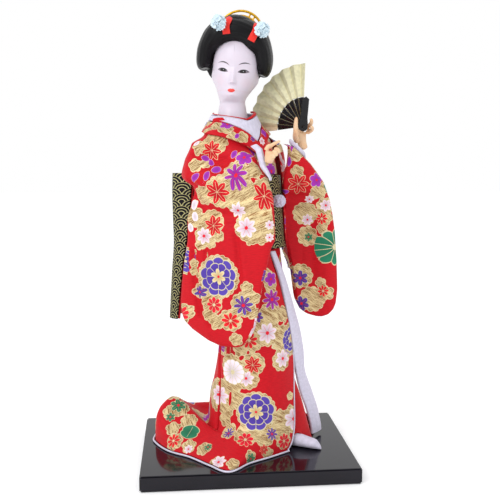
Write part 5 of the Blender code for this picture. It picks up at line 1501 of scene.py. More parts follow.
def sleeve_pair(mid, thick):
    """Front and back grids of the right sleeve, clear of the trunk and the collar."""
    n = grid_normals(mid)
    n = n * np.where(n[..., 1:2] > 0, -1, 1)
    front = mid + n * thick[..., None] / 2
    back = mid - n * thick[..., None] / 2
    front = tuck_under_collar(keep_outside(front, SLEEVE_ROOM + 0.0012), SLEEVE_ROOM)
    back = tuck_under_collar(keep_outside(back, SLEEVE_ROOM), SLEEVE_ROOM)
    return front, back


def merged(obj, voxel, rounds):
    """One closed skin round the overlapping shells of a mesh, smoothed."""
    remesh = obj.modifiers.new("skin", "REMESH")
    remesh.mode = "VOXEL"
    remesh.voxel_size = voxel
    soft = obj.modifiers.new("soft", "SMOOTH")
    soft.factor = 0.5
    soft.iterations = rounds
    bpy.context.view_layer.update()
    deps = bpy.context.evaluated_depsgraph_get()
    mesh = bpy.data.meshes.new_from_object(obj.evaluated_get(deps))
    obj.modifiers.clear()
    old = obj.data
    obj.data = mesh
    bpy.data.meshes.remove(old)
    mesh.shade_smooth()
    turn_outward(mesh)
    return obj


def flat_map(obj, turn=0.0):
    """Map of a free-form piece: level distance across and height, in millimetres."""
    co = np.zeros(len(obj.data.vertices) * 3)
    obj.data.vertices.foreach_get("co", co)
    co = co.reshape(-1, 3)
    across = co[:, 0] * math.cos(turn) + co[:, 1] * math.sin(turn)
    mesh_uv(obj, np.stack([across, co[:, 2]], -1) / MM)


def wrap_grid(levels, grow, columns):
    angle = np.linspace(0, 360, columns, endpoint=False)
    rows = [trunk(np.full(columns, z), angle, grow) for z in levels]
    return outer_first(np.swapaxes(np.array(rows), 0, 1), True)


def collar_grid(top, low, grow, rows, columns=220):
    angle = np.linspace(-180, 180, columns, endpoint=False)
    high = np.interp(angle, top[:, 0], top[:, 1]) * MM
    base = np.interp(angle, low[:, 0], low[:, 1]) * MM
    level = base[:, None] + (high - base)[:, None] * np.linspace(0, 1, rows)[None]
    return outer_first(neckline(level, np.repeat(angle[:, None], rows, 1), grow), True)


def plain_material(name, colour, rough, weave_mm, sheen=0.2, crease=0.0):
    """Plain woven cloth: a colour that varies slightly, with a fine weave."""
    mat, tree, shader = new_material(name)
    mottle = noise(coordinates(tree, (0.5, 0.5, 1.0)), 1.0, 3.0, 0.6)
    darker = dim(colour, 0.86)
    wire(blend(ramp(mottle, 0.3, 0.7), darker, colour), shader, "Base Color")
    set_finish(shader, rough, sheen=sheen * 0.4, specular=0.2)
    height = threads(tree, weave_mm)
    if crease:
        folds = noise(coordinates(tree, (0.10, 0.35, 1.0)), 1.0, 2.0, 0.5)
        height = add(height, mul(folds, crease))
    relief(shader, height, 0.35, WEAVE_DEPTH)
    return mat


def sash_material(look):
    """Near-black brocade with rows of nested pale gold arcs, one row over the next."""
    mat, tree, shader = new_material("sash_waves")
    size = look.wave_radius / MM
    split = tree.nodes.new("ShaderNodeSeparateXYZ")
    wire(coordinates(tree), split, 0)
    x, y = split.outputs[0], split.outputs[1]
    rise_step = size * 0.75
    row = calc("FLOOR", div(y, rise_step))
    mask = None
    for step in (0, 1, 2):
        line = sub(row, float(step))
        odd = mul(calc("FLOORED_MODULO", line, 2.0), size)
        shifted = add(x, odd)
        cell = sub(calc("FLOORED_MODULO", shifted, 2 * size), size)
        rise = sub(y, mul(line, rise_step))
        far = radius_of(cell, rise)
        inside = calc("LESS_THAN", far, size)
        ring = calc("ABSOLUTE", calc("SINE", mul(far, math.pi * 3.0 / size)))
        arc = mul(ramp(ring, 0.28, 0.46, 1.0, 0.0), calc("GREATER_THAN", far, size * 0.12))
        mask = arc if mask is None else add(mul(mask, sub(1.0, inside)), mul(arc, inside))
    speck = noise(coordinates(tree, (2.0, 2.0, 1.0)), 1.0, 2.0, 0.7)
    gold = blend(ramp(speck, 0.35, 0.6), dim(look.wave, 0.45), look.wave)
    colour = blend(mask, look.black, gold)
    wire(colour, shader, "Base Color")
    set_finish(shader, 0.5, specular=0.12)
    wire(mul(mask, 0.35), shader, "Metallic")
    relief(shader, add(threads(tree, 0.45), mask), 0.35, WEAVE_DEPTH)
    return mat


BODICE_TOP = 0.2140
SLEEVE_COLUMNS = 78
SLEEVE_LEVELS = 150
CREASE_DEPTH = 0.0021
CREASE_WIDTH = 1.9
WELT_HEIGHT = 0.0014
WELT_WIDTH = 5.0
CREASES = (
    ((-18, 178), (-8, 170), (3, 165.5), (15, 166.5), (29, 171)),
    ((-17, 168), (-8, 157), (3, 151.5), (14, 151.5), (26, 155)),
    ((-16, 200), (-6, 198), (4, 197)), ((-6, 186), (4, 183), (13, 182)),
    ((-9, 143), (-11, 118), (-7, 86)), ((11, 144), (14, 118), (9, 88)),
    ((-19, 133), (-18, 112), (-14, 92)),
)


def outer_half(obj):
    """True for the points of a sheet's outer grid, which come first."""
    count = len(obj.data.vertices)
    return np.arange(count) < count // 2


def sleeve_creases(width):
    """Nearness of the right sleeve's grid to its creases, fading over a width in mm."""
    level = sleeve_rows(RIGHT_TOP, RIGHT_LOW, SLEEVE_LEVELS)
    s, h = panel_grid(RIGHT_OUTER, RIGHT_INNER, np.linspace(0, 1, SLEEVE_COLUMNS), level)
    return np.clip(sum(lane(s, h, path, width) for path in CREASES), 0, 1)


class FIGURINE_OT_brocade(bpy.types.Operator):
    """Brocade skirt, sleeves, bodice and collar, with the pattern woven over them"""

    bl_idname = "figurine.brocade"
    bl_label = "Brocade clothes"

    def execute(self, context):
        scene = context.scene
        look = scene.figurine_brocade
        silk = brocade_material(look)
        pieces = []

        skirt = skirt_grid(236, 134)
        obj = cloth_piece("kimono_skirt_cloth", skirt, CLOTH, silk, "kimono_skirt",
                          "brocade", floor=DECK + GAP)
        pieces.append((obj, outer_half(obj)))

        levels = sleeve_rows(RIGHT_TOP, RIGHT_LOW, SLEEVE_LEVELS)
        mid, thick = right_sleeve(np.linspace(0, 1, SLEEVE_COLUMNS), levels)
        swell = 2 * WELT_HEIGHT * sleeve_creases(WELT_WIDTH)
        swell = swell - 2 * CREASE_DEPTH * sleeve_creases(CREASE_WIDTH)
        thick = np.maximum(thick + swell, SLEEVE_EDGE * 0.9)
        front, back = sleeve_pair(mid, thick)
        points, faces = closed_pair(front, back)
        obj = make_mesh("sleeve_right_cloth", points, faces, silk, slot="brocade",
                        replaces=("sleeve_right",))
        cloth_map(obj, mid)
        pieces.append((obj, np.ones(len(points), bool)))

        mid, thick = left_sleeve(np.linspace(0, 1, 60), sleeve_rows(LEFT_TOP, LEFT_LOW, 130))
        front, back = sleeve_pair(mid, thick)
        panel = closed_pair(front, back)
        t = np.linspace(0, len(UPPER_ARM) - 1, 70)
        row = curve(np.arange(len(UPPER_ARM), dtype=float), UPPER_ARM, t)
        a = circle(72)[None]
        arm = np.stack([
            row[:, 0:1] + row[:, 3:4] * np.cos(a), row[:, 1:2] + row[:, 4:5] * np.sin(a),
            DECK + row[:, 2:3] + 0 * a,
        ], -1)
        arm = tuck_under_collar(keep_outside(arm, SLEEVE_ROOM), SLEEVE_ROOM)
        points, faces = join([panel, loft(arm)])
        obj = make_mesh("sleeve_left_cloth", points, faces, silk, slot="brocade",
                        replaces=("sleeve_left",))
        merged(obj, 0.00055, 4)
        flat_map(obj)
        pieces.append((obj, np.ones(len(obj.data.vertices), bool)))

        levels = np.linspace(OBI_TOP + 2 * GAP, BODICE_TOP, 34)
        bodice = wrap_grid(levels, -CLOTH / 2, 190)
        obj = cloth_piece("kimono_bodice_cloth", bodice, CLOTH, silk, "kimono_bodice",
                          "brocade", round_u=True)
        pieces.append((obj, outer_half(obj)))

        band = collar_grid(COLLAR_SEAM - np.array([0.0, 0.9]), COLLAR_LOW, COLLAR_LIFT + 0.0004,
                           14)
        obj = cloth_piece("kimono_collar_cloth", band, CLOTH, silk, "kimono_collar",
                          "brocade", round_u=True)
        pieces.append((obj, outer_half(obj)))

        garments = [Garment(o, outer) for o, outer in pieces]
        camera = camera_frame(scene.figurine_studio)
        weave_photo_side(garments, camera)
        weave_hidden_sides(garments, camera, look.seed)
        for garment in garments:
            store_pattern(garment)
        return {"FINISHED"}


class FIGURINE_OT_plain_clothes(bpy.types.Operator):
    """White under-collar, lining band, cuffs, red underskirt and the cords at the edges"""

    bl_idname = "figurine.plain_clothes"
    bl_label = "Plain clothes"

    def execute(self, context):
        look = context.scene.figurine_plain
        white = plain_material("white_crepe", look.white, 0.8, 0.5, crease=3.0)
        red = plain_material("red_silk", look.red, 0.6, 0.4, crease=1.0)

        ring = collar_grid(COLLAR_TOP, COLLAR_SEAM, COLLAR_LIFT, 12)
        cloth_piece("inner_collar_cloth", ring, CLOTH, white, "inner_collar",
                    "white_cloth", round_u=True)

        across = np.linspace(0, 1, 26)
        band = outer_first(band_points(across, np.linspace(0, 1, 150)))
        puff_line = np.sin(np.linspace(0.08, 0.92, 26) * math.pi)[:, None] ** 0.6 * np.ones(150)
        points, faces = shell(band, BAND_THICK * (0.30 + 0.70 * puff_line), floor=DECK + GAP)
        obj = make_mesh("lining_band_cloth", points, faces, white, slot="white_cloth",
                        replaces=("lining_band",))
        cloth_map(obj, band)

        under = outer_first(under_points(np.linspace(0, 3, 60), np.linspace(0, 1, 70)))
        under = clear_of_foot(under)
        cloth_piece("red_underskirt_cloth", under, CLOTH, red, "red_underskirt",
                    "red_cloth", floor=DECK + GAP)

        t = np.linspace(0.37, 1, 110)
        edge = skirt_points(np.array([0.0, 0.15]), t)
        out_edge = unit(edge[0] - edge[1])
        line = edge[0] + out_edge * (PIPING_RADIUS + 2 * GAP)
        hem = skirt_points(np.linspace(0, COLUMNS - 1, 240), np.array([0.98, 1.0]))[:, 1]
        run = np.gradient(hem, axis=0)
        out_hem = np.stack([run[:, 1], -run[:, 0], 0 * run[:, 0]], -1)
        out_hem = unit(out_hem * np.sign((out_hem * (hem - hem.mean(0))).sum(-1))[:, None])
        foot_line = hem + out_hem * (CLOTH / 2 + PIPING_RADIUS + 2 * GAP)
        foot_line[:, 2] = DECK + GAP + PIPING_RADIUS
        corner = unit(out_edge[-1] * (1, 1, 0) + out_hem[0]) * 1.5
        corner = hem[0] + corner * (CLOTH / 2 + PIPING_RADIUS + 2 * GAP)
        corner[2] = foot_line[0, 2]
        path = np.concatenate([line[:-6], corner[None], foot_line[3:]])
        obj = make_mesh("hem_piping_cord", *loft(rod(path, PIPING_RADIUS, 10, up=(0, 1, 0))),
                        white,
                        slot="white_cloth", replaces=("hem_piping",))
        flat_map(obj)

        angle = np.linspace(-105, 115, 120)
        rim = neckline(
            np.interp(angle, COLLAR_TOP[:, 0], COLLAR_TOP[:, 1]) * MM + 0.0012, angle, COLLAR_LIFT,
        )
        thick = curve([-105, -67, 0, 27, 40, 100, 115],
                      np.array([0.3, 0.3, 0.3, 0.5, 0.75, 0.75, 0.6]) * MM, angle)
        obj = make_mesh("collar_piping_cord", *loft(rod(rim, thick, 12)), red, slot="red_cloth",
                        replaces=("collar_piping",))
        flat_map(obj)
        make_cuffs(white)
        return {"FINISHED"}


def make_cuffs(white):
    """Right cuff beside its sleeve's edge, and the left one as a short tilted ring."""
    level = np.array([199.4, 197.4, 193.4, 189.4, 186.0, 183.0, 180.5, 178.4]) * MM
    level = np.interp(np.linspace(0, 7, 60), np.arange(8.0), level)
    taper = np.interp(level,
                      np.array([178.4, 180.5, 183.0, 186.0, 189.4, 193.4, 197.4, 199.4]) * MM,
                      (0.22, 0.36, 0.54, 0.72, 0.86, 0.96, 1.0, 1.0))
    edge = side_profile(RIGHT_INNER, level) + SLEEVE_EDGE / 2 + 3 * GAP
    across = np.linspace(0, 1, 16)[:, None]
    side = across * (CUFF_WIDTH - 0.0011) * taper
    rows = np.array([
        in_right_plane(edge + side[i], level + side[i] * 0.35, 0.0) for i in range(16)
    ])
    ends = np.sin(np.linspace(0.12, 0.88, 60) * math.pi) ** 0.5
    swell = np.sin(np.linspace(0.12, 0.88, 16) * math.pi)[:, None] ** 0.6 * ends
    points, faces = shell(rows, 0.0010 + 0.0032 * swell)
    obj = make_mesh("cuff_right_cloth", points, faces, white, slot="white_cloth",
                    replaces=("cuff_right",))
    flat_map(obj, math.radians(RIGHT_TURN))
    a = circle(64)
    rings = []
    shape = ((0.0034, 5.0, 3.8), (0.0030, 5.6, 4.3), (0.0017, 5.5, 4.2), (0.0004, 5.2, 4.0),
             (0, 4.7, 3.6))
    for drop, wide, deep in shape:
        x = 0.0350 + np.cos(a) * wide * MM
        y = -0.0005 + np.sin(a) * deep * MM
        rings.append(np.column_stack([x, y, DECK + 0.2010 - drop - 0.92 * (x - 0.0350)]))
    obj = make_mesh("cuff_left_cloth", *loft(np.array(rings)), white, slot="white_cloth",
                    replaces=("cuff_left",))
    flat_map(obj)


def foot_rings(grow=0.0, sides=48):
    along = bearing(FOOT_BEARING)
    side = np.array([-along[1], along[0], 0.0])
    a = circle(sides)
    rings = []
    for s in np.concatenate([[0.0, 0.12, 0.3, 0.6], np.linspace(1.0, 20.0, 30)]):
        share = min(1.0, math.sqrt(max(s, 0.03) / 4.5))
        rise = min(1.0, 0.62 + s / 28.0) * min(1.0, math.sqrt(max(s, 0.05) / 3.0))
        half_w = FOOT_WIDTH / 2 * share + grow
        half_h = FOOT_HEIGHT / 2 * rise + grow
        mid = np.array([*FOOT_TOE, DECK + GAP]) - along * (s / 20.0 * FOOT_LENGTH)
        mid = mid + np.array([0, 0, half_h - grow])
        up = np.maximum(np.sin(a) * half_h, -half_h * 0.93)
        rings.append(mid + np.outer(np.cos(a) * half_w, side) + np.outer(up, (0, 0, 1)))
    return np.array(rings)


def clear_of_foot(p):
    """Lifts the underskirt's points off the foot: up to its top where they are over it."""
    along = bearing(FOOT_BEARING)
    side = np.array([-along[1], along[0], 0.0])
    off = p - np.array([*FOOT_TOE, DECK])
    back = -(off @ along)
    across = np.abs(off @ side)
    s = back / FOOT_LENGTH * 20.0
    share = np.minimum(1.0, np.sqrt(np.maximum(s, 0.0) / 4.5))
    wide = FOOT_WIDTH / 2 * share + 0.0012
    rise = np.minimum(1.0, 0.62 + s / 28.0) * np.minimum(1.0, np.sqrt(np.maximum(s, 0.0) / 3.0))
    over = (s > -1) & (across < wide)
    top = FOOT_HEIGHT * rise * np.sqrt(np.maximum(1 - (across / wide) ** 2, 0)) + 0.0015
    out = p.copy()
    lift = np.where(over, np.maximum(0, DECK + top - p[..., 2]), 0)
    out[..., 2] += lift
    return out


class FIGURINE_OT_sash(bpy.types.Operator):
    """Sash with its bow, hanging end, red lining and white ball"""

    bl_idname = "figurine.sash"
    bl_label = "Sash"

    def execute(self, context):
        look = context.scene.figurine_plain
        waves = sash_material(look)
        red = plain_material("red_lining", look.red, 0.55, 0.4)
        white = plain_material("ball_wool", look.white, 0.95, 0.4, sheen=0.6)

        levels = np.linspace(SKIRT_TOP + 2 * GAP, OBI_TOP, 60)
        sash = wrap_grid(levels, (OBI_THICK - CLOTH) / 2, 220)
        cloth_piece("obi_cloth", sash, OBI_THICK + CLOTH, waves, "obi",
                    "black_brocade", round_u=True)

        knot_depth = OBI_DEPTH + GAP * 2 + KNOT_HALF
        a = circle(96)
        c = np.sign(np.cos(a)) * np.abs(np.cos(a)) ** 0.7
        s = np.sign(np.sin(a)) * np.abs(np.sin(a)) ** 0.7
        rings = []
        for t in np.linspace(-1, 1, 60):
            share = max((1 - abs(t) ** 4) ** 0.5 if abs(t) < 1 else 0.0, 0.35)
            crease = 1 - 0.05 * np.exp(-((t / 0.12) ** 2))
            centre = np.array([AXIS_X, AXIS_Y, DECK + KNOT_LEVEL + t * KNOT_TALL])
            centre = centre + BACK * knot_depth
            rings.append(centre + np.outer(c * KNOT_WIDE * share * crease, LEFTWARD)
                         + np.outer(s * KNOT_HALF * share * crease, BACK))
        obj = make_mesh("obi_knot_cloth", *loft(np.array(rings)), waves, slot="black_brocade",
                        replaces=("obi_knot",))
        flat_map(obj, math.radians(45))

        u = np.linspace(0, 7, 110)
        rows = np.linspace(TAIL_LOW, TAIL_TOP, 130)
        tail = outer_first(tail_points(u, rows, 0.0))
        cloth_piece("obi_tail_cloth", tail, TAIL_THICK, waves, "obi_tail", "black_brocade")
        inset = (TAIL_THICK + LINING_THICK) / 2 + GAP
        lining = outer_first(tail_points(u, rows, inset, 0.0008))
        cloth_piece("obi_tail_lining_cloth", lining, LINING_THICK, red, "obi_tail_lining",
                    "red_cloth")

        middle = trunk(np.float64(0.1652), 45.0, OBI_THICK + GAP + POMPOM_RADIUS)
        v = np.linspace(0.03, math.pi - 0.03, 90)[:, None]
        a = circle(140)[None]
        way = ball_ways(v, a)
        tuft = np.sin(9 * a + 3 * np.sin(7 * v)) * np.sin(11 * v) * np.sin(v)
        tuft = 0.09 * tuft + 0.06 * np.sin(23 * a) * np.sin(19 * v) * np.sin(v)
        r = POMPOM_RADIUS * (0.94 + tuft)
        obj = make_mesh("obi_ball", *loft(middle + way * r[..., None]), white, slot="white_cloth",
                        replaces=("obi_pompom",))
        flat_map(obj)
        return {"FINISHED"}


# Head

def face_rings(levels, sides):
    """Head rings with the face's relief: sockets, nose, lips, cheeks and ears as bells."""
    row = curve(HEAD_RINGS[:, 0] * MM, HEAD_RINGS[:, 1:] * MM, levels)
    a = np.linspace(-math.pi, math.pi, sides, endpoint=False)
    a = a - 0.45 * np.sin(a) * (np.abs(a) < math.pi)
    a = a[None]
    z = levels[:, None] + 0 * a
    x = np.sin(a) * row[:, 0:1]
    y = np.where(np.cos(a) > 0, -np.cos(a) * row[:, 1:2], -np.cos(a) * row[:, 2:3])
    ear = bump_at(np.abs(a), 1.65, 0.20) * bump_at(z, 0.013, 0.0045)
    x = x + np.sign(x) * ear * 0.0016
    ahead = smooth(np.cos(a), 0.0, 0.4)
    nose = bump_at(x, 0, 0.0017) * smooth(0.0215 - z, 0.0, 0.0125) * smooth(z, 0.0078, 0.0094)
    wing = bump_at(np.abs(x), 0.0015, 0.0010) * bump_at(z, 0.0096, 0.0012)
    socket = bump_at(np.abs(x), 0.0062, 0.0042) * bump_at(z, 0.0190, 0.0034)
    lid = bump_at(np.abs(x), 0.0062, 0.0034) * bump_at(z, 0.0178, 0.0016)
    lip = bump_at(x, 0, 0.0022) * (bump_at(z, 0.0059, 0.0008) + 1.2 * bump_at(z, 0.0044, 0.0008))
    under = bump_at(x, 0, 0.0030) * bump_at(z, 0.0030, 0.0009)
    cheek = bump_at(np.abs(x), 0.0078, 0.0042) * bump_at(z, 0.0100, 0.0050)
    chin = bump_at(x, 0, 0.0035) * bump_at(z, 0.0010, 0.0018)
    relief_y = 0.0021 * nose + 0.0005 * wing - 0.0006 * socket + 0.00035 * lid
    relief_y = relief_y + 0.00045 * lip - 0.0003 * under + 0.0004 * cheek + 0.0002 * chin
    return np.stack([x, y - relief_y * ahead, z], -1)


def local_of(p):
    """Back from the world to the head's own frame, above the chin."""
    off = np.asarray(p, float) - np.array([HEAD_X, HEAD_Y, DECK + CHIN_LEVEL])
    yaw = math.radians(HEAD_YAW)
    x = off[..., 0] * math.cos(yaw) + off[..., 1] * math.sin(yaw)
    y = -off[..., 0] * math.sin(yaw) + off[..., 1] * math.cos(yaw)
    roll = math.radians(HEAD_ROLL)
    return np.stack([
        x * math.cos(roll) - off[..., 2] * math.sin(roll), y,
        x * math.sin(roll) + off[..., 2] * math.cos(roll),
    ], -1)


HEAD_MIDDLE = np.array([0, 0.001, 0.024])
NECK_END = -0.0319
HEAD_END = 0.0459


def head_depth(p):
    """Share of the way out from the head's axis to its surface, 1 on the surface."""
    level = np.clip(p[..., 2], NECK_END, HEAD_END)
    row = curve(HEAD_RINGS[:, 0] * MM, HEAD_RINGS[:, 1:] * MM, level)
    deep = np.where(p[..., 1] < 0, row[..., 1], row[..., 2])
    share = np.sqrt((p[..., 0] / row[..., 0]) ** 2 + (p[..., 1] / deep) ** 2)
    return np.where(p[..., 2] > HEAD_END, 9.0, share)


def head_edge(way, low, high, rounds):
    """Scale of rays from the head's middle where they leave it, by halving the span."""
    low = np.full(way.shape[:-1], low)
    high = np.full(way.shape[:-1], high)
    for _ in range(rounds):
        half = (low + high) / 2
        inside = head_depth(HEAD_MIDDLE + way * half[..., None]) < 1
        low = np.where(inside, half, low)
        high = np.where(inside, high, half)
    return high


def clear_of_head(p, gap):
    """Moves points that lie in the head out to its surface and a gap more."""
    ray = p - HEAD_MIDDLE
    high = head_edge(ray, 1.0, 40.0, 26)
    length = np.linalg.norm(ray, axis=-1)
    scale = high + gap / np.maximum(length, 1e-6)
    need = head_depth(HEAD_MIDDLE + ray * (1 - gap / np.maximum(length, 1e-6))[..., None]) < 1
    return np.where(need[..., None], HEAD_MIDDLE + ray * np.maximum(scale, 1)[..., None], p)


FACE_PLACES = {
    "left_eye": ((218.2, 69.3), (227.6, 71.4)),
    "right_eye": ((238.0, 72.2), (249.2, 72.2)),
    "left_brow": ((218.0, 62.8), (229.6, 65.8)),
    "right_brow": ((238.4, 65.2), (250.8, 64.6)),
    "left_iris": ((223.0, 70.2), (223.0, 70.2)),
    "right_iris": ((242.9, 72.1), (242.9, 72.1)),
    "mouth": ((227.7, 90.0), (235.2, 90.6)),
    "parting": ((234.2, 43.6), (234.5, 52.4)),
    "blush_left": ((220.0, 80.0), (220.0, 80.0)),
    "blush_right": ((246.5, 83.0), (246.5, 83.0)),
}


def face_spots(obj, camera):
    """Places of the features on the head's own frame, in millimetres across and up."""
    tree = mesh_tree(obj.data)
    spots = {}
    for name, pair in FACE_PLACES.items():
        ends = []
        for u, v in pair:
            hit = tree.ray_cast(*photo_way(camera, u, v))[0]
            if hit is None:
                raise RuntimeError("the face isn't where its features are")
            local = local_of(np.array(hit))
            ends.append((float(local[0]) / MM, float(local[2]) / MM))
        spots[name] = ends
    return spots


def along_stroke(x, z, first, last):
    """Share along a stroke and distance above it, as sockets."""
    dx = last[0] - first[0]
    dz = last[1] - first[1]
    size = math.hypot(dx, dz)
    ex = sub(x, first[0])
    ez = sub(z, first[1])
    run = add(mul(ex, dx / size), mul(ez, dz / size))
    rise = sub(mul(ez, dx / size), mul(ex, dz / size))
    share = div(run, size)
    hump = mul(mul(share, sub(1.0, share)), 4.0)
    return share, rise, most(hump, 0.0)


def between(rise, low, high, soft=0.05):
    """1 where a distance lies between two curves."""
    above = ramp(sub(rise, low), -soft, soft)
    below = ramp(sub(high, rise), -soft, soft)
    return mul(above, below)


def disc(x, z, spot, radius, soft):
    ex = sub(x, spot[0])
    ez = sub(z, spot[1])
    far = radius_of(ex, ez)
    return ramp(far, radius - soft, radius + soft, 1.0, 0.0)


def face_material(look, spots):
    """Painted skin: brows, lids, irises and lips drawn between curves in the face's plane, with a
    painted highlight on each iris.
    """
    mat, tree, shader = new_material("painted_skin")
    split = tree.nodes.new("ShaderNodeSeparateXYZ")
    wire(read(tree, "face_place", "Vector"), split, 0)
    x, depth, z = split.outputs
    front = calc("LESS_THAN", depth, 0.0)
    mottle = noise(coordinates(tree, (90, 90, 90), uv=False), 1.0, 3.0, 0.5)
    darker = dim(look.skin, 0.97)
    colour = blend(ramp(mottle, 0.3, 0.7), darker, look.skin)
    for name in ("blush_left", "blush_right"):
        glow = mul(disc(x, z, spots[name][0], 2.8, 2.4), 0.10)
        colour = blend(mul(glow, front), colour, (0.80, 0.36, 0.38))

    dark = (0.010, 0.008, 0.010)
    for side in ("left", "right"):
        share, rise, hump = along_stroke(x, z, *spots[f"{side}_brow"])
        skew = mul(hump, 1.35 if side == "left" else 0.95)
        half = mul(calc("POWER", hump, 0.8), 0.36)
        brow = between(rise, sub(skew, half), add(skew, half))
        colour = blend(mul(mul(brow, 0.95), front), colour, (0.014, 0.010, 0.012))
        share, rise, hump = along_stroke(x, z, *spots[f"{side}_eye"])
        upper = mul(calc("POWER", hump, 0.8), 1.10)
        lower = mul(calc("POWER", hump, 0.8), -0.70)
        open_part = between(rise, lower, upper)
        colour = blend(mul(open_part, front), colour, (0.20, 0.17, 0.21))
        iris = disc(x, z, spots[f"{side}_iris"][0], 1.95, 0.20)
        iris = mul(mul(iris, open_part), front)
        colour = blend(iris, colour, (0.006, 0.003, 0.004))
        pupil = disc(x, z, spots[f"{side}_iris"][0], 0.70, 0.05)
        pupil = mul(mul(pupil, open_part), front)
        colour = blend(pupil, colour, (0.004, 0.004, 0.004))
        # Painted highlight: a small near-white disc over each iris, standing in for the reflection
        # of the light
        highlight_spot = (spots[f"{side}_iris"][0][0] + 0.28, spots[f"{side}_iris"][0][1] + 0.32)
        painted_highlight = disc(x, z, highlight_spot, 0.17, 0.04)
        painted_highlight = mul(mul(painted_highlight, iris), front)
        colour = blend(painted_highlight, colour, (0.9, 0.9, 0.95))
        thick = add(mul(calc("SQRT", hump), 0.40), 0.02)
        lash = between(rise, sub(upper, 0.20), add(upper, thick))
        inside = mul(calc("GREATER_THAN", share, -0.02), calc("LESS_THAN", share, 1.02))
        lash = mul(mul(lash, inside), front)
        colour = blend(lash, colour, dark)
        low_line = between(rise, sub(lower, 0.14), add(lower, 0.08), 0.05)
        low_line = mul(mul(low_line, inside), front)
        colour = blend(mul(low_line, 0.85), colour, (0.05, 0.03, 0.035))

    share, rise, hump = along_stroke(x, z, *spots["parting"])
    parting = between(rise, mul(hump, -0.10), mul(hump, 0.10), 0.08)
    colour = blend(mul(mul(parting, front), 0.45), colour, (0.10, 0.08, 0.11))
    share, rise, hump = along_stroke(x, z, *spots["mouth"])
    bow = sub(share, 0.5)
    dip = calc("EXPONENT", mul(mul(bow, bow), -70.0))
    top = mul(calc("POWER", hump, 0.7), 1.05)
    top = sub(top, mul(dip, 0.25))
    low = mul(calc("POWER", hump, 0.7), -1.30)
    lips = mul(between(rise, low, top, 0.08), front)
    colour = blend(lips, colour, look.lips)
    part = between(rise, mul(hump, -0.07), mul(hump, 0.07), 0.04)
    colour = blend(mul(mul(part, front), 0.75), colour, (0.20, 0.010, 0.012))
    wire(colour, shader, "Base Color")
    set_finish(shader, 0.42, coat=0.12, specular=0.4)
    shader.inputs["Subsurface Weight"].default_value = 0.06
    shader.inputs["Subsurface Radius"].default_value = (0.002, 0.001, 0.001)
    return mat


class FIGURINE_OT_head(bpy.types.Operator):
    """Head and neck with its painted face"""

    bl_idname = "figurine.head"
    bl_label = "Head"

    def execute(self, context):
        scene = context.scene
        levels = np.concatenate([
            np.linspace(-0.0320, -0.004, 36)[:-1], np.linspace(-0.004, 0.026, 150)[:-1],
            np.linspace(0.026, 0.046, 40),
        ])
        local = face_rings(levels, 220)
        points, faces = loft(head_place(local))
        blank = bpy.data.materials.new("blank")
        obj = make_mesh("head_skin", points, faces, blank, slot="skin", replaces=("head",))
        ends = np.stack([local[0].mean(0), local[-1].mean(0)])
        flat = np.concatenate([local.reshape(-1, 3), ends])
        keep(obj.data, "face_place", "FLOAT_VECTOR", flat / MM)
        spots = face_spots(obj, camera_frame(scene.figurine_studio))
        obj.data.materials[0] = face_material(scene.figurine_head, spots)
        bpy.data.materials.remove(blank)
        return {"FINISHED"}


# Hair and its ornaments

def hair_material(look):
    """Black hair: fine strands as noise stretched along the piece's own map."""
    lighter = tuple(c * 3.2 + 0.004 for c in look.hair)
    mat, shader, strand = grained_material("black_hair", (0.05, 3.6, 1.0), 3.0, 0.6, (0.42, 0.72),
                                           look.hair, lighter, uv=True)
    set_finish(shader, 0.34, specular=0.15)
    relief(shader, strand, 0.7, 0.00016)
    return mat


def lock_ridges(a, share, count, depth):
    """Ridges of combed locks: sines across the roll that drift along it."""
    broad = depth * np.sin(count * a + 2.5 * np.sin(3 * share)) * 0.6
    return broad + depth * 0.4 * np.sin(2.7 * count * a + 5 * share)


def crown_pair(columns, rows):
    """Cap of hair over the back of the head, as its outer and inner grids.

    Directions fan out from a pole at the back; the outer radius is the larger of an
    ellipsoid's and the head's with a margin, the inner one is the head's with its gap.
    """
    pole = unit(np.array([0.0, 1.0, 0.25]))
    across = np.array([1.0, 0.0, 0.0])
    up = np.cross(across, pole)
    a = circle(columns)[:, None]
    reach = np.radians(76 + 20 * np.maximum(np.sin(a), 0))
    fan = reach * np.linspace(0.01, 1, rows)[None]
    way = (np.cos(fan)[..., None] * pole
           + (np.sin(fan) * np.cos(a))[..., None] * across + (np.sin(fan) * np.sin(a))[...,
                                                                                       None] * up)
    radii = np.array([0.0205, 0.0150, 0.0195])
    off = (HEAD_MIDDLE - np.array([-0.0018, 0.0075, 0.027])) / radii
    w = way / radii
    aa = (w * w).sum(-1)
    bb = (w * off).sum(-1)
    cc = (off * off).sum() - 1
    shell_reach = (-bb + np.sqrt(bb * bb - aa * cc)) / aa
    skin = head_edge(way, 0.002, 0.045, 22) + WIG_GAP
    ridge = 1 + lock_ridges(a, fan, 23, 0.006)
    outer = np.maximum(shell_reach * ridge, skin + 0.0010)
    return HEAD_MIDDLE + way * outer[..., None], HEAD_MIDDLE + way * skin[..., None]


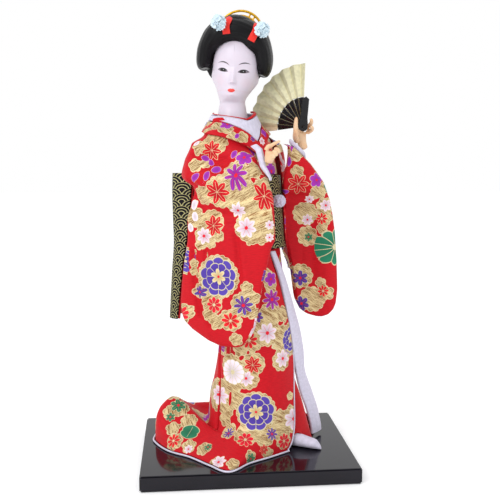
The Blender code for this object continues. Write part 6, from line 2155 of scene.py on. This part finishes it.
class FIGURINE_OT_hair(bpy.types.Operator):
    """Wig: side wings, crown and front roll"""

    bl_idname = "figurine.hair"
    bl_label = "Hair"

    def execute(self, context):
        mat = hair_material(context.scene.figurine_head)
        parts = []
        maps = []
        count = 150
        sides = 110
        t = np.linspace(0, len(WIG_ARCH) - 1, count)
        row = curve(np.arange(len(WIG_ARCH), dtype=float), WIG_ARCH, t)
        run = unit(np.gradient(row[:, :2], axis=0))
        a = circle(sides)[None]
        share = np.linspace(0, 1, count)[:, None]
        ridge = 1 + lock_ridges(a, share * 4, 17, 0.010)
        x = row[:, 0:1] - run[:, 1:2] * np.cos(a) * row[:, 2:3] * ridge
        z = row[:, 1:2] + run[:, 0:1] * np.cos(a) * row[:, 2:3] * ridge
        y = row[:, 4:5] + np.sin(a) * row[:, 3:4] * ridge
        arch = clear_of_head(np.stack([x, y, z], -1), WIG_GAP)
        parts.append(loft(head_place(arch)))
        maps.append(np.stack(np.broadcast_arrays(share * 120, a * 9), -1).reshape(-1, 2))
        v = np.linspace(0.02, math.pi - 0.02, 90)[:, None]
        a2 = circle(150)[None]
        swell = 1 + lock_ridges(a2, v, 19, 0.008)
        way = ball_ways(v, a2)
        roll = np.array((-0.0022, -0.0015, 0.0462)) + way * np.array((0.0118, 0.0120,
                                                                      0.0074)) * swell[..., None]
        parts.append(loft(head_place(clear_of_head(roll, WIG_GAP))))
        maps.append(np.stack(np.broadcast_arrays(v * 14, a2 * 9), -1).reshape(-1, 2))
        outer, inner = crown_pair(150, 90)
        parts.append(closed_pair(head_place(outer), head_place(inner), True))
        cap = np.stack(np.broadcast_arrays(np.linspace(0, 26, 90)[None],
                                           np.linspace(0, 60, 150)[:, None]), -1)
        maps.append(np.concatenate([cap.reshape(-1, 2)] * 2))
        points, faces = join(parts)
        obj = make_mesh("wig_hair", points, faces, mat, slot="hair", replaces=("wig",))
        whole = np.zeros((len(points), 2))
        start = 0
        for (piece, _), m in zip(parts, maps):
            whole[start:start + len(m)] = m
            start += len(piece)
        mesh_uv(obj, whole)
        return {"FINISHED"}


RIBBON_LEFT = ((231.2, 17.6), (227.6, 21.5), (225.8, 26.5), (226.6, 34.0))
RIBBON_RIGHT = ((255.8, 23.2), (255.9, 30.0), (253.4, 36.0), (250.8, 41.0))


class FIGURINE_OT_ornaments(bpy.types.Operator):
    """Comb, red ribbons and the two bunches of pale blue petals"""

    bl_idname = "figurine.ornaments"
    bl_label = "Hair ornaments"

    def execute(self, context):
        scene = context.scene
        look = scene.figurine_head
        camera = camera_frame(scene.figurine_studio)
        tree = mesh_tree(bpy.data.objects["wig_hair"].data)
        silk = plain_material("ribbon_silk", look.ribbon, 0.5, 0.25)
        for name, places in (("left", RIBBON_LEFT), ("right", RIBBON_RIGHT)):
            spine = curve(np.arange(4.0), np.array(places), np.linspace(0, 3, 40))
            run = unit(np.gradient(spine, axis=0))
            side = np.stack([-run[:, 1], run[:, 0]], -1)
            wide = np.interp(np.linspace(0, 1, 40), (0, 0.15, 0.6, 1), (1.4, 3.0, 3.6, 3.6))
            rows = []
            for w in np.linspace(-1, 1, 14):
                lane_points = []
                for (u, v), s, half in zip(spine, side, wide):
                    start, way = photo_way(camera, u + s[0] * w * half, v + s[1] * w * half)
                    hit = tree.ray_cast(start, way)[0]
                    if hit is None:
                        hit = tree.find_nearest(start + way * CAMERA_REACH)[0]
                    rise = GAP + 0.0008 + 0.0005 * (1 - w * w)
                    lane_points.append(np.array(hit) - np.array(way) * rise)
                rows.append(lane_points)
            p = relax(np.array(rows), 6)
            points, faces = shell(p, 0.0006)
            obj = make_mesh(f"hair_ribbon_{name}_silk", points, faces, silk, slot="ribbon",
                            replaces=(f"hair_ribbon_{name}",))
            cloth_map(obj, p)
        self.petals(look)
        self.comb(look)
        return {"FINISHED"}

    def petals(self, look):
        """Bunches of cupped petals set by the golden angle over a half ball."""
        mat, tree, shader = new_material("blossom_petals")
        tint = read(tree, "petal_tint")
        deep = dim(look.blossom, 0.62)
        wire(blend(tint, deep, look.blossom), shader, "Base Color")
        set_finish(shader, 0.7, sheen=0.3)
        grain = noise(coordinates(tree, (1500, 1500, 1500), uv=False), 1.0, 2.0, 0.5)
        relief(shader, grain, 0.3, WEAVE_DEPTH)
        for side in ("left", "right"):
            low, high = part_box(f"hair_flower_{side}")
            middle = np.array((low + high) / 2)
            half = np.array((high - low) / 2)
            parts = []
            tints = []
            for k in range(look.petals):
                z = 1 - 2 * (k + 0.5) / look.petals
                a = k * GOLDEN_ANGLE
                out = np.array([math.sqrt(1 - z * z) * math.cos(a),
                                math.sqrt(1 - z * z) * math.sin(a), z])
                seat = middle + out * half * (0.74 + 0.15 * math.sin(7.3 * k))
                side_way = unit(np.cross(out, (math.sin(5.1 * k), math.cos(2.3 * k), 0.9)))
                up_way = np.cross(out, side_way)
                u = np.linspace(-1, 1, 9)[:, None]
                v = np.linspace(-1, 1, 9)[None]
                r = np.sqrt(np.clip(1 - v * v * 0.75, 0.2, 1))
                cup = 0.0006 * (u * u + v * v) - 0.0002
                size = 0.0013 * (1 + 0.35 * math.sin(3.1 * k))
                p = (seat + (u * r * size)[..., None] * side_way
                     + (v * size * 1.2 + 0 * u)[..., None] * up_way + cup[..., None] * out)
                part = shell(p, 0.0002)
                parts.append(part)
                rim = np.clip(np.sqrt(u * u + v * v), 0, 1)
                tints.append(np.concatenate([rim.ravel(), rim.ravel()]))
            core = loft(ball(middle, half * 0.70, 14, 20))
            parts.append(core)
            tints.append(np.zeros(len(core[0])))
            points, faces = join(parts)
            obj = make_mesh(f"hair_flower_{side}_petals", points, faces, mat, slot="blossom",
                            replaces=(f"hair_flower_{side}",))
            keep(obj.data, "petal_tint", "FLOAT", np.concatenate(tints))

    def comb(self, look):
        """Swept hoop over a pierced crescent of bands, rings and bars."""
        mat, shader, grain = grained_material("comb_gold", (900, 900, 900), 3.0, 0.6, (0.3, 0.6),
                                              dim(look.comb, 0.55), look.comb)
        set_finish(shader, 0.32, metallic=0.75)
        relief(shader, grain, 0.3, 0.0001)
        centre = np.array([-0.0003, 0.0085, 0.0439])

        def arc(radius, first, last, count):
            a = np.radians(np.linspace(first, last, count))
            return centre + np.stack([np.sin(a) * radius, 0 * a, np.cos(a) * radius], -1)

        parts = []
        for radius, thick, first, last in (
            (0.01470, 0.00080, -78, 78), (0.01160, 0.00070, -76, 76), (0.00780, 0.00065, -76, 76),
        ):
            parts.append(loft(head_place(rod(arc(radius, first, last, 120), thick, 14, 0.75,
                                             (0, 1, 0)))))
        for angle in np.linspace(-68, 68, 15):
            ring = np.linspace(0, 2 * math.pi, 28)
            spot = arc(0.0097, angle, angle, 1)[0]
            loop = spot + np.stack([np.cos(ring) * 0.00105, 0 * ring, np.sin(ring) * 0.00135], -1)
            parts.append(loft(head_place(rod(loop, 0.00030, 8, 1.0, (0, 1, 0)))))
        for angle in (-74, -35, 20, 34, 74):
            bar = np.stack([arc(r, angle, angle, 1)[0] for r in (0.0112, 0.0130, 0.0149)])
            parts.append(loft(head_place(rod(bar, 0.0006, 10, 0.8, (0, 1, 0)))))
        points, faces = join(parts)
        make_mesh("comb_gold_work", points, faces, mat, slot="gold", replaces=("comb",))


def relax(p, rounds):
    """Averages the inner points of a grid with their four neighbours."""
    for _ in range(rounds):
        mean = (p[:-2, 1:-1] + p[2:, 1:-1] + p[1:-1, :-2] + p[1:-1, 2:]) / 4
        p[1:-1, 1:-1] = (p[1:-1, 1:-1] + mean) / 2
        p[0, 1:-1] = (p[0, 1:-1] + (p[0, :-2] + p[0, 2:]) / 2) / 2
        p[-1, 1:-1] = (p[-1, 1:-1] + (p[-1, :-2] + p[-1, 2:]) / 2) / 2
    return p


# Hands, fan and foot

def finger(points, radii, count=18, sides=14):
    """Tapered rod with rounded ends through a few joints, its radii in millimetres."""
    knots = np.linspace(0, 1, len(points))
    t = np.linspace(0, 1, count)
    path = curve(knots, np.array(points), t)
    tip = np.maximum(np.abs(2 * t - 1) - 0.82, 0) / 0.185
    radius = np.interp(t, knots, np.array(radii) * MM) * np.sqrt(np.clip(1 - tip ** 2, 0.02, 1))
    return loft(rod(path, radius, sides, up=(0.1, 1, 0.1)))


def right_point(s, h, depth):
    """Point of the right sleeve's plane from millimetres across, up and out of it."""
    return in_right_plane(np.array([s * MM]), np.array([h * MM]), depth * MM)[0]


def left_point(x, y, h):
    """Point from millimetres across, back and above the board."""
    return np.array([x * MM, y * MM, DECK + h * MM])


# Joints of each finger and their radii, in millimetres, and the left hand's count of rings
RIGHT_FINGERS = (
    (((30.6, 189.0, 0.0), (31.5, 192.6, 0.1), (32.3, 196.4, 0.1)), (2.4, 3.1, 3.4)),
    (((31.2, 198.6, 0.6), (34.5, 200.7, 0.8), (38.6, 202.4, 0.6)), (1.35, 1.10, 0.75)),
    (((29.6, 196.8, 1.4), (31.0, 199.0, 1.8), (32.6, 200.4, 1.6)), (1.6, 1.2, 0.8)),
    (((34.0, 197.8, -0.8), (36.6, 197.2, -0.9), (37.4, 194.9, -0.8)), (1.35, 1.15, 1.0)),
    (((33.6, 196.2, 0.4), (35.9, 195.3, 0.8), (36.2, 193.2, 0.8)), (1.35, 1.15, 0.95)),
    (((32.8, 194.6, 1.2), (34.6, 193.6, 1.6), (34.9, 191.8, 1.4)), (1.3, 1.1, 0.9)),
)
PALM = -4.0 + 5.9
LEFT_FINGERS = (
    (((40.0, PALM, 198.4), (38.2, PALM, 204.0), (37.6, PALM, 210.4)), (2.6, 3.1, 3.5), 18),
    (((36.4, PALM, 207.0), (37.0, PALM + 0.3, 211.6), (39.4, PALM + 0.3, 213.4)),
     (3.0, 2.6, 2.0), 18),
    (((35.2, PALM, 203.5), (33.4, -3.0, 206.6), (32.7, -7.2, 209.4), (32.6, -8.2, 214.0),
      (33.0, -8.1, 219.3)), (2.0, 2.0, 1.7, 1.5, 1.0), 30),
    (((41.2, PALM, 212.6), (43.2, -2.4, 214.8), (43.5, -5.0, 216.4), (42.8, -6.4, 218.3)),
     (1.5, 1.4, 1.2, 0.9), 24),
    (((41.6, PALM, 209.6), (43.8, -2.2, 211.0), (44.0, -4.8, 212.2), (43.0, -6.0, 213.6)),
     (1.6, 1.4, 1.2, 0.9), 24),
)


class FIGURINE_OT_hands(bpy.types.Operator):
    """Right hand pointing level, left hand round the fan, and the foot in its sock"""

    bl_idname = "figurine.hands"
    bl_label = "Hands and foot"

    def execute(self, context):
        scene = context.scene
        colour = scene.figurine_head.hand
        warm = (colour[0] * 0.96, colour[1] * 0.86, colour[2] * 0.78)
        mat, shader, _ = grained_material("hand_paint", (160, 160, 160), 3.0, 0.5, (0.35, 0.65),
                                          warm, colour)
        set_finish(shader, 0.45, specular=0.4)
        shader.inputs["Subsurface Weight"].default_value = 0.08
        shader.inputs["Subsurface Radius"].default_value = (0.002, 0.001, 0.0006)

        right = [finger([right_point(*p) for p in joints], radii) for joints,
                 radii in RIGHT_FINGERS]
        obj = make_mesh("hand_right_skin", *join(right), mat, slot="hand_skin",
                        replaces=("hand_right",))
        merged(obj, 0.00026, 5)
        left = [finger([left_point(*p) for p in joints], radii, count)
                for joints, radii, count in LEFT_FINGERS]
        obj = make_mesh("hand_left_skin", *join(left), mat, slot="hand_skin",
                        replaces=("hand_left",))
        merged(obj, 0.00026, 5)

        sock = plain_material("sock_cotton", scene.figurine_plain.white, 0.8, 0.35)
        obj = make_mesh("foot_left_sock", *loft(foot_rings()), sock, slot="white_cloth",
                        replaces=("foot_left",))
        flat_map(obj)
        return {"FINISHED"}


class FIGURINE_OT_fan(bpy.types.Operator):
    """Folding fan: pleated leaf, separate ribs, guard and rivet"""

    bl_idname = "figurine.fan"
    bl_label = "Fan"

    def execute(self, context):
        look = context.scene.figurine_fan
        paper, tree, shader = new_material("gold_paper")
        edge = read(tree, "fold_edge")
        warm = read(tree, "low_side")
        sheen = noise(coordinates(tree, (400, 400, 400), uv=False), 1.0, 2.0, 0.5)
        base = blend(ramp(sheen, 0.3, 0.7), dim(look.paper, 0.82), look.paper)
        base = blend(mul(edge, 0.8), base, (0.66, 0.60, 0.30))
        base = blend(mul(warm, 0.5), base, (0.70, 0.46, 0.30))
        wire(base, shader, "Base Color")
        set_finish(shader, 0.45, metallic=0.05, specular=0.4)
        relief(shader, sheen, 0.15, 0.0001)

        angle = np.linspace(FAN_START, FAN_END, 2 * FAN_FOLDS * 6 + 1)[:, None]
        radius = np.linspace(FAN_INNER + GAP, FAN_RADIUS, 40)[None]
        phase = (angle - FAN_START) / (FAN_END - FAN_START) * 2 * FAN_FOLDS
        wave = 1 - 2 * np.abs(phase % 2 - 1)
        fold = -np.clip(wave * 1.08, -1, 1)
        depth = -fold * FAN_FOLD_DEPTH * radius / FAN_RADIUS
        grid = fan_point(radius * (1 + 0 * angle), angle, depth)
        points, faces = shell(grid, FAN_PAPER)
        obj = make_mesh("fan_leaf_paper", points, faces, paper, slot="fan_paper",
                        replaces=("fan_leaf",))
        obj.data.set_sharp_from_angle(angle=math.radians(35))
        line = smooth(np.abs(wave), 0.80, 1.0) * (wave > 0) + 0 * radius
        low = smooth(angle, 170, 182) + 0 * radius
        keep(obj.data, "fold_edge", "FLOAT", np.tile(line.ravel(), 2))
        keep(obj.data, "low_side", "FLOAT", np.tile(low.ravel(), 2))

        black, tree, shader = new_material("rib_lacquer")
        grain = noise(coordinates(tree, (300, 300, 300), uv=False), 1.0, 2.0, 0.5)
        ink = blend(ramp(grain, 0.3, 0.7), dim(look.ribs, 0.6), look.ribs)
        rim = ramp(read(tree, "blade_edge"), 0.80, 1.00, 0.0, 0.6)
        wire(blend(rim, ink, (0.26, 0.20, 0.09)), shader, "Base Color")
        set_finish(shader, 0.14, coat=0.12, specular=0.25)
        parts = []
        edges = []
        step = (FAN_END - FAN_START) / FAN_FOLDS
        for k in range(FAN_FOLDS):
            middle = FAN_START + step * (k + 0.5)
            radii = np.linspace(0.0026, FAN_INNER, 24)[None]
            across = np.linspace(-1, 1, 7)[:, None]
            half = np.minimum(step * 0.49, np.degrees(0.0026 / radii))
            slope = 0.0005 * across * radii / FAN_INNER + (k % 2) * 0.0001
            blade = fan_point(radii + 0 * across, middle + across * half, slope)
            parts.append(shell(blade, FAN_PAPER * 1.3))
            edges.append(np.tile((np.abs(across) + 0 * radii).ravel(), 2))
        obj = make_mesh("fan_rib_blades", *join(parts), black, slot="fan_black",
                        replaces=("fan_ribs",))
        keep(obj.data, "blade_edge", "FLOAT", np.concatenate(edges))

        guard_depth = -(FAN_PAPER * 0.8 + FAN_FOLD_DEPTH * 0.5 + GAP + GUARD_THICK / 2)
        a = np.radians(np.linspace(180, 360, 33))
        outline = list(zip(GUARD_WIDTH * 0.72 * np.cos(a), GUARD_WIDTH * 0.72 * np.sin(a)))
        outline += [(GUARD_WIDTH * 0.52, 0.006), (GUARD_WIDTH * 0.5, FAN_INNER - 0.0012)]
        outline += [(0.0, FAN_INNER + 0.0004), (-GUARD_WIDTH * 0.5, FAN_INNER - 0.0012)]
        outline += [(-GUARD_WIDTH * 0.52, 0.006)]
        outline = np.array(outline)
        tilt = math.radians(GUARD_ANGLE - 90)
        middle = outline.mean(0)
        rings = []
        for side, share in ((-1, 0.92), (-0.6, 1.0), (0.6, 1.0), (1, 0.92)):
            shape = middle + (outline - middle) * share
            x = shape[:, 0] * math.cos(tilt) - shape[:, 1] * math.sin(tilt)
            z = shape[:, 0] * math.sin(tilt) + shape[:, 1] * math.cos(tilt)
            y = np.full(len(x), FAN_Y + guard_depth + side * GUARD_THICK / 2)
            rings.append(np.column_stack([FAN_X + x, y, DECK + FAN_LEVEL + z]))
        obj = make_mesh("fan_guard_stick", *loft(np.array(rings)), black, slot="fan_black",
                        replaces=("fan_guard",))
        obj.data.set_sharp_from_angle(angle=math.radians(40))
        a = circle(40)
        rings = []
        for depth, size in ((0.0, 1.0), (0.0003, 1.0), (0.0006, 0.8), (0.0007, 0.45)):
            y = FAN_Y + guard_depth - GUARD_THICK / 2 - GAP - depth
            rings.append(np.column_stack([
                FAN_X + RIVET_RADIUS * size * np.cos(a), np.full(40, y),
                DECK + FAN_LEVEL + RIVET_RADIUS * size * np.sin(a),
            ]))
        obj = make_mesh("fan_rivet_head", *loft(np.array(rings)), black, slot="fan_black",
                        replaces=("fan_rivet",))
        return {"FINISHED"}


# Board, hidden parts, studio

class FIGURINE_OT_board(bpy.types.Operator):
    """Lacquer on the board, wood on the peg and padding on the trunk"""

    bl_idname = "figurine.board"
    bl_label = "Board and hidden parts"

    def execute(self, context):
        look = context.scene.figurine_fan
        mat, shader, haze = grained_material("board_lacquer", (40, 40, 40), 3.0, 0.6, (0.3, 0.7),
                                             dim(look.lacquer, 0.7), look.lacquer)
        set_finish(shader, 0.09, coat=0.12, specular=0.22)
        wire(ramp(haze, 0.2, 0.8, 0.07, 0.12), shader, "Roughness")
        paint("base_board", mat)
        wood, shader, grain = grained_material("peg_wood", (900, 900, 60), 4.0, 0.6, None,
                                               (0.30, 0.16, 0.07), (0.50, 0.32, 0.16))
        set_finish(shader, 0.7)
        relief(shader, grain, 0.3, 0.0002)
        paint("support_post", wood)
        pad, shader, fluff = grained_material("trunk_padding", (500, 500, 500), 4.0, 0.7, None,
                                              (0.55, 0.50, 0.42), (0.78, 0.74, 0.66))
        set_finish(shader, 0.95, sheen=0.3)
        relief(shader, fluff, 0.6, 0.0004)
        paint("body_form", pad)
        return {"FINISHED"}


def paint(node, mat):
    """Gives a solid of the frame its finish."""
    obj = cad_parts[node]
    obj.data.materials.clear()
    obj.data.materials.append(mat)


class FIGURINE_OT_studio(bpy.types.Operator):
    """Camera, pale floor and soft lights"""

    bl_idname = "figurine.studio"
    bl_label = "Studio"

    def execute(self, context):
        scene = context.scene
        look = scene.figurine_studio
        place, right, up, back = camera_frame(look)
        data = bpy.data.cameras.new("camera")
        data.lens = look.lens
        data.sensor_width = 36
        data.clip_start = 0.01
        data.dof.use_dof = False
        camera = bpy.data.objects.new("camera", data)
        scene.collection.objects.link(camera)
        turn = Matrix((right, up, back)).transposed().to_4x4()
        camera.matrix_world = Matrix.Translation(Vector(place)) @ turn
        scene.camera = camera

        mat, _, shader = new_material("studio_floor")
        shader.inputs["Base Color"].default_value = (*look.floor, 1)
        shader.inputs["Roughness"].default_value = 0.9
        shader.inputs["Emission Color"].default_value = (1, 1, 1, 1)
        shader.inputs["Emission Strength"].default_value = 0.14
        wide = 6.0
        corners = [(-wide, -wide, -0.0002), (wide, -wide, -0.0002), (wide, wide, -0.0002),
                   (-wide, wide, -0.0002)]
        mesh = bpy.data.meshes.new("studio_floor")
        mesh.from_pydata(corners, [], [(0, 1, 2, 3)])
        mesh.materials.append(mat)
        floor = bpy.data.objects.new("studio_floor", mesh)
        scene.collection.objects.link(floor)

        for name, spot, size, power in (
            ("key_light", (-0.75, -0.80, 0.95), 0.70, look.key_power),
            ("fill_light", (0.95, -0.70, 0.55), 0.80, look.fill_power),
        ):
            light = bpy.data.lights.new(name, "AREA")
            light.shape = "SQUARE"
            light.size = size
            light.energy = power
            lamp = bpy.data.objects.new(name, light)
            scene.collection.objects.link(lamp)
            lamp.location = spot
            aim = Vector((0, 0, 0.16)) - Vector(spot)
            lamp.rotation_euler = aim.to_track_quat("-Z", "Y").to_euler()
        world = bpy.data.worlds.new("studio_white")
        world.use_nodes = True
        sky = world.node_tree.nodes["Background"]
        sky.inputs["Color"].default_value = (1.0, 1.0, 1.0, 1.0)
        sky.inputs["Strength"].default_value = look.world_light
        scene.world = world
        scene.view_settings.view_transform = "Standard"
        return {"FINISHED"}


class FIGURINE_PT_panel(bpy.types.Panel):
    """Steps and settings of the figurine"""

    bl_idname = "FIGURINE_PT_panel"
    bl_label = "Figurine"
    bl_space_type = "VIEW_3D"
    bl_region_type = "UI"
    bl_category = "Figurine"

    def draw(self, context):
        layout = self.layout
        for name, settings in SETTINGS.items():
            box = layout.box()
            group = getattr(context.scene, name)
            for key in settings.__annotations__:
                box.prop(group, key)
        for operator in OPERATORS:
            layout.operator(operator.bl_idname)


SETTINGS = {
    "figurine_studio": StudioSettings,
    "figurine_brocade": BrocadeSettings,
    "figurine_plain": PlainClothSettings,
    "figurine_head": HeadSettings,
    "figurine_fan": FanSettings,
}
OPERATORS = (
    FIGURINE_OT_brocade, FIGURINE_OT_plain_clothes, FIGURINE_OT_sash, FIGURINE_OT_head,
    FIGURINE_OT_hair, FIGURINE_OT_ornaments, FIGURINE_OT_hands, FIGURINE_OT_fan,
    FIGURINE_OT_board, FIGURINE_OT_studio,
)
CLASSES = (*SETTINGS.values(), *OPERATORS, FIGURINE_PT_panel)


def register():
    for cls in CLASSES:
        bpy.utils.register_class(cls)
    for name, settings in SETTINGS.items():
        setattr(bpy.types.Scene, name, bpy.props.PointerProperty(type=settings))


def unregister():
    for name in SETTINGS:
        delattr(bpy.types.Scene, name)
    for cls in reversed(CLASSES):
        bpy.utils.unregister_class(cls)


def main():
    register()
    for operator in OPERATORS:
        group, step = operator.bl_idname.split(".")
        getattr(getattr(bpy.ops, group), step)()


if __name__ == "__main__":
    main()
